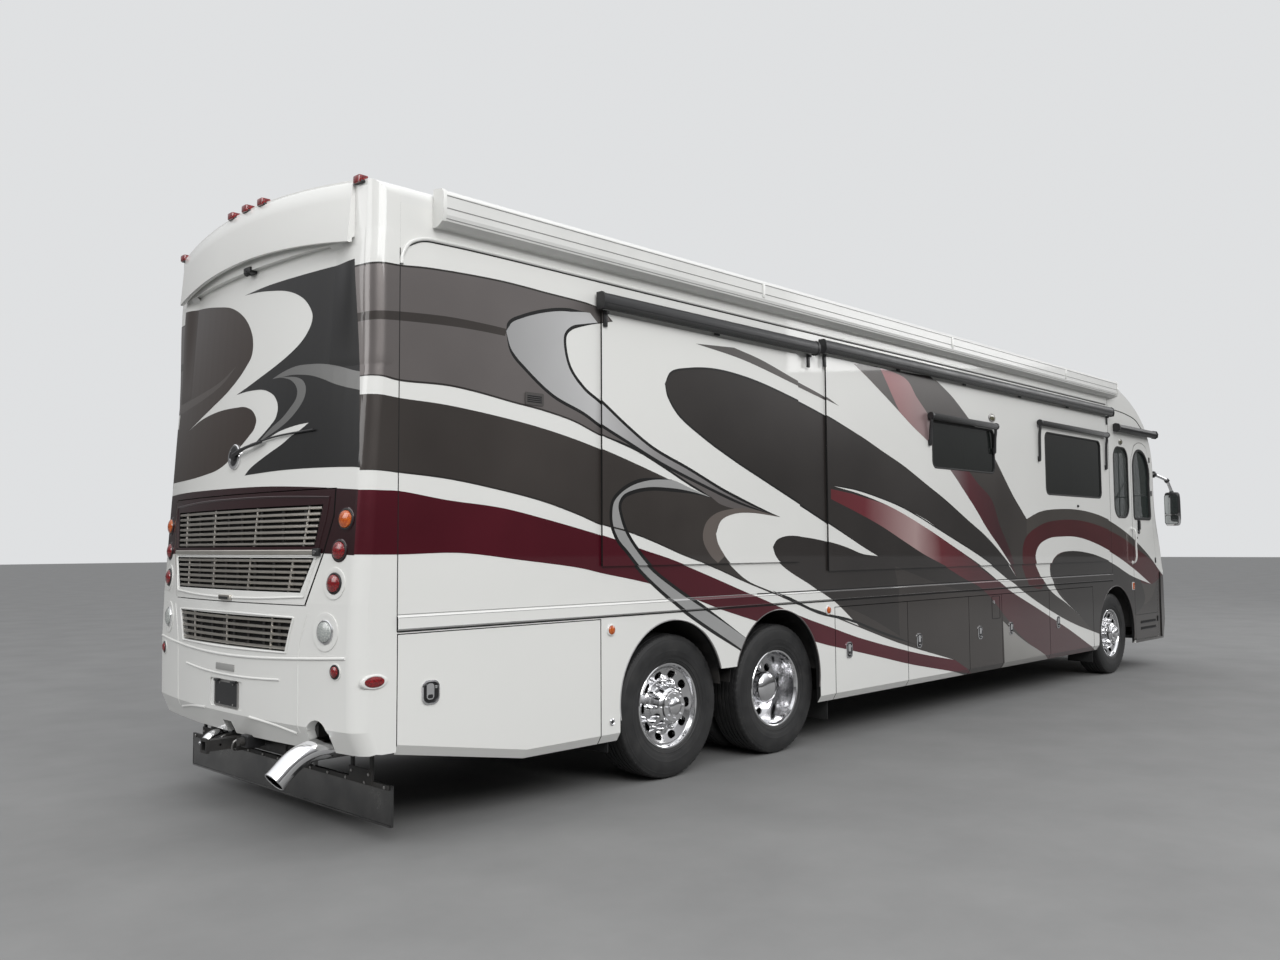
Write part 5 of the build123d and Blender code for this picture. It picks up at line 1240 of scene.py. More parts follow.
def lamp(bag, p, n, r, lens_m, ring_m, depth=0.016, dish=None, dish_m=0, oval=1.0):
    """A round lamp: bezel ring and domed lens, in a shallow dish if asked."""
    up = Vector((0, 0, 1))
    if dish:
        bag.ring(p, n, [(-0.004, dish), (0.0035, dish), (0.0045, dish - 0.006), (0.001, r + 0.012), (-0.004, r + 0.010)], 56, dish_m, scale=(1.0, oval))
    bag.ring(p, n, [(-0.004, r + 0.009), (0.005, r + 0.009), (0.0085, r + 0.005), (0.0085, r), (0.003, r - 0.003), (-0.004, r - 0.003)], 56, ring_m, scale=(1.0, oval))
    bag.lathe(p, n, [(-0.003, r - 0.001), (0.006, r - 0.001), (0.0075 + depth * 0.35, r * 0.93), (0.0075 + depth * 0.75, r * 0.66), (0.0075 + depth, r * 0.3), (0.0075 + depth * 1.02, 0.0)], 48, lens_m, scale=(1.0, oval))


# ------------------------------------------------------------------ rear lamps, visor, seams
def rear_lamps():
    b = Bag()
    for s in (-1, 1):
        for y, z, r, m, dish in ((1.146, 1.780, 0.050, 1, 0.066), (1.110, 1.610, 0.050, 0, 0.064), (1.085, 1.431, 0.050, 0, 0.088), (1.030, 1.167, 0.058, 2, 0.106)):
            p, n = rear_frame(s * y, z)
            lamp(b, p, n, r, m, 3 if m == 2 else 4, 0.018, dish, 5 if z < 1.5 else 6)
        p, n = rear_frame(s * 1.117, 0.957)
        lamp(b, p, n, 0.031, 0, 4, 0.012, 0.046, 5)
    b.build("rear_lamps", ["lens_red", "lens_amber", "lens_clear", "chrome", "black_plastic", "white", "rear_maroon"], "root", "body_paint")
    b = Bag()
    for s in (-1, 1):
        p, n = side_frame(-2.437, 0.905, s, ["rear_bumper"])
        lamp(b, p, n, 0.030, 0, 1, 0.010, 0.040, 1, oval=2.1)
    b.build("side_rear_reflectors", ["lens_red", "white"], "root", "body_paint")
    # marker lamps along the top edge
    b = Bag()
    for y, z in ((-1.150, 3.672), (1.150, 3.672), (-0.20, 3.7405), (0.0, 3.7435), (0.20, 3.7405)):
        x = rear_x(y, 3.6) + 0.012
        b.box((x - 0.012, y, z + 0.004), (0.060, 0.066, 0.044), 0.008, 0)
        b.box((x + 0.004, y, z - 0.012), (0.070, 0.078, 0.014), 0.004, 1)
    b.build("rear_marker_lamps", ["lens_red", "black_plastic"], "root", "body_paint")


rear_lamps()


def rear_visor():
    """The deep moulded brow over the rear wall, with an arched lower edge."""
    b = Bag()
    ys = np.linspace(-1.108, 1.108, 41)

    def top(y):
        return 3.672 + 0.070 * (1 - (y / 1.19) ** 2) - 0.012

    def low(y):
        return 3.312 + 0.086 * (1 - (y / 1.19) ** 2)

    out = []
    for y in ys:
        x = rear_x(y, 3.6)
        xi = rear_x(y, 3.3)
        t, l = top(y), low(y)
        out.append([(x + 0.030, y, t + 0.006), (x - 0.004, y, t + 0.002), (x - 0.016, y, t - 0.010), (x - 0.026, y, t - 0.10), (x - 0.046, y, l + 0.012), (x - 0.046, y, l + 0.003), (x - 0.040, y, l), (x - 0.020, y, l + 0.004), (x - 0.016, y, l + 0.030), (x + 0.030, y, l + 0.060)])
    vs, fs = [], []
    m = len(out[0])
    for row in out:
        vs += row
    for i in range(len(out) - 1):
        for j in range(m - 1):
            fs.append((i * m + j, i * m + j + 1, (i + 1) * m + j + 1, (i + 1) * m + j))
        fs.append((i * m + m - 1, i * m, (i + 1) * m, (i + 1) * m + m - 1))
    fs.append(tuple(range(m)))
    fs.append(tuple((len(out) - 1) * m + j for j in range(m - 1, -1, -1)))
    b.add(vs, fs)
    b.build("rear_visor", "white", "root", "body_paint", 40)
    c = Bag()
    p, n = rear_frame(-0.02, 3.350, 0.0)
    c.box((p.x - 0.022, -0.02, 3.352), (0.060, 0.085, 0.040), 0.008)
    c.lathe((p.x - 0.045, -0.02, 3.335), (-0.8, 0, -0.6), [(-0.02, 0.018), (0.012, 0.018), (0.016, 0.014), (0.017, 0.0)], 24)
    c.box((p.x - 0.020, -0.02, 3.385), (0.03, 0.12, 0.03), 0.005)
    c.build("rear_camera", "black_plastic", "root", "body_paint")


rear_visor()


def corner_arc(p0, p1, p2, n):
    """Points of the circle through three points of the plan, from the first to the last."""
    (ax, ay), (bx, by), (cx, cy) = p0, p1, p2
    d = 2 * (ax * (by - cy) + bx * (cy - ay) + cx * (ay - by))
    ux = ((ax * ax + ay * ay) * (by - cy) + (bx * bx + by * by) * (cy - ay) + (cx * cx + cy * cy) * (ay - by)) / d
    uy = ((ax * ax + ay * ay) * (cx - bx) + (bx * bx + by * by) * (ax - cx) + (cx * cx + cy * cy) * (bx - ax)) / d
    r = math.hypot(ax - ux, ay - uy)
    a0, a2 = math.atan2(ay - uy, ax - ux), math.atan2(cy - uy, cx - ux)
    while a2 - a0 > math.pi:
        a2 -= 2 * math.pi
    while a2 - a0 < -math.pi:
        a2 += 2 * math.pi
    return [(ux + r * math.cos(a), uy + r * math.sin(a)) for a in np.linspace(a0, a2, n)]


def corner_fairings():
    """The rounded corners of the moulding, brought out evenly to the brow above."""
    hi = ((1.320, 3.350), (-2.440, -2.330), (-2.552, -2.425), (-2.669, -2.535))
    z0, z1, zt = 2.58, 3.350, 3.440
    zs = list(np.linspace(z0, z1, 30)) + [3.380, 3.410, zt]

    def ease(t):
        t = min(max(t, 0.0), 1.0)
        return t * t * (3 - 2 * t)

    for s, word, side in ((-1, "right", "R"), (1, "left", "L")):
        grid = []
        for z in zs:
            zz = min(z, z1)
            f = ease((zz - z0) / (z1 - z0))
            xa, xb, xc = [float(np.interp(zz, hi[0], r)) for r in hi[1:]]
            back = 0.037 * f
            pts = []
            for y in list(np.linspace(0.880, 1.108, 13)) + list(np.linspace(1.130, 1.185, 4)):
                g = ease((y - 0.900) / 0.208) if z < z1 - 1e-6 else 1.0
                pts.append((xc + (xb - xc) * (y / 1.2) ** 2 - back * g, y))
            xe, xs = xb - back, xa - 0.030 * f
            pts += corner_arc((xe, 1.2), (xs + 0.72 * (xe - xs), HALF_W - 0.30 * (HALF_W - 1.2)), (xs, HALF_W), 18)
            pts += [(-2.345, HALF_W), (-2.327, HALF_W), (-2.308, HALF_W)]
            q = np.array(pts)
            t = np.gradient(q, axis=0)
            t /= np.linalg.norm(t, axis=1, keepdims=True)
            n = np.stack([-t[:, 1], t[:, 0]], 1)
            m = np.full(len(q), 1.0)
            m[:4] = (0.0, 0.35, 0.75, 0.95)
            m[-3:] = (0.9, 0.5, 0.0)
            m *= ease((z - z0) / 0.10) * ease((zt - z) / 0.07)
            off = -0.0022 + 0.0034 * m
            q = q + n * off[:, None]
            row = [(sx(float(x)), s * float(y), z) for x, y in q]
            grid.append(row[::-1] if s > 0 else row)
        b = Bag()
        b.sheet(grid, 0.004)
        node = "corner_fairing_" + word
        NODES[node] = b.build(node, "white", "root", "body_paint", 40)
        paint_panel(node, side, side_shapes, "root", "paint_%s_%s" % (node, side))
        paint_panel(node, "B", rear_shapes, "root", "paint_%s_B" % node)
        del NODES[node]


corner_fairings()


def bead_on_rear(bag, pts, r=0.005, off=0.0, mat=0, n=10):
    q = smooth_line(pts, 12)
    line = []
    for y, z in q:
        p, nn = rear_frame(float(y), float(z), off)
        line.append(p)
    bag.tube(line, r, n, mat)


def rear_grille(name, z1, z0, w1, w0, bars, body, posts, inset=0.006):
    """Horizontal bars in front of a black screen, in an opening with slanted ends."""
    b = Bag()
    nz = bars
    for k in range(nz):
        z = z1 - (k + 0.5) * (z1 - z0) / nz
        w = w0 + (w1 - w0) * (z - z0) / (z1 - z0) - 0.010
        prev = None
        line = []
        for y in np.linspace(-w, w, 25):
            p, n = rear_frame(float(y), z, -inset)
            line.append(p)
        hh = 0.0085
        vs, fs = [], []
        for p in line:
            n = rear_frame(p.y, z)[1]
            for du, dn in ((-hh, 0.002), (-hh * 0.5, 0.007), (hh * 0.6, 0.006), (hh, 0.0), (hh * 0.5, -0.012), (-hh * 0.8, -0.012)):
                vs.append(p + Vector((0, 0, du)) + n * dn)
        for i in range(len(line) - 1):
            for j in range(6):
                a, c = i * 6 + j, i * 6 + (j + 1) % 6
                fs.append((a, c, c + 6, a + 6))
        fs.append(tuple(range(5, -1, -1)))
        fs.append(tuple((len(line) - 1) * 6 + j for j in range(6)))
        b.add(vs, fs, 0)
    for f in posts:
        w = (w0 + w1) / 2
        y = f * w
        pts = [rear_frame(y * (1 + 0.04 * (z - (z0 + z1) / 2) / (z1 - z0)), z, -inset - 0.012)[0] for z in np.linspace(z0 + 0.004, z1 - 0.004, 6)]
        b.tube(pts, 0.008, 10, 0)
    # screen behind, with a rim
    grid = []
    for z in np.linspace(z0 + 0.001, z1 - 0.001, 7):
        w = w0 + (w1 - w0) * (z - z0) / (z1 - z0) - 0.001
        grid.append([tuple(rear_frame(float(y), float(z), -0.0325)[0]) for y in np.linspace(-w, w, 25)])
    b.sheet(grid, 0.002, 1)
    for s in (-1, 1):
        for f in (0.10, 0.36, 0.62, 0.86):
            p, n = rear_frame(s * f * w0, (z0 + z1) / 2, -0.026)
            b.box(p, (0.008, 0.030, (z1 - z0) * 0.94), 0.002, 2)
    o = b.build(name, ["grille_bar", "seam", "chassis_black"], body, "body_paint")
    return o


rear_grille("rear_grille_upper", 1.866, 1.632, 0.950, 0.900, 7, "engine_hatch", (-0.86, -0.30, 0.30, 0.86))
rear_grille("rear_grille_lower", 1.570, 1.375, 0.900, 0.800, 6, "engine_hatch", (-0.80, -0.28, 0.28, 0.80))
rear_grille("rear_grille_bumper", 1.230, 1.042, 0.746, 0.676, 5, "root", (-0.72, 0.02, 0.72))


def rear_trim():
    b = Bag()
    # grey bar across the hatch, with its end block
    line = [rear_frame(float(y), 1.6010, 0.004)[0] for y in np.linspace(-0.925, 0.93, 31)]
    vs, fs = [], []
    for p in line:
        n = rear_frame(p.y, 1.6)[1]
        for dz, dn in ((-0.013, -0.004), (-0.012, 0.006), (-0.006, 0.010), (0.007, 0.010), (0.013, 0.005), (0.014, -0.004)):
            vs.append(p + Vector((0, 0, dz)) + n * dn)
    for i in range(len(line) - 1):
        for j in range(6):
            a, c = i * 6 + j, i * 6 + (j + 1) % 6
            fs.append((a, c, c + 6, a + 6))
    fs.append(tuple(range(5, -1, -1)))
    fs.append(tuple((len(line) - 1) * 6 + j for j in range(6)))
    b.add(vs, fs, 0)
    p, n = rear_frame(-0.930, 1.600, 0.010)
    b.box(p, (0.024, 0.060, 0.044), 0.006, 1)
    b.lathe(p, n, [(0.008, 0.012), (0.018, 0.011), (0.019, 0.0)], 20, 2)
    # latch under the hatch
    p, n = rear_frame(0.0, 1.330, 0.006)
    b.box(p, (0.022, 0.150, 0.030), 0.006, 0)
    b.box(p + n * 0.012 + Vector((0, 0, -0.004)), (0.010, 0.110, 0.016), 0.004, 1)
    b.build("hatch_trim", ["grille_bar", "black_plastic", "chrome"], "engine_hatch", "body_paint")
    # moulded outline round the upper grille and beads
    c = Bag()
    loop = [(-1.000, 1.905), (-0.5, 1.922), (0.0, 1.926), (0.5, 1.922), (1.000, 1.905)]
    bead_on_rear(c, loop, 0.006)
    for s in (-1, 1):
        bead_on_rear(c, [(s * 1.000, 1.905), (s * 0.985, 1.80), (s * 0.955, 1.70), (s * 0.935, 1.625)], 0.006)
    c.build("hatch_beads_dark", "rear_maroon", "engine_hatch", "body_paint")
    c = Bag()
    for s in (-1, 1):
        bead_on_rear(c, [(s * 0.925, 1.580), (s * 0.875, 1.45), (s * 0.835, 1.352)], 0.007)
    bead_on_rear(c, [(-0.835, 1.352), (-0.4, 1.335), (0.0, 1.330), (0.4, 1.335), (0.835, 1.352)], 0.007)
    bead_on_rear(c, [(-0.905, 1.583), (-0.4, 1.583), (0.0, 1.583), (0.4, 1.583), (0.905, 1.583)], 0.005)
    c.build("hatch_beads_white", "white", "engine_hatch", "body_paint")
    c = Bag()
    bead_on_rear(c, [(-1.195, 1.032), (-0.85, 1.012), (-0.4, 0.992), (0.0, 0.985), (0.4, 0.992), (0.85, 1.012), (1.195, 1.032)], 0.009, -0.002)
    bead_on_rear(c, [(-0.62, 0.880), (-0.3, 0.868), (0.0, 0.866), (0.3, 0.872), (0.62, 0.890)], 0.008, -0.002)
    for s in (-1, 1):
        bead_on_rear(c, [(s * 0.752, 1.236), (s * 0.715, 1.14), (s * 0.682, 1.036)], 0.008)
        bead_on_rear(c, [(s * 0.88, 1.262), (s * 0.835, 1.16), (s * 0.800, 1.04), (s * 0.795, 0.80), (s * 0.790, 0.60)], 0.004, -0.001)
        bead_on_rear(c, [(s * 0.30, 0.640), (s * 0.55, 0.622), (s * 0.76, 0.592)], 0.010, -0.003)
    bead_on_rear(c, [(-0.752, 1.236), (0.0, 1.243), (0.752, 1.236)], 0.006)
    bead_on_rear(c, [(-0.682, 1.036), (0.0, 1.030), (0.682, 1.036)], 0.006)
    c.build("bumper_beads", "white", "root", "body_paint")
    # blank plate in its recess, and a blank label above it
    d = Bag()
    px = sx(-2.652)
    d.prism(round_rect(0.305, 0.152, 0.012), (px - 0.001, 0, 0.750), (0, -1, 0), (0, 0, 1), (-1, 0, 0), 0.004, 1)
    for sy in (-1, 1):
        for sz in (-1, 1):
            d.lathe((px - 0.0045, sy * 0.0889, 0.75 + sz * 0.0603), (-1, 0, 0), [(0, 0.006), (0.0035, 0.0055), (0.004, 0.0)], 12, 2)
    fr_o, fr_i = round_rect(0.314, 0.160, 0.014), round_rect(0.290, 0.136, 0.010)
    k = len(fr_o)
    vs = []
    for row, dx in ((fr_o, 0.0010), (fr_o, 0.0075), (fr_i, 0.0075), (fr_i, 0.0010)):
        vs += [Vector((px - dx, -a, 0.75 + bb)) for a, bb in row]
    fs = []
    for q in range(3):
        for i in range(k):
            j = (i + 1) % k
            fs.append((q * k + i, q * k + j, (q + 1) * k + j, (q + 1) * k + i))
    for i in range(k):
        j = (i + 1) % k
        fs.append((3 * k + i, 3 * k + j, j, i))
    d.add(vs, fs, 2)
    # two small lamps above the plate
    for sy in (-1, 1):
        d.box((px - 0.010, sy * 0.110, 0.826), (0.030, 0.050, 0.016), 0.004, 1)
    p, n = rear_frame(0.0, 0.912, 0.001)
    d.box(p, (0.012, 0.235, 0.040), 0.004, 3)
    d.build("rear_plate", ["white", "black_plastic", "steel", "label"], "root", "body_paint")
    # chrome ring with a plain dark disc, and the wiper beside it
    e = Bag()
    y0, z0 = REAR_BOSS
    p, n = rear_frame(y0, z0, 0.0)
    e.ring(p, n, [(-0.003, 0.078), (0.010, 0.078), (0.014, 0.072), (0.013, 0.060), (0.004, 0.058), (-0.003, 0.058)], 56, 0)
    e.lathe(p, n, [(-0.003, 0.060), (0.008, 0.060), (0.010, 0.054), (0.008, 0.030), (0.016, 0.026), (0.021, 0.016), (0.022, 0.0)], 48, 1)
    arm = [rear_frame(y0 - 0.02, z0 + 0.01, 0.022)[0], rear_frame(y0 - 0.16, z0 + 0.035, 0.034)[0], rear_frame(y0 - 0.36, z0 + 0.066, 0.028)[0]]
    e.tube(smooth_line(arm, 6), [0.013] * 6 + [0.010] * 7, 8, 1)
    blade = [rear_frame(y0 - 0.22, z0 + 0.060, 0.016)[0], rear_frame(y0 - 0.50, z0 + 0.090, 0.014)[0], rear_frame(y0 - 0.86, z0 + 0.104, 0.014)[0]]
    e.tube(smooth_line(blade, 8), 0.006, 8, 1)
    e.build("rear_boss_and_wiper", ["chrome", "black_plastic"], "root", "body_paint")


REAR_BOSS = (0.030, 2.188)
rear_trim()


# ------------------------------------------------------------------ details of the two long sides
BAYS = {"right": [("2", 2.151), ("3", 3.316), ("4", 4.524), ("5", 5.223), ("6", 6.418)], "left": [("2", 2.151), ("3", 3.316), ("4", 5.223)]}


def latch(bag, c, sgn, w, h, lean=0.0):
    """A paddle latch: chrome bezel, dark dish, chrome paddle with its lock."""
    c = Vector(c)
    du, dv, dn = Vector((1, 0, 0)), Vector((0, 0, 1)), Vector((0, sgn, 0))
    out, inn = round_rect(w, h, w * 0.36), round_rect(w - 0.018, h - 0.018, w * 0.30)
    k = len(out)
    vs = []
    for row, d in ((out, 0.000), (out, 0.0055), (inn, 0.0080), (inn, 0.0015)):
        vs += [c + du * a + dv * b + dn * d for a, b in row]
    fs = []
    for q in range(3):
        for i in range(k):
            j = (i + 1) % k
            fs.append((q * k + i, q * k + j, (q + 1) * k + j, (q + 1) * k + i))
    fs.append(tuple(3 * k + i for i in range(k)))
    fs.append(tuple(range(k - 1, -1, -1)))
    bag.add(vs, fs[:-2], 0)
    bag.prism(inn, c + dn * 0.0004, du, dv, dn, 0.0012, 1)
    bag.prism(round_rect(w * 0.42, h * 0.66, w * 0.16), c + du * (-0.06 * w) + dv * (0.04 * h) + dn * 0.0012, du, dv, dn, 0.0100, 0)
    bag.prism(round_rect(w * 0.26, h * 0.16, w * 0.06), c + du * (-0.06 * w) + dv * (-0.16 * h) + dn * 0.0100, du, dv, dn, 0.0040, 1)
    bag.lathe(c + du * (0.30 * w) + dv * (0.20 * h), dn, [(0.001, 0.0085), (0.0060, 0.0085), (0.0070, 0.0060), (0.0070, 0.0)], 20, 0)


for word, sgn in (("right", -1), ("left", 1)):
    for tag, x in BAYS[word]:
        node = "bay_door_%s_%s" % (word, tag)
        b = Bag()
        latch(b, (sx(x), sgn * (HALF_W + 0.0008), 0.742), sgn, 0.094, 0.135)
        b.build("latch_%s_%s" % (word, tag), ["chrome", "black_plastic"], BODY_OF[node], "chrome")
    node = "bay_door_%s_1" % word
    b = Bag()
    latch(b, (sx(-2.075), sgn * (HALF_W + 0.0008), 0.815), sgn, 0.120, 0.135)
    b.build("latch_%s_1" % word, ["chrome", "black_plastic"], BODY_OF[node], "chrome")
    # fuel door with its round lock
    node = "bay_door_right_4" if word == "right" else "bay_door_left_3"
    b = Bag()
    y = sgn * (HALF_W + 0.0010)
    x0, x1, z0, z1 = 4.800, 4.975, 0.863, 1.092
    xm, zm = (x0 + x1) / 2, (z0 + z1) / 2
    fr = round_rect(x1 - x0, z1 - z0, 0.012)
    b.tube([Vector((sx(xm) + a, y, zm + c)) for a, c in fr + fr[:1]], 0.0028, 8, 0)
    b.lathe((sx(x0 + 0.045), y, z1 - 0.062), (0, sgn, 0), [(0.0, 0.015), (0.004, 0.015), (0.0055, 0.012), (0.0055, 0.0)], 24, 1)
    b.build("fuel_door_" + word, ["seam", "chrome"], BODY_OF[node], "body_paint")

    # marker lamps, lock, vent
    b = Bag()
    ax = Vector((0, sgn, 0))
    for x, z in ((-0.659, 1.076), (1.849, 1.090)):
        lamp(b, Vector((sx(x), sgn * (HALF_W + 0.001), z)), ax, 0.030, 0, 1, 0.012)
    b.box((sx(8.790), sgn * (HALF_W + 0.004), 1.077), (0.070, 0.010, 0.100), 0.004, 1)
    b.box((sx(8.790), sgn * (HALF_W + 0.010), 1.077), (0.056, 0.010, 0.086), 0.004, 0)
    b.build("side_markers_" + word, ["lens_amber", "white", "black_plastic"], "root", "body_paint")
    b = Bag()
    b.lathe((sx(-0.653), sgn * (HALF_W + 0.0005), 0.478), (0, sgn, 0), [(0.0, 0.024), (0.005, 0.023), (0.008, 0.018), (0.005, 0.015), (0.005, 0.0)], 32, 0)
    b.lathe((sx(-0.653), sgn * (HALF_W + 0.0055), 0.478), (0, sgn, 0), [(0.0, 0.010), (0.003, 0.009), (0.004, 0.0)], 20, 1)
    vx, vz = -1.319, 2.540
    out, inn = round_rect(0.150, 0.078, 0.008), round_rect(0.122, 0.052, 0.005)
    b.prism(out, (sx(vx), sgn * (HALF_W + 0.0008), vz), (1, 0, 0), (0, 0, 1), (0, sgn, 0), 0.006, 2)
    for i in range(4):
        b.box((sx(vx), sgn * (HALF_W + 0.0085), vz - 0.018 + 0.012 * i), (0.116, 0.006, 0.005), 0.001, 1, rot=Matrix.Rotation(sgn * 0.5, 3, "X"), segs=1)
    b.build("side_fittings_" + word, ["chrome", "black_plastic", "grey"], "root", "body_paint")

    # belt moulding: near-black painted shade lines along its top and bottom edges, the top line pale grey over the rear
    # part as a painted highlight
    b = Bag()
    b.tube([(sx(-2.2955), sgn * (HALF_W + 0.0002), 1.2565), (sx(0.900), sgn * (HALF_W + 0.0002), 1.2565)], 0.0022, 8, 2)
    b.tube([(sx(0.900), sgn * (HALF_W + 0.0006), 1.2565), (sx(8.100), sgn * (HALF_W + 0.0006), 1.2565)], 0.0042, 8, 0)
    b.tube([(sx(-2.2955), sgn * (HALF_W + 0.0006), 1.1630), (sx(8.100), sgn * (HALF_W + 0.0006), 1.1630)], 0.0042, 8, 0)
    # thin silver lines on the face of the moulding: painted highlights along its edges
    for z in (1.2395, 1.1770):
        b.tube([(sx(-2.290), sgn * (HALF_W + 0.0100), z), (sx(8.098), sgn * (HALF_W + 0.0100), z)], 0.0016, 6, 1)
    b.build("belt_painted_light_lines_" + word, ["seam", "silver_h", "label"], "root", "body_paint")

    # seams of the wall and the rear moulding
    b = Bag()
    b.tube([(sx(-2.2955), sgn * (HALF_W - 0.0004), z) for z in (1.165, 2.2, 3.30)], 0.0030, 6, 0)
    b.tube([(sx(8.100), sgn * (HALF_W - 0.0002), z) for z in (1.26, 2.2, 3.45)], 0.0022, 6, 0)
    b.build("wall_seams_" + word, "seam", "root", "body_paint")

    # gutter over the slides, with its bent rear end, and a near-black line under it as its painted shadow
    b = Bag()
    line = [(-2.289, 3.212), (-2.283, 3.262), (-2.240, 3.335), (-2.150, 3.378), (-2.000, 3.389), (0.0, 3.388), (4.0, 3.386), (8.040, 3.382)]
    pts = [Vector((sx(float(a)), sgn * (HALF_W + 0.004), float(z))) for a, z in smooth_line(line, 8)]
    b.tube(pts, 0.0115, 10, 0)
    # painted shadow line under the gutter
    pts = [Vector((sx(float(a)), sgn * (HALF_W + 0.001), float(z) - 0.0140)) for a, z in smooth_line(line[2:], 8)]
    b.tube(pts, 0.0035, 8, 1)
    b.build("gutter_" + word, ["white", "seam"], "root", "body_paint")
    b = Bag()
    line = []
    for a, z in smooth_line([(8.150, 3.332), (8.437, 3.326), (8.715, 3.310), (9.070, 3.258), (9.282, 3.160)], 6):
        p, n = side_frame(float(a), float(z), sgn, ["front_cap"], 0.0)
        line.append(p)
    b.tube(line, 0.0055, 8, 0)
    b.build("front_gutter_" + word, "seam", "root", "body_paint")

    # lips of the wheel openings
    b = Bag()
    for cx, cz, r in ((-0.042, 0.578, 0.534), (1.179, 0.577, 0.549), (8.213, 0.504, 0.594)):
        pts = []
        for k in range(73):
            a = math.pi * (-0.06 + 1.12 * k / 72)
            x, z = cx + (r - 0.001) * math.cos(a), cz + (r - 0.001) * math.sin(a)
            if z < 0.36 or (0.47 < x < 0.70 and z < 0.728):
                continue
            tuck = max(0.0, (0.400 - z) * 34.0 / 55.0)
            pts.append((sx(x), sgn * (HALF_W - 0.004 - tuck), z))
        b.tube(pts, 0.0065, 8, 0)
    b.build("arch_lips_" + word, "silver_h", "root", "body_paint")
    # wheel housings: dark inner liners behind the openings
    b = Bag()
    for cx, cz, r, yi in ((-0.042, 0.578, 0.545, 0.50), (1.192, 0.577, 0.574, 0.50), (8.213, 0.504, 0.640, 0.50)):
        grid = []
        for k in range(25):
            a = math.pi * (0.02 + 0.96 * k / 24)
            grid.append([(sx(cx + r * math.cos(a)), sgn * yy, min(cz + r * math.sin(a), 1.118)) for yy in (yi, 0.9, HALF_W - 0.046)])
        b.sheet(grid, 0.004, 0)
    b.build("wheel_housings_" + word, "chassis_black", "root", "chassis_black")
    # small flap behind the tag wheel and a longer one behind the drive wheels
    b = Bag()
    b.box((sx(-0.640), sgn * 1.080, 0.420), (0.010, 0.300, 0.300), 0.003, 0)
    b.box((sx(1.925), sgn * 0.900, 0.300), (0.010, 0.620, 0.240), 0.003, 0)
    b.box((sx(7.520), sgn * 1.080, 0.310), (0.010, 0.300, 0.220), 0.003, 0)
    b.build("wheel_flaps_" + word, "black_rubber", "root", "flap")


# ------------------------------------------------------------------ windows: frames, sliding sashes, blinds behind
def frame_loop(bag, pts2, place, wide, proud, mat=0, inner=0.004):
    """A rubber frame along a closed outline: pts2 in (a, b), place(a, b, off) gives the point."""
    n = len(pts2)
    P = [Vector((a, b)) for a, b in pts2]
    area = sum(P[i].x * P[(i + 1) % n].y - P[(i + 1) % n].x * P[i].y for i in range(n))
    s = 1.0 if area > 0 else -1.0
    rows = []
    for i in range(n):
        t = (P[(i + 1) % n] - P[i - 1]).normalized()
        o = Vector((t.y, -t.x)) * s
        rows.append([(P[i] + o * wide, -0.001), (P[i] + o * (wide - 0.004), proud), (P[i] + o * 0.004, proud), (P[i] - o * inner, proud * 0.35), (P[i] - o * inner, -0.012), (P[i] + o * wide, -0.004)])
    vs, fs = [], []
    m = len(rows[0])
    for row in rows:
        for q, d in row:
            vs.append(place(q.x, q.y, d))
    for i in range(n):
        for j in range(m):
            j2, i2 = (j + 1) % m, (i + 1) % n
            fs.append((i * m + j, i * m + j2, i2 * m + j2, i2 * m + j))
    bag.add(vs, fs, mat)


def arch_outline(grow=0.0):
    """The arched side window, as (station, height)."""
    pts = [(8.925, 2.640), (8.925, 1.995), (8.934, 1.975), (8.955, 1.965), (9.470, 1.965), (9.490, 1.972), (9.4995, 1.990), (9.480, 2.440)]
    def arc(a, m, c, k=10):
        ax, ay = a; bx, by = m; cx, cy = c
        d = 2 * (ax * (by - cy) + bx * (cy - ay) + cx * (ay - by))
        ux = ((ax**2 + ay**2) * (by - cy) + (bx**2 + by**2) * (cy - ay) + (cx**2 + cy**2) * (ay - by)) / d
        uy = ((ax**2 + ay**2) * (cx - bx) + (bx**2 + by**2) * (ax - cx) + (cx**2 + cy**2) * (bx - ax)) / d
        r = math.hypot(ax - ux, ay - uy)
        a0, a1 = math.atan2(ay - uy, ax - ux), math.atan2(cy - uy, cx - ux)
        if a1 < a0:
            a1 += 2 * math.pi
        if a1 - a0 > math.pi:
            a1 -= 2 * math.pi
        return [(ux + r * math.cos(a0 + (a1 - a0) * i / k), uy + r * math.sin(a0 + (a1 - a0) * i / k)) for i in range(1, k + 1)]
    pts += arc((9.480, 2.440), (9.345, 2.790), (9.170, 2.845))
    pts += arc((9.170, 2.845), (9.000, 2.785), (8.925, 2.640))[:-1]
    return pts


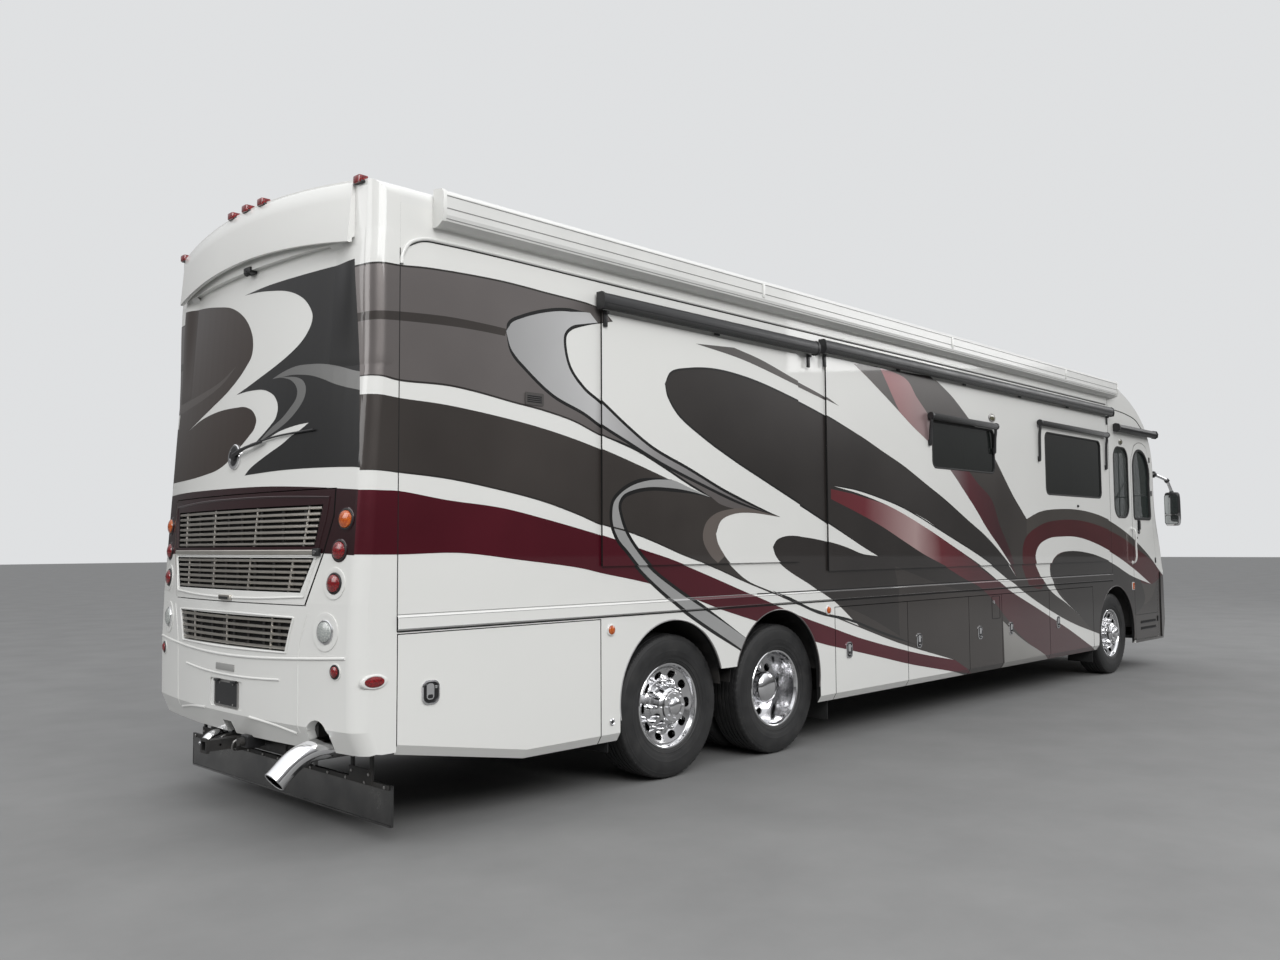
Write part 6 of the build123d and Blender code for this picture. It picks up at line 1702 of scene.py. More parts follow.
SLIDE_FACE = HALF_W + 0.018
SLIDE_GLASS = [(3.620, 4.900, 2.365, 2.800, 0.060), (6.170, 7.770, 2.190, 2.880, 0.070)]
for word, sgn in (("right", -1), ("left", 1)):
    def on_slide(a, b, d):
        return Vector((sx(a), sgn * (SLIDE_FACE + d), b))

    def on_wall(a, b, d):
        return Vector((sx(a), sgn * (HALF_W + d), b))

    b = Bag()
    for x0, x1, z0, z1, r in SLIDE_GLASS:
        xm, zm = (x0 + x1) / 2, (z0 + z1) / 2
        loop = [(xm + a, zm + c) for a, c in round_rect(x1 - x0, z1 - z0, r, 8)]
        frame_loop(b, loop, on_slide, 0.014, 0.005)
        # sliding sash: a post and a rail behind the pane
        b.box((sx(xm), sgn * (SLIDE_FACE - 0.022), zm), (0.026, 0.010, z1 - z0), 0.002, 1)
        b.box((sx(xm), sgn * (SLIDE_FACE - 0.022), z0 + 0.012), (x1 - x0, 0.010, 0.024), 0.002, 1)
        b.box((sx(xm - (x1 - x0) * 0.25), sgn * (SLIDE_FACE - 0.024), z0 + (z1 - z0) * 0.32), ((x1 - x0) * 0.46, 0.008, 0.012), 0.001, 1)
    b.build("slide_window_frames_" + word, ["black_rubber", "black_plastic"], "slide_room_%s_front" % word, "glass")
    # pleated blinds, part way down, behind the panes
    b = Bag()
    for (x0, x1, z0, z1, r), drop in zip(SLIDE_GLASS, (0.45, 0.18)):
        top = z1 + 0.02
        zs = np.linspace(top, top - drop * (z1 - z0) - 0.03, 31)
        grid = [[(sx(x), sgn * (SLIDE_FACE - 0.052 - (0.006 if i % 2 else 0.0)), z) for x in np.linspace(x0 - 0.02, x1 + 0.02, 3)] for i, z in enumerate(zs)]
        b.sheet(grid, 0.0015, 0)
        b.box((sx((x0 + x1) / 2), sgn * (SLIDE_FACE - 0.055), zs[-1] - 0.008), (x1 - x0 + 0.03, 0.018, 0.018), 0.004, 1)
    b.build("slide_blinds_" + word, ["cloth_black", "grey"], "slide_room_%s_front" % word, "interior")

    # tall window behind the front corner
    b = Bag()
    x0, x1, z0, z1 = 8.260, 8.730, 1.970, 2.850
    loop = [((x0 + x1) / 2 + a, (z0 + z1) / 2 + c) for a, c in round_rect(x1 - x0, z1 - z0, 0.150, 10)]
    frame_loop(b, loop, on_wall, 0.020, 0.006)
    b.box((sx((x0 + x1) / 2), sgn * (HALF_W - 0.026), 2.36), (0.018, 0.010, z1 - z0 - 0.02), 0.002, 1)
    b.box((sx((x0 + x1) / 2), sgn * (HALF_W - 0.026), 2.22), (x1 - x0 - 0.02, 0.010, 0.016), 0.002, 1)
    b.build("cab_slot_frame_" + word, ["black_rubber", "black_plastic"], "root", "glass")
    b = Bag()
    frame_loop(b, arch_outline(), on_wall, 0.030, 0.010)
    b.tube([(sx(8.94), sgn * (HALF_W - 0.020), 2.26), (sx(9.48), sgn * (HALF_W - 0.020), 2.26)], 0.007, 8, 1)
    b.build("arch_window_frame_" + word, ["black_rubber", "black_plastic"], "entry_door" if word == "right" else "root", "glass")

    # oval lamps
    b = Bag()
    p = Vector((sx(4.868), sgn * (SLIDE_FACE + 0.0005), 2.937))
    lamp(b, p, Vector((0, sgn, 0)), 0.034, 0, 1, 0.005, None, 2, oval=1.75)
    b.lathe((sx(7.030), sgn * (SLIDE_FACE + 0.001), 2.070), (0, sgn, 0), [(0, 0.016), (0.012, 0.015), (0.016, 0.010), (0.017, 0.0)], 20, 2)
    b.build("slide_lamp_" + word, ["lens_smoke", "steel", "black_plastic"], "slide_room_%s_front" % word, "chrome")
    b = Bag()
    p, n = side_frame(8.504, 2.930, sgn, ["front_cap"], 0.0005)
    lamp(b, p, Vector((0, sgn, 0)), 0.030, 0, 1, 0.005, None, 2, oval=1.7)
    b.build("porch_lamp_" + word, ["lens_smoke", "steel"], "root", "chrome")


# ------------------------------------------------------------------ awnings on the slide-out rooms
AWNINGS = {"rear": [(-0.800, 1.660, 3.182, 3.298, 3.060)], "front": [(1.745, 8.075, 3.215, 3.332, 3.095), (3.530, 4.900, 2.812, 2.878, 2.560), (5.960, 7.940, 2.940, 3.006, 2.540)]}
for word, sgn in (("right", -1), ("left", 1)):
    for key, rows in AWNINGS.items():
        b = Bag()
        for i, (x0, x1, z0, z1, zb) in enumerate(rows):
            f = SLIDE_FACE
            zm, h = (z0 + z1) / 2, (z1 - z0) / 2
            if i == 0:
                # half-round case over a fabric roll
                prof = [(0.006, h - 0.010), (0.016, h - 0.002), (0.048, h - 0.004), (0.066, h - 0.016), (0.076, h - 0.036), (0.079, 0.006), (0.077, -0.018), (0.066, -0.024),
                        (0.064, -0.010), (0.020, -0.004), (0.012, -0.040), (0.006, -0.044)]
                b.prism([(a, c) for a, c in prof], (sx(x0) + 0.006, sgn * f, zm), (0, sgn, 0), (0, 0, 1), (1, 0, 0), x1 - x0 - 0.012, 0)
                b.lathe((sx(x0) + 0.010, sgn * (f + 0.043), zm - 0.022), (1, 0, 0), [(0.0, 0.0), (0.0, 0.032), (x1 - x0 - 0.020, 0.032), (x1 - x0 - 0.020, 0.0)], 28, 1)
                cap = [(0.002, h), (0.052, h), (0.074, h - 0.018), (0.0815, h - 0.042), (0.0815, -0.030), (0.070, -h), (0.030, -h - 0.004), (0.002, -h + 0.004)]
                for xx in (x0, x1 - 0.020):
                    b.prism(cap, (sx(xx), sgn * f, zm), (0, sgn, 0), (0, 0, 1), (1, 0, 0), 0.020, 2)
                for xx in (x0 + 0.075, x1 - 0.075):
                    b.box((sx(xx), sgn * (f + 0.008), zm - h - 0.050), (0.034, 0.014, 0.110), 0.004, 2)
                    b.box((sx(xx), sgn * (f + 0.018), zm - h - 0.012), (0.028, 0.034, 0.020), 0.004, 2)
                n = max(2, int((x1 - x0) / 1.1))
                for k in range(1, n):
                    xx = x0 + (x1 - x0) * k / n
                    b.box((sx(xx), sgn * (f + 0.005), zm - 0.040), (0.060, 0.010, 0.040), 0.003, 2)
            else:
                b.lathe((sx(x0) + 0.016, sgn * (f + 0.034), zm), (1, 0, 0), [(0.0, 0.0), (0.0, 0.029), (0.004, 0.031), (x1 - x0 - 0.036, 0.031), (x1 - x0 - 0.032, 0.029), (x1 - x0 - 0.032, 0.0)], 32, 1)
                b.box((sx((x0 + x1) / 2), sgn * (f + 0.010), zm + 0.006), (x1 - x0 - 0.060, 0.016, 0.040), 0.004, 0)
                for xx, dx in ((x0, 1), (x1, -1)):
                    xc = xx + dx * 0.018
                    b.lathe((sx(xx) if dx > 0 else sx(xx) - 0.026, sgn * (f + 0.034), zm), (1, 0, 0), [(0.0, 0.0), (0.0, 0.032), (0.004, 0.036), (0.022, 0.036), (0.026, 0.032), (0.026, 0.0)], 28, 2)
                    arm = [Vector((sx(xc), sgn * (f + 0.034), zm - 0.010)), Vector((sx(xc), sgn * (f + 0.033), zm - 0.060)), Vector((sx(xc), sgn * (f + 0.025), zm - 0.120)),
                           Vector((sx(xc), sgn * (f + 0.020), zb + 0.060)), Vector((sx(xc), sgn * (f + 0.018), zb + 0.010))]
                    b.tube(smooth_line(arm, 5), 0.0150, 12, 2)
                    b.box((sx(xc), sgn * (f + 0.010), zb + 0.030), (0.036, 0.020, 0.060), 0.006, 2)
        o = b.build("awning_look_%s_%s" % (word, key), ["black_plastic", "cloth_black", "black_plastic"], "slide_room_%s_%s" % (word, key), "awning_black", 40)
        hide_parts("slide_awnings_%s_%s" % (word, key))

# box awning on the right: grey lines as painted shade of its grooves, end caps, brackets
b = Bag()
for z, y in ((3.500, 1.3775), (3.560, 1.3845), (3.632, 1.3842)):
    b.tube([(sx(-2.060), -y, z), (sx(8.182), -y, z)], 0.0032, 6, 1)
prof = [(-1.2835, 3.456), (-1.332, 3.456), (-1.379, 3.482), (-1.390, 3.518), (-1.390, 3.644), (-1.372, 3.670), (-1.306, 3.681), (-1.2885, 3.679), (-1.2885, 3.604), (-1.2835, 3.600)]
for xx in (-2.081, 8.178):
    b.prism(prof, (sx(xx), 0, 0), (0, 1, 0), (0, 0, 1), (1, 0, 0), 0.024, 0)
for xx in (0.9, 3.9, 6.6):
    b.box((sx(xx), -1.3865, 3.585), (0.030, 0.006, 0.110), 0.002, 0)
b.build("box_awning_trim", ["white", "label"], "root", "awning_white")
b = Bag()
prof = [(-1.2965, 3.048), (-1.342, 3.039), (-1.375, 3.060), (-1.381, 3.102), (-1.366, 3.142), (-1.322, 3.153), (-1.2965, 3.147)]
for xx in (8.262, 9.626):
    b.prism(prof, (sx(xx), 0, 0), (0, 1, 0), (0, 0, 1), (1, 0, 0), 0.024, 0)
b.tube([(sx(8.280), -1.3755, 3.084), (sx(9.636), -1.3755, 3.084)], 0.003, 6, 1)
b.build("door_awning_trim", ["black_plastic", "seam"], "root", "awning_white")

# ------------------------------------------------------------------ entry door fittings
b = Bag()
y = -(HALF_W + 0.001)
b.prism(round_rect(0.070, 0.190, 0.018), (sx(9.060), y, 1.850), (1, 0, 0), (0, 0, 1), (0, -1, 0), 0.006, 0)
b.prism(round_rect(0.044, 0.120, 0.014), (sx(9.060), y - 0.006, 1.868), (1, 0, 0), (0, 0, 1), (0, -1, 0), 0.016, 0)
b.lathe((sx(9.060), y - 0.006, 1.782), (0, -1, 0), [(0, 0.013), (0.005, 0.012), (0.006, 0.0)], 20, 1)
b.lathe((sx(8.990), y, 1.700), (0, -1, 0), [(0, 0.016), (0.006, 0.015), (0.007, 0.0)], 24, 1)
# lower panel seam and its louvres
b.tube([(sx(8.852), y + 0.0005, 0.700), (sx(9.678), y + 0.0005, 0.700)], 0.0028, 6, 2)
for z in (0.600, 0.520):
    b.prism(round_rect(0.560, 0.034, 0.010), (sx(9.300), y + 0.0012, z), (1, 0, 0), (0, 0, 1), (0, -1, 0), 0.003, 2)
    b.box((sx(9.300), y - 0.004, z - 0.012), (0.540, 0.010, 0.008), 0.002, 0)
for z in (0.62, 1.40, 2.30, 2.75):
    xh = 9.678 if z < 1.3 else 9.672 - 0.085 * (z - 1.27)
    b.box((sx(xh - 0.018), y - 0.0044, z), (0.026, 0.010, 0.070), 0.003, 0)
b.build("entry_door_fittings", ["black_plastic", "chrome", "seam"], "entry_door", "body_paint")
b = Bag()
bar = [(8.800, 1.378), (8.800, 1.386), (8.800, 1.43), (8.800, 1.60), (8.800, 1.77), (8.800, 1.814), (8.800, 1.822)]
offs = [0.002, 0.030, 0.050, 0.052, 0.050, 0.030, 0.002]
pts = [Vector((sx(a), -(HALF_W + o), z)) for (a, z), o in zip(bar, offs)]
b.tube([Vector(tuple(q)) for q in smooth_line([tuple(p) for p in pts], 5)], 0.0125, 12, 0)
for z in (1.380, 1.820):
    b.lathe((sx(8.800), -(HALF_W + 0.0005), z), (0, -1, 0), [(0, 0.024), (0.006, 0.023), (0.008, 0.012), (0.008, 0.0)], 20, 0)
b.build("grab_bar", "white", "root", "body_paint")

# near-black tube in the upright recess at the front corner, both sides: painted shade in the recess
for word, sgn in (("right", -1), ("left", 1)):
    b = Bag()
    line = []
    for z in np.linspace(0.370, 1.235, 12):
        p, n = side_frame(9.790, float(z), sgn, ["front_cap"], 0.0)
        line.append(p + n * 0.001)
    b.tube(line, 0.012, 8, 0)
    b.build("corner_recess_shade_" + word, "seam", "root", "body_paint")


# ------------------------------------------------------------------ mirrors
metal("mirror_glass", (0.62, 0.65, 0.66), 0.03, bump=0.0)


def mirror_head(bag, sgn):
    cx, cy = sx(9.985), sgn * 1.422
    zs = [1.866, 1.868, 1.880, 1.905, 1.96, 2.04, 2.12, 2.20, 2.26, 2.295, 2.314, 2.322, 2.324]
    sc = [0.55, 0.72, 0.86, 0.95, 1.0, 1.0, 0.995, 0.985, 0.96, 0.92, 0.84, 0.70, 0.52]
    n = 40
    vs, rows = [], []
    for z, s in zip(zs, sc):
        row = []
        for k in range(n):
            a = 2 * math.pi * k / n
            ca, sa = math.cos(a), math.sin(a)
            e = 0.55
            u = math.copysign(abs(ca) ** e, ca)
            w = math.copysign(abs(sa) ** e, sa)
            dx = 0.052 * u * s if u < 0 else 0.058 * u * s * (1 - 0.35 * w * w)
            row.append(len(vs))
            vs.append((cx + dx, cy + 0.100 * w * s, z))
        rows.append(row)
    fs, ms = [], []
    for i, (a, b) in enumerate(zip(rows, rows[1:])):
        for k in range(n):
            k2 = (k + 1) % n
            fs.append((a[k], a[k2], b[k2], b[k]))
            ms.append(1 if zs[i] < 2.04 else 0)
    fs.append(tuple(rows[0][::-1]))
    ms.append(1)
    fs.append(tuple(rows[-1]))
    ms.append(0)
    k0 = len(bag.v)
    bag.v += [tuple(map(float, p)) for p in vs]
    bag.f += [tuple(i + k0 for i in f) for f in fs]
    bag.m += ms
    # panes in the rear face
    for zc, h in ((2.155, 0.255), (1.950, 0.110)):
        bag.prism(round_rect(0.176, h + 0.012, 0.026), (cx - 0.0500, cy, zc), (0, 1, 0), (0, 0, 1), (-1, 0, 0), 0.0045, 0)
        bag.prism(round_rect(0.162, h, 0.022), (cx - 0.0545, cy, zc), (0, 1, 0), (0, 0, 1), (-1, 0, 0), 0.0012, 2)
    # arm: chrome tube from the body bracket, with a joint at the elbow
    line = [(9.740, 1.262, 2.570), (9.770, 1.290, 2.556), (9.860, 1.355, 2.512), (9.905, 1.385, 2.482), (9.940, 1.400, 2.420), (9.975, 1.414, 2.345), (9.983, 1.416, 2.315)]
    pts = [Vector((sx(float(a)), sgn * float(b), float(c))) for a, b, c in smooth_line(line, 6)]
    bag.tube(pts, 0.0195, 16, 1)
    bag.lathe((sx(9.905), sgn * 1.385, 2.482), (0.3, sgn * 0.5, 0.4), [(-0.028, 0.0), (-0.028, 0.022), (-0.018, 0.0270), (0.018, 0.0270), (0.028, 0.022), (0.028, 0.0)], 20, 0)
    bag.lathe((sx(9.983), sgn * 1.416, 2.318), (0, 0, 1), [(-0.004, 0.034), (0.012, 0.030), (0.030, 0.020), (0.034, 0.0)], 24, 0)
    bag.lathe((sx(9.752), sgn * 1.272, 2.566), (0.55, sgn * 0.8, -0.12), [(-0.016, 0.046), (0.006, 0.044), (0.018, 0.030), (0.030, 0.020), (0.030, 0.0)], 28, 0)


b = Bag()
for sgn in (-1, 1):
    mirror_head(b, sgn)
o = b.build("mirror_look", ["black_plastic", "chrome", "mirror_glass"], "root", "mirror_shell", 38)
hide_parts("mirrors")


# ------------------------------------------------------------------ front: places on the nose
def front_frame(y, z, off=0.0, nodes=("front_cap",)):
    hit = tree_of(nodes).ray_cast(Vector((8.5, y, z)), Vector((-1, 0, 0)))
    if hit[0] is None:
        return None, None
    n = hit[1] if hit[1].x > 0 else -hit[1]
    return hit[0] + n * off, n


def smooth_front(y, z, off=0.0):
    """Nose point with a normal averaged around it."""
    p, n = front_frame(y, z)
    acc = Vector((0, 0, 0))
    for dy, dz in ((0.03, 0), (-0.03, 0), (0, 0.03), (0, -0.03), (0, 0)):
        q, m = front_frame(y + dy, z + dz)
        if q is not None:
            acc += m
    acc.normalize()
    return p + acc * off, acc


def front_bead(bag, pts, r, off=0.0, mat=0, n=8, k=8):
    line = []
    for y, z in smooth_line(pts, k):
        p, m = front_frame(float(y), float(z), off, ("front_cap", "cab_windows"))
        if p is not None:
            line.append(p)
    if len(line) > 2:
        bag.tube(line, r, n, mat)


# windshield rubber: outline of each pane, laid on the moulding just outside the opening
b = Bag()
for s in (-1, 1):
    edge = []
    corners = [(0.018, 1.480), (1.085, 1.480), (1.060, 2.880), (0.018, 2.935)]
    for i in range(4):
        (y0, z0), (y1, z1) = corners[i], corners[(i + 1) % 4]
        m = 26 if i in (0, 2) else 24
        for k in range(m):
            f = k / m
            edge.append((y0 + (y1 - y0) * f, z0 + (z1 - z0) * f, i))
    pts = []
    for y, z, i in edge:
        oy = {1: 0.012, 3: -0.008}.get(i, 0.0)
        oz = {0: -0.012, 2: 0.012}.get(i, 0.0)
        p, m = front_frame(s * (y + oy), z + oz, 0.001)
        if p is None:
            p, m = front_frame(s * (y + oy * 1.5), z + oz * 1.5, 0.001)
        if p is not None:
            pts.append(p)
    pts.append(pts[0])
    b.tube(pts, 0.0125, 8, 0, cap=False)
b.build("windshield_rubber", "black_rubber", "root", "glass")

# wipers
b = Bag()
for s in (-1, 1):
    base, n = front_frame(s * 0.42, 1.415, 0.0)
    b.lathe(base, n, [(-0.004, 0.036), (0.012, 0.034), (0.030, 0.022), (0.040, 0.016), (0.041, 0.0)], 24, 0)
    line = []
    for y, z, off in ((0.42, 1.42, 0.034), (0.46, 1.60, 0.060), (0.56, 1.95, 0.052), (0.62, 2.16, 0.036)):
        p, m = front_frame(s * y, z, off, ("front_cap", "cab_windows"))
        line.append(p)
    b.tube(smooth_line([tuple(p) for p in line], 6), [0.014] * 6 + [0.011] * 6 + [0.009] * 7, 8, 0)
    blade = []
    for y, z in ((0.30, 1.66), (0.44, 1.86), (0.57, 2.06), (0.70, 2.27), (0.82, 2.47)):
        p, m = front_frame(s * y, z, 0.014, ("front_cap", "cab_windows"))
        blade.append(p)
    b.tube(smooth_line([tuple(p) for p in blade], 6), 0.009, 8, 0)
    b.tube([p + Vector((0.012, 0, 0)) for p in blade[1:4]], 0.006, 6, 0)
b.build("wipers", "black_plastic", "root", "mirror_shell")

# headlamps, turn lamps, grille, seams, lower intake, markers
b = Bag()
for s in (-1, 1):
    # dark lamp housing lying on the corner
    grid = []
    for z in np.linspace(0.70, 1.10, 9):
        row = []
        for y in np.linspace(0.80, 1.135, 9):
            p, m = smooth_front(s * y, float(z), 0.0025)
            row.append(tuple(p))
        grid.append(row if s > 0 else row)
    b.sheet(grid, 0.003, 0)
    for y, z, r in ((0.905, 1.000, 0.078), (0.905, 0.810, 0.078)):
        p, m = smooth_front(s * y, z, 0.002)
        m = (m + Vector((1.2, 0, 0))).normalized()
        b.ring(p, m, [(-0.03, r + 0.012), (0.016, r + 0.012), (0.022, r + 0.006), (0.022, r), (0.010, r - 0.004), (-0.03, r - 0.004)], 56, 1)
        b.lathe(p, m, [(-0.03, r - 0.006), (0.008, r - 0.006), (0.016, r * 0.8), (0.022, r * 0.5), (0.024, 0.0)], 48, 2)
        b.lathe(p, m, [(-0.02, 0.030), (0.027, 0.030), (0.029, 0.024), (0.030, 0.0)], 24, 2)
    p, m = smooth_front(s * 1.070, 1.000, 0.002)
    b.lathe(p, m, [(-0.02, 0.046), (0.006, 0.046), (0.014, 0.036), (0.017, 0.0)], 40, 3)
    p, m = smooth_front(s * 1.070, 0.820, 0.002)
    b.lathe(p, m, [(-0.02, 0.046), (0.006, 0.046), (0.014, 0.036), (0.017, 0.0)], 40, 3)
    front_bead(b, [(s * 0.795, 0.70), (s * 0.795, 1.10)], 0.006, 0.001, 1)
    front_bead(b, [(s * 0.795, 1.10), (s * 0.97, 1.105), (s * 1.137, 1.10)], 0.006, 0.001, 1)
    front_bead(b, [(s * 0.795, 0.70), (s * 0.97, 0.695), (s * 1.137, 0.70)], 0.006, 0.001, 1)
    # fog lamps low down
    p, m = smooth_front(s * 0.72, 0.500, 0.001)
    b.ring(p, m, [(-0.02, 0.062), (0.008, 0.062), (0.012, 0.056), (0.012, 0.050), (-0.02, 0.048)], 40, 1)
    b.lathe(p, m, [(-0.02, 0.049), (0.004, 0.049), (0.012, 0.034), (0.014, 0.0)], 40, 2)
b.build("headlamps", ["black_plastic", "chrome", "lens_clear", "lens_amber"], "root", "chrome")

b = Bag()
grid = []
for z in np.linspace(0.640, 1.000, 9):
    grid.append([tuple(smooth_front(float(y), float(z), 0.0025)[0]) for y in np.linspace(-0.56, 0.56, 25)])
b.sheet(grid, 0.003, 0)
for z in np.linspace(0.668, 0.972, 8):
    line = [smooth_front(float(y), float(z), 0.010)[0] for y in np.linspace(-0.545, 0.545, 25)]
    b.tube(line, 0.0105, 8, 1)
for y in (-0.36, -0.18, 0.0, 0.18, 0.36):
    line = [smooth_front(float(y), float(z), 0.006)[0] for z in np.linspace(0.648, 0.992, 6)]
    b.tube(line, 0.007, 8, 1)
loop = [(-0.565, 0.632), (0.0, 0.628), (0.565, 0.632)]
for pts in ([(-0.565, 0.632), (0.0, 0.628), (0.565, 0.632)], [(-0.565, 1.008), (0.0, 1.014), (0.565, 1.008)], [(-0.565, 0.632), (-0.568, 0.82), (-0.565, 1.008)], [(0.565, 0.632), (0.568, 0.82), (0.565, 1.008)]):
    front_bead(b, pts, 0.014, 0.004, 2)
b.build("front_grille", ["seam", "grille_bar", "chrome"], "root", "chrome")

b = Bag()
for pts in ([(-0.70, 0.560), (0.0, 0.555), (0.70, 0.560)], [(-0.74, 1.300), (0.0, 1.310), (0.74, 1.300)], [(-0.70, 0.560), (-0.72, 0.90), (-0.74, 1.300)], [(0.70, 0.560), (0.72, 0.90), (0.74, 1.300)]):
    front_bead(b, pts, 0.0035, 0.0, 0)
front_bead(b, [(-1.20, 1.253), (-0.9, 1.256), (-0.742, 1.256)], 0.003, 0.0, 0)
front_bead(b, [(1.20, 1.253), (0.9, 1.256), (0.742, 1.256)], 0.003, 0.0, 0)
grid = []
for z in np.linspace(0.395, 0.470, 4):
    grid.append([tuple(smooth_front(float(y), float(z), 0.002)[0]) for y in np.linspace(-0.55, 0.55, 21)])
b.sheet(grid, 0.002, 0)
for z in (0.415, 0.450):
    b.tube([smooth_front(float(y), z, 0.005)[0] for y in np.linspace(-0.54, 0.54, 17)], 0.006, 6, 1)
b.build("front_seams", ["seam", "black_plastic"], "root", "body_paint")

b = Bag()
for y in (-1.02, -0.22, 0.0, 0.22, 1.02):
    p, m = front_frame(y, 3.560, 0.0)
    if p is None:
        continue
    q = m.to_track_quat("Z", "Y").to_matrix()
    b.box(p + m * 0.010, (0.040, 0.085, 0.026), 0.008, 0, rot=q)
    b.box(p + m * 0.002, (0.052, 0.098, 0.010), 0.003, 1, rot=q)
b.build("front_marker_lamps", ["lens_amber", "black_plastic"], "root", "body_paint")


# ------------------------------------------------------------------ roof
b = Bag()
for xm in (-0.350, 3.350, 6.950):
    for s in (-1, 1):
        for i in range(7):
            xx = sx(xm) - 0.33 + 0.11 * i
            b.box((xx, s * 0.3535, 3.800), (0.070, 0.008, 0.075), 0.003, 0)
            for k in range(4):
                b.box((xx, s * 0.3585, 3.776 + 0.017 * k), (0.066, 0.006, 0.007), 0.002, 1, segs=1)
    b.tube([(sx(xm) - 0.515, y, 3.861) for y in (-0.33, 0.0, 0.33)], 0.004, 6, 0)
    b.tube([(sx(xm) + 0.515, y, 3.861) for y in (-0.33, 0.0, 0.33)], 0.004, 6, 0)
    for i in range(9):
        b.box((sx(xm) - 0.522, -0.24 + 0.06 * i, 3.800), (0.010, 0.040, 0.070), 0.003, 0)
    b.box((sx(xm - 0.060), 0.0, 3.9735), (0.42, 0.010, 0.004), 0.001, 1)
    for s in (-1, 1):
        for xx in (-0.46, 0.46):
            b.lathe((sx(xm) + xx, s * 0.33, 3.862), (0, 0, 1), [(-0.01, 0.012), (0.004, 0.011), (0.006, 0.0)], 12, 1)
b.build("roof_unit_vents", ["seam", "roof_unit"], "root", "roof_unit")


def crown_z(y):
    return 3.744 - 0.072 * (abs(y) / 1.215) ** 2


b = Bag()
for x, y in ((1.20, 0.42), (1.55, -0.45), (5.10, 0.45), (5.60, -0.40)):
    z = crown_z(y)
    b.box((sx(x), y, z + 0.022), (0.400, 0.400, 0.050), 0.012, 0)
    b.box((sx(x), y, z + 0.075), (0.430, 0.430, 0.060), 0.028, 0, segs=3)
    b.box((sx(x) - 0.222, y, z + 0.052), (0.014, 0.30, 0.018), 0.004, 1)
for x, y in ((0.55, 0.82), (2.20, -0.80), (6.00, 0.84)):
    z = crown_z(y)
    b.lathe((sx(x), y, z), (0, 0, 1), [(-0.02, 0.052), (0.006, 0.050), (0.010, 0.026), (0.070, 0.025), (0.072, 0.044), (0.084, 0.044), (0.096, 0.030), (0.100, 0.0)], 28, 1)
b.lathe((sx(8.05), 0.55, crown_z(0.55)), (0, 0, 1), [(-0.02, 0.075), (0.012, 0.072), (0.02, 0.04), (0.10, 0.012), (0.135, 0.008), (0.137, 0.0)], 24, 1)
b.lathe((sx(2.60), 0.0, crown_z(0.0)), (0, 0, 1), [(-0.02, 0.20), (0.02, 0.20), (0.05, 0.196), (0.10, 0.180), (0.14, 0.150), (0.17, 0.105), (0.185, 0.050), (0.188, 0.0)], 48, 0)
b.build("roof_vents", ["roof_unit", "grey"], "root", "roof_unit")
b = Bag()
for x in (-2.29, 8.09):
    b.tube([(sx(x), float(y), crown_z(float(y)) + 0.0005) for y in np.linspace(-1.20, 1.20, 25)], 0.006, 6, 0)
for s in (-1, 1):
    b.tube([(sx(x), s * 1.205, crown_z(1.205) + 0.001) for x in (-2.25, 2.0, 5.0, 8.05)], 0.007, 8, 1)
b.build("roof_seams", ["silver_h", "white"], "root", "roof_white")


# ------------------------------------------------------------------ inside faces of the shell
def inner_faces(node, test):
    o = NODES[node]
    o.data.materials.append(MATS["inner_wall"])
    k = len(o.data.materials) - 1
    for p in o.data.polygons:
        if test(p.center, p.normal):
            p.material_index = k


for s in ("right", "left"):
    sg = -1 if s == "right" else 1
    inner_faces("side_wall_" + s, lambda c, n, sg=sg: abs(c.y) < 1.2345 and n.y * sg < -0.5)
    for key in ("rear", "front"):
        inner_faces("slide_room_%s_%s" % (s, key), lambda c, n, sg=sg: (n.y * sg < -0.5 and abs(c.y) < 1.26) or (abs(c.y) < 1.24 and abs(n.y) < 0.5 and abs(c.y) > 0.0 and False))
inner_faces("roof", lambda c, n: n.z < -0.3)
inner_faces("front_cap", lambda c, n: (n.y * c.y < -0.25 * abs(c.y) and abs(c.y) > 0.9 and abs(c.y) < 1.25) or (n.x < -0.3 and c.x > sx(9.0) and abs(c.y) < 1.2) or (n.z < -0.4 and c.z > 3.2))
inner_faces("rear_cap", lambda c, n: (n.y * c.y < -0.25 * abs(c.y) and abs(c.y) > 0.9 and abs(c.y) < 1.25) or (n.x > 0.5 and abs(c.y) < 1.2) or (n.z < -0.4 and c.z > 3.4))


# ------------------------------------------------------------------ cockpit: dash, steering wheel, seats
def puff(c, s, e=0.42, n=28, crown=0.0, seed=0.0, lean=0.0, seam=True):
    """A stuffed block: rounded box with a soft crown. c: centre, s: full sizes; lean tilts the top rearwards."""
    vs, fs = [], []
    m = n // 2 + 1
    for i in range(m):
        v = -math.pi / 2 + math.pi * i / (m - 1)
        for k in range(n):
            u = 2 * math.pi * k / n
            cv, sv, cu, su = math.cos(v), math.sin(v), math.cos(u), math.sin(u)
            x = math.copysign(abs(cv) ** e, cv) * math.copysign(abs(cu) ** e, cu)
            y = math.copysign(abs(cv) ** e, cv) * math.copysign(abs(su) ** e, su)
            z = math.copysign(abs(sv) ** e, sv)
            w = 1 + 0.012 * math.sin(7 * u + seed) * math.cos(5 * v + seed)
            px, py, pz = x * s[0] / 2 * w, y * s[1] / 2 * w, z * s[2] / 2
            pz += crown * (1 - x * x) * (1 - y * y) * (1 if z > 0 else 0.3)
            px += lean * (pz / s[2])
            vs.append((c[0] + px, c[1] + py, c[2] + pz))
    for i in range(m - 1):
        for k in range(n):
            k2 = (k + 1) % n
            fs.append((i * n + k, i * n + k2, (i + 1) * n + k2, (i + 1) * n + k))
    return vs, fs


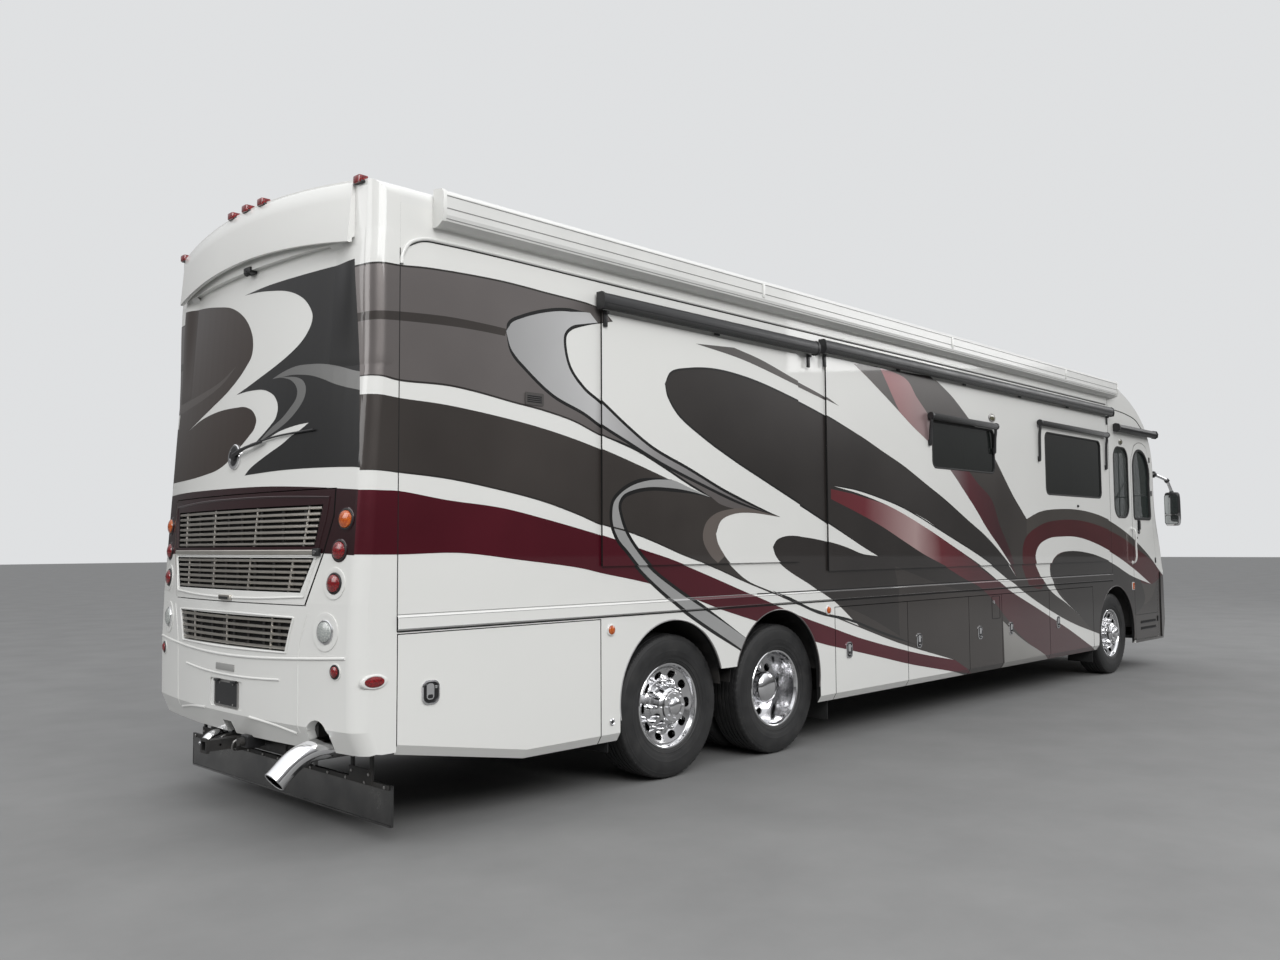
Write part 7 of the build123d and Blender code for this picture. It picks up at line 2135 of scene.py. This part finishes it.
def seat(name, x, y):
    frame = Bag()
    frame.lathe((sx(x), y, 1.210), (0, 0, 1), [(0.0, 0.16), (0.02, 0.16), (0.04, 0.10), (0.20, 0.085), (0.28, 0.13), (0.285, 0.0)], 32, 0)
    frame.box((sx(x), y, 1.502), (0.46, 0.46, 0.030), 0.010, 0)
    for s in (-1, 1):
        frame.tube([(sx(x - 0.235), y + s * 0.262, 1.80), (sx(x - 0.235), y + s * 0.285, 1.80)], 0.030, 16, 0)
    frame.build(name + "_base", "black_plastic", "root", "interior")
    parts = [("cushion", (x + 0.005, y, 1.572), (0.530, 0.500, 0.125), 0.012, 0.0), ("back", (x - 0.250, y, 1.965), (0.105, 0.480, 0.690), 0.0, -0.085),
             ("headrest", (x - 0.298, y, 2.262), (0.095, 0.300, 0.130), 0.0, -0.01)]
    for word, c, s, crown, lean in parts:
        b = Bag()
        vs, fs = puff((sx(c[0]), c[1], c[2]), s, 0.36, 32, crown, x * 3 + y, lean)
        b.add(vs, fs, 0)
        if word == "cushion":
            for w in (-0.15, 0.15):
                b.tube([(sx(x - 0.18), y + w, 1.640), (sx(x), y + w, 1.6435), (sx(x + 0.20), y + w, 1.637)], 0.0045, 6, 1)
        o = b.build(name + "_" + word, ["leather_tan", "leather_dark"], "root", "interior", 60)
    for s, word in ((-1, "right"), (1, "left")):
        b = Bag()
        vs, fs = puff((sx(x - 0.020), y + s * 0.292, 1.806), (0.400, 0.058, 0.066), 0.45, 24, 0.0, s)
        b.add(vs, fs, 0)
        o = b.build("%s_armrest_%s" % (name, word), ["leather_tan"], "root", "interior", 60)


seat("driver_seat", 8.820, 0.620)
seat("front_passenger_seat", 8.470, -0.620)

b = Bag()
outline = [(9.560, 1.212), (9.738, 1.212), (9.798, 1.500), (9.790, 1.600), (9.770, 1.622), (9.648, 1.656), (9.620, 1.654), (9.482, 1.570), (9.470, 1.548), (9.470, 1.448), (9.482, 1.436), (9.560, 1.402)]
b.prism([(sx(a), c) for a, c in outline], (0, 0.132, 0), (1, 0, 0), (0, 0, 1), (0, 1, 0), 0.926, 0)
# hooded instrument cluster, screen and vents
b.box((sx(9.600), 0.620, 1.676), (0.20, 0.46, 0.050), 0.022, 1, segs=3)
b.box((sx(9.508), 0.620, 1.620), (0.012, 0.36, 0.085), 0.004, 2, rot=Matrix.Rotation(math.radians(-30), 3, "Y"))
for k in range(3):
    b.lathe((sx(9.500), 0.500 + 0.12 * k, 1.618), (-0.86, 0, 0.5), [(0.0, 0.040), (0.006, 0.040), (0.008, 0.034), (0.004, 0.032), (0.004, 0.0)], 28, 3)
b.box((sx(9.500), 0.260, 1.575), (0.012, 0.16, 0.090), 0.004, 2, rot=Matrix.Rotation(math.radians(-30), 3, "Y"))
for yy in (0.35, 0.92):
    b.box((sx(9.466), yy, 1.500), (0.010, 0.090, 0.050), 0.004, 1)
    for i in range(4):
        b.box((sx(9.460), yy, 1.482 + 0.012 * i), (0.006, 0.080, 0.004), 0.001, 3, segs=1)
# steering column and wheel
c = Vector((sx(9.330), 0.620, 1.640))
ax = Vector((-0.72, 0, 0.69)).normalized()
b.lathe(c, -ax, [(-0.02, 0.0), (-0.02, 0.040), (0.02, 0.044), (0.05, 0.034), (0.20, 0.036), (0.24, 0.060), (0.26, 0.0)], 28, 1)
rim = []
for k in range(41):
    a = 2 * math.pi * k / 40
    u = Vector((0, 1, 0))
    w = ax.cross(u)
    rim.append(c + ax * 0.013 + u * (0.2175 * math.cos(a)) + w * (0.2175 * math.sin(a)))
b.tube(rim, 0.0155, 12, 4, cap=False)
for a in (0.0, math.pi, math.pi * 1.5):
    u = Vector((0, 1, 0))
    w = ax.cross(u)
    d = u * math.cos(a) + w * math.sin(a)
    b.tube([c + ax * 0.010 + d * 0.04, c + ax * 0.012 + d * 0.12, c + ax * 0.013 + d * 0.215], [0.022, 0.015, 0.011], 10, 4)
b.lathe(c, ax, [(-0.005, 0.062), (0.018, 0.060), (0.026, 0.048), (0.028, 0.0)], 32, 1)
o = b.build("cockpit_look", ["dash", "black_plastic", "glass_dark", "chrome", "leather_dark"], "root", "interior", 35)
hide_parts("cockpit")


# ------------------------------------------------------------------ hitch, flap and pipe fittings
b = Bag()
hz = 0.455
b.lathe((sx(-2.425), -0.575, hz), (0, 1, 0), [(0.0, 0.0), (0.0, 0.060), (0.006, 0.066), (1.144, 0.066), (1.150, 0.060), (1.150, 0.0)], 40, 0)
for s in (-1, 1):
    # collars, bolt heads and end plates of the cross tube
    b.lathe((sx(-2.425), s * 0.435, hz), (0, 1, 0), [(-0.014, 0.074), (-0.010, 0.078), (0.010, 0.078), (0.014, 0.074), (0.014, 0.060), (-0.014, 0.060), (-0.014, 0.074)], 40, 0)
    b.lathe((sx(-2.425), s * 0.577, hz), (0, s, 0), [(-0.002, 0.0), (-0.002, 0.050), (0.004, 0.046), (0.006, 0.0)], 32, 1)
    for zz in (0.545, 0.600):
        for xx in (-2.440, -2.410):
            b.lathe((sx(xx), s * 0.447, zz), (0, s, 0), [(-0.002, 0.0), (-0.002, 0.013), (0.008, 0.013), (0.012, 0.010), (0.012, 0.0)], 6, 1)
    # chain shackle through each plate
    c = Vector((sx(-2.600), s * 0.076, hz))
    ring = [c + Vector((0.030 * math.cos(t) - 0.018, 0.0, 0.034 * math.sin(t) - 0.006)) for t in np.linspace(0, 2 * math.pi, 25)]
    ring = [p + Vector((0, s * 0.018 * math.sin(i / 24 * 2 * math.pi), 0)) for i, p in enumerate(ring)]
    b.tube(ring, 0.0065, 10, 1, cap=False)
    b.tube([(sx(-2.480), s * 0.036, hz + 0.030), (sx(-2.540), s * 0.036, hz + 0.030), (sx(-2.600), s * 0.036, hz + 0.030)], 0.006, 8, 0)
# socket plate beside the receiver, with round plug sockets
b.box((sx(-2.500), 0.200, hz + 0.055), (0.008, 0.190, 0.120), 0.003, 0)
b.box((sx(-2.470), 0.200, hz + 0.100), (0.060, 0.190, 0.008), 0.003, 0)
for y, z, r in ((0.165, hz + 0.062, 0.034), (0.245, hz + 0.050, 0.022)):
    b.lathe((sx(-2.504), y, z), (-1, 0, 0), [(-0.01, r), (0.030, r), (0.034, r + 0.004), (0.044, r + 0.004), (0.048, r), (0.050, r * 0.4), (0.050, 0.0)], 32, 2)
    b.box((sx(-2.556), y, z + r + 0.002), (0.012, 0.026, 0.010), 0.003, 2)
b.box((sx(-2.575), -0.190, hz + 0.030), (0.120, 0.090, 0.075), 0.014, 2, segs=3)
b.tube([(sx(-2.635), -0.190, hz + 0.030), (sx(-2.668), -0.190, hz + 0.030)], [0.026, 0.024], 24, 0)
b.tube([(sx(-2.520), -0.190, hz + 0.020), (sx(-2.470), -0.190, hz + 0.010)], 0.012, 12, 0)
b.build("hitch_fittings", ["chassis_black", "steel", "black_plastic"], "root", "chassis_black")

b = Bag()
b.box((sx(-2.3095), 0.0, 0.3150), (0.008, 2.480, 0.026), 0.003, 0)
b.box((sx(-2.3080), 0.0, 0.1110), (0.008, 2.500, 0.012), 0.004, 1)
for i in range(13):
    y = -1.20 + 0.20 * i
    b.lathe((sx(-2.3130), y, 0.3150), (-1, 0, 0), [(-0.001, 0.0), (-0.001, 0.0095), (0.005, 0.0095), (0.007, 0.007), (0.007, 0.0)], 6, 2)
for s in (-1, 1):
    b.box((sx(-2.316), s * 0.960, 0.352), (0.006, 0.240, 0.080), 0.002, 0)
    b.box((sx(-2.306), s * 1.060, 0.400), (0.016, 0.026, 0.150), 0.003, 0)
    b.box((sx(-2.306), s * 0.860, 0.400), (0.016, 0.026, 0.150), 0.003, 0)
    for yy in (-0.09, 0.09):
        b.lathe((sx(-2.3190), s * 0.960 + yy, 0.365), (-1, 0, 0), [(-0.001, 0.0), (-0.001, 0.0095), (0.005, 0.0095), (0.007, 0.007), (0.007, 0.0)], 6, 2)
for s in (-1, 1):
    b.box((sx(-2.300), s * 1.2560, 0.218), (0.016, 0.006, 0.222), 0.002, 1)
b.build("flap_hardware", ["chassis_black", "flap_gloss", "steel"], "root", "flap")

b = Bag()
b.tube([(sx(-2.345), -0.955, 0.530), (sx(-2.150), -0.955, 0.530), (sx(-2.020), -0.955, 0.530)], 0.0645, 32, 0)
b.ring((sx(-2.350), -0.955, 0.530), (1, 0, 0), [(-0.022, 0.0640), (-0.022, 0.069), (-0.018, 0.071), (0.018, 0.071), (0.022, 0.069), (0.022, 0.0640)], 40, 1)
b.box((sx(-2.350), -0.955, 0.612), (0.030, 0.020, 0.060), 0.004, 1)
b.box((sx(-2.350), -0.955, 0.655), (0.050, 0.060, 0.030), 0.008, 2)
# lips of the two outlets
for y, r_in, r_out, x0, xb, z, bend, ang, tail in ((-0.955, 0.0570, 0.0620, -2.330, -2.560, 0.530, 0.300, 42.0, 0.090), (0.300, 0.0325, 0.0360, -2.474, -2.560, 0.462, 0.100, 50.0, 0.030)):
    a = math.radians(ang)
    px, pz = xb - bend * math.sin(a) - tail * math.cos(a), z - bend + bend * math.cos(a) - tail * math.sin(a)
    b.ring((sx(px), y, pz), (-math.cos(a), 0, -math.sin(a)), [(-0.004, r_in - 0.0005), (0.003, r_in - 0.0005), (0.006, (r_in + r_out) / 2), (0.003, r_out + 0.0015), (-0.004, r_out + 0.0015)], 48, 3)
b.build("pipe_fittings", ["steel", "steel", "black_rubber", "chrome"], "root", "chrome")


# ------------------------------------------------------------------ inner sides of the doors
def inside_of(node, mat, axis, sgn, limit=0.5):
    o = NODES[node]
    o.data.materials.append(MATS[mat])
    k = len(o.data.materials) - 1
    for p in o.data.polygons:
        if p.normal[axis] * sgn < -limit:
            p.material_index = k


for word, sgn, count in (("right", -1, 6), ("left", 1, 4)):
    for i in range(1, count + 1):
        node = "bay_door_%s_%d" % (word, i)
        inside_of(node, "liner", 1, sgn)
        vs = np.array([v.co for v in NODES[node].data.vertices])
        x0, x1, z0, z1 = vs[:, 0].min(), vs[:, 0].max(), vs[:, 2].min(), vs[:, 2].max()
        yi = np.abs(vs[:, 1]).min()
        b = Bag()
        xm, zm = (x0 + x1) / 2, 0.742
        w = x1 - x0
        b.box((xm, sgn * (yi - 0.0015), zm + 0.02), (w * 0.66, 0.006, 0.300), 0.003, 0)
        b.box((xm, sgn * (yi - 0.0045), zm + 0.02), (w * 0.56, 0.004, 0.220), 0.002, 0)
        for s in (-1, 1):
            b.lathe((xm + s * w * 0.30, sgn * (yi - 0.0040), zm + 0.150), (0, -sgn, 0), [(0.0, 0.009), (0.002, 0.008), (0.003, 0.0)], 16, 1)
            b.lathe((xm + s * w * 0.30, sgn * (yi - 0.0040), zm - 0.110), (0, -sgn, 0), [(0.0, 0.009), (0.002, 0.008), (0.003, 0.0)], 16, 1)
        b.build("%s_lining" % node, ["liner", "steel"], node, "interior")
inside_of("engine_hatch", "liner", 0, -1)
inside_of("entry_door", "inner_wall", 1, -1)
b = Bag()
ye = -1.243
b.box((sx(9.210), ye + 0.0015, 0.90), (0.560, 0.006, 0.70), 0.003, 0)
b.box((sx(9.210), ye + 0.0050, 1.54), (0.560, 0.008, 0.36), 0.004, 1)
b.tube([(sx(9.02), ye + 0.004, 1.62), (sx(9.02), ye + 0.030, 1.62), (sx(9.25), ye + 0.034, 1.62), (sx(9.42), ye + 0.030, 1.62), (sx(9.42), ye + 0.004, 1.62)], 0.011, 12, 2)
b.box((sx(9.640 - 0.70), ye + 0.010, 1.42), (0.060, 0.018, 0.130), 0.006, 3)
b.build("entry_door_lining", ["carpet", "leather_tan", "chrome", "black_plastic"], "entry_door", "interior")


# ------------------------------------------------------------------ camera, light and floor
def make_camera():
    cam = bpy.data.cameras.new("camera")
    o = bpy.data.objects.new("camera", cam)
    bpy.context.scene.collection.objects.link(o)
    a, e, r = math.radians(44.0414), math.radians(3.5843), math.radians(-0.3262)
    f = Vector((math.cos(a) * math.cos(e), math.sin(a) * math.cos(e), math.sin(e)))
    r0 = Vector((math.sin(a), -math.cos(a), 0.0))
    u0 = r0.cross(f)
    right = r0 * math.cos(r) + u0 * math.sin(r)
    up = -r0 * math.sin(r) + u0 * math.cos(r)
    m = Matrix((right, up, -f)).transposed().to_4x4()
    m.translation = Vector((-5.5839 + TAG, -6.3191, 1.6214))
    o.matrix_world = m
    cam.sensor_width = 36.0
    cam.lens = 1064.284 * 36.0 / 1280.0
    cam.clip_end = 500.0
    bpy.context.scene.camera = o


make_camera()


def make_floor():
    bm = bmesh.new()
    s, n = 130.0, 24
    bmesh.ops.create_grid(bm, x_segments=n, y_segments=n, size=s)
    me = bpy.data.meshes.new("floor_plane")
    bm.to_mesh(me)
    bm.free()
    me.materials.append(MATS["floor_pale"])
    o = bpy.data.objects.new("floor_plane", me)
    bpy.context.scene.collection.objects.link(o)


make_floor()


def area_light(name, loc, target, size, energy, color=(1, 1, 1)):
    l = bpy.data.lights.new(name, "AREA")
    l.shape = "RECTANGLE"
    l.size, l.size_y = size
    l.energy = energy
    l.color = color
    o = bpy.data.objects.new(name, l)
    bpy.context.scene.collection.objects.link(o)
    o.location = loc
    d = Vector(target) - Vector(loc)
    o.rotation_mode = "QUATERNION"
    o.rotation_quaternion = d.to_track_quat("-Z", "Y")
    return o


def make_world():
    """Soft studio surround: pale to look at, with a darker horizon for the reflections."""
    w = bpy.data.worlds.new("studio")
    bpy.context.scene.world = w
    w.use_nodes = True
    nt = w.node_tree
    nt.nodes.clear()
    out = nt.nodes.new("ShaderNodeOutputWorld")
    bg = nt.nodes.new("ShaderNodeBackground")
    plain = nt.nodes.new("ShaderNodeBackground")
    mix = nt.nodes.new("ShaderNodeMixShader")
    path = nt.nodes.new("ShaderNodeLightPath")
    tc = nt.nodes.new("ShaderNodeTexCoord")
    sep = nt.nodes.new("ShaderNodeSeparateXYZ")
    ramp = nt.nodes.new("ShaderNodeValToRGB")
    mr = nt.nodes.new("ShaderNodeMapRange")
    mr.inputs[1].default_value, mr.inputs[2].default_value = -0.2, 1.0
    nt.links.new(tc.outputs["Generated"], sep.inputs[0])
    nt.links.new(sep.outputs["Z"], mr.inputs[0])
    nt.links.new(mr.outputs[0], ramp.inputs[0])
    el = ramp.color_ramp.elements
    el[0].position, el[0].color = 0.15, (0.05, 0.05, 0.05, 1)
    el[1].position, el[1].color = 1.0, (1.25, 1.27, 1.30, 1)
    for p, c in ((0.24, (0.12, 0.12, 0.12)), (0.42, (0.36, 0.36, 0.37)), (0.68, (0.95, 0.96, 0.98))):
        e = el.new(p)
        e.color = (*c, 1)
    nt.links.new(ramp.outputs[0], bg.inputs[0])
    bg.inputs[1].default_value = 1.06
    plain.inputs[0].default_value = (0.74, 0.75, 0.76, 1)
    plain.inputs[1].default_value = 1.0
    nt.links.new(path.outputs["Is Camera Ray"], mix.inputs[0])
    nt.links.new(bg.outputs[0], mix.inputs[1])
    nt.links.new(plain.outputs[0], mix.inputs[2])
    nt.links.new(mix.outputs[0], out.inputs[0])
    vs = bpy.context.scene.view_settings
    vs.view_transform = "Standard"
    vs.look = "None"
    vs.exposure = 0.0


make_world()
area_light("key", (-9.0, -14.0, 11.0), (0.0, 0.0, 1.5), (14.0, 8.0), 1900.0)
area_light("rear", (-17.0, 3.0, 7.0), (-6.0, 0.0, 1.5), (8.0, 6.0), 450.0)
area_light("front", (16.0, -9.0, 9.0), (5.0, 0.0, 1.5), (9.0, 6.0), 600.0)
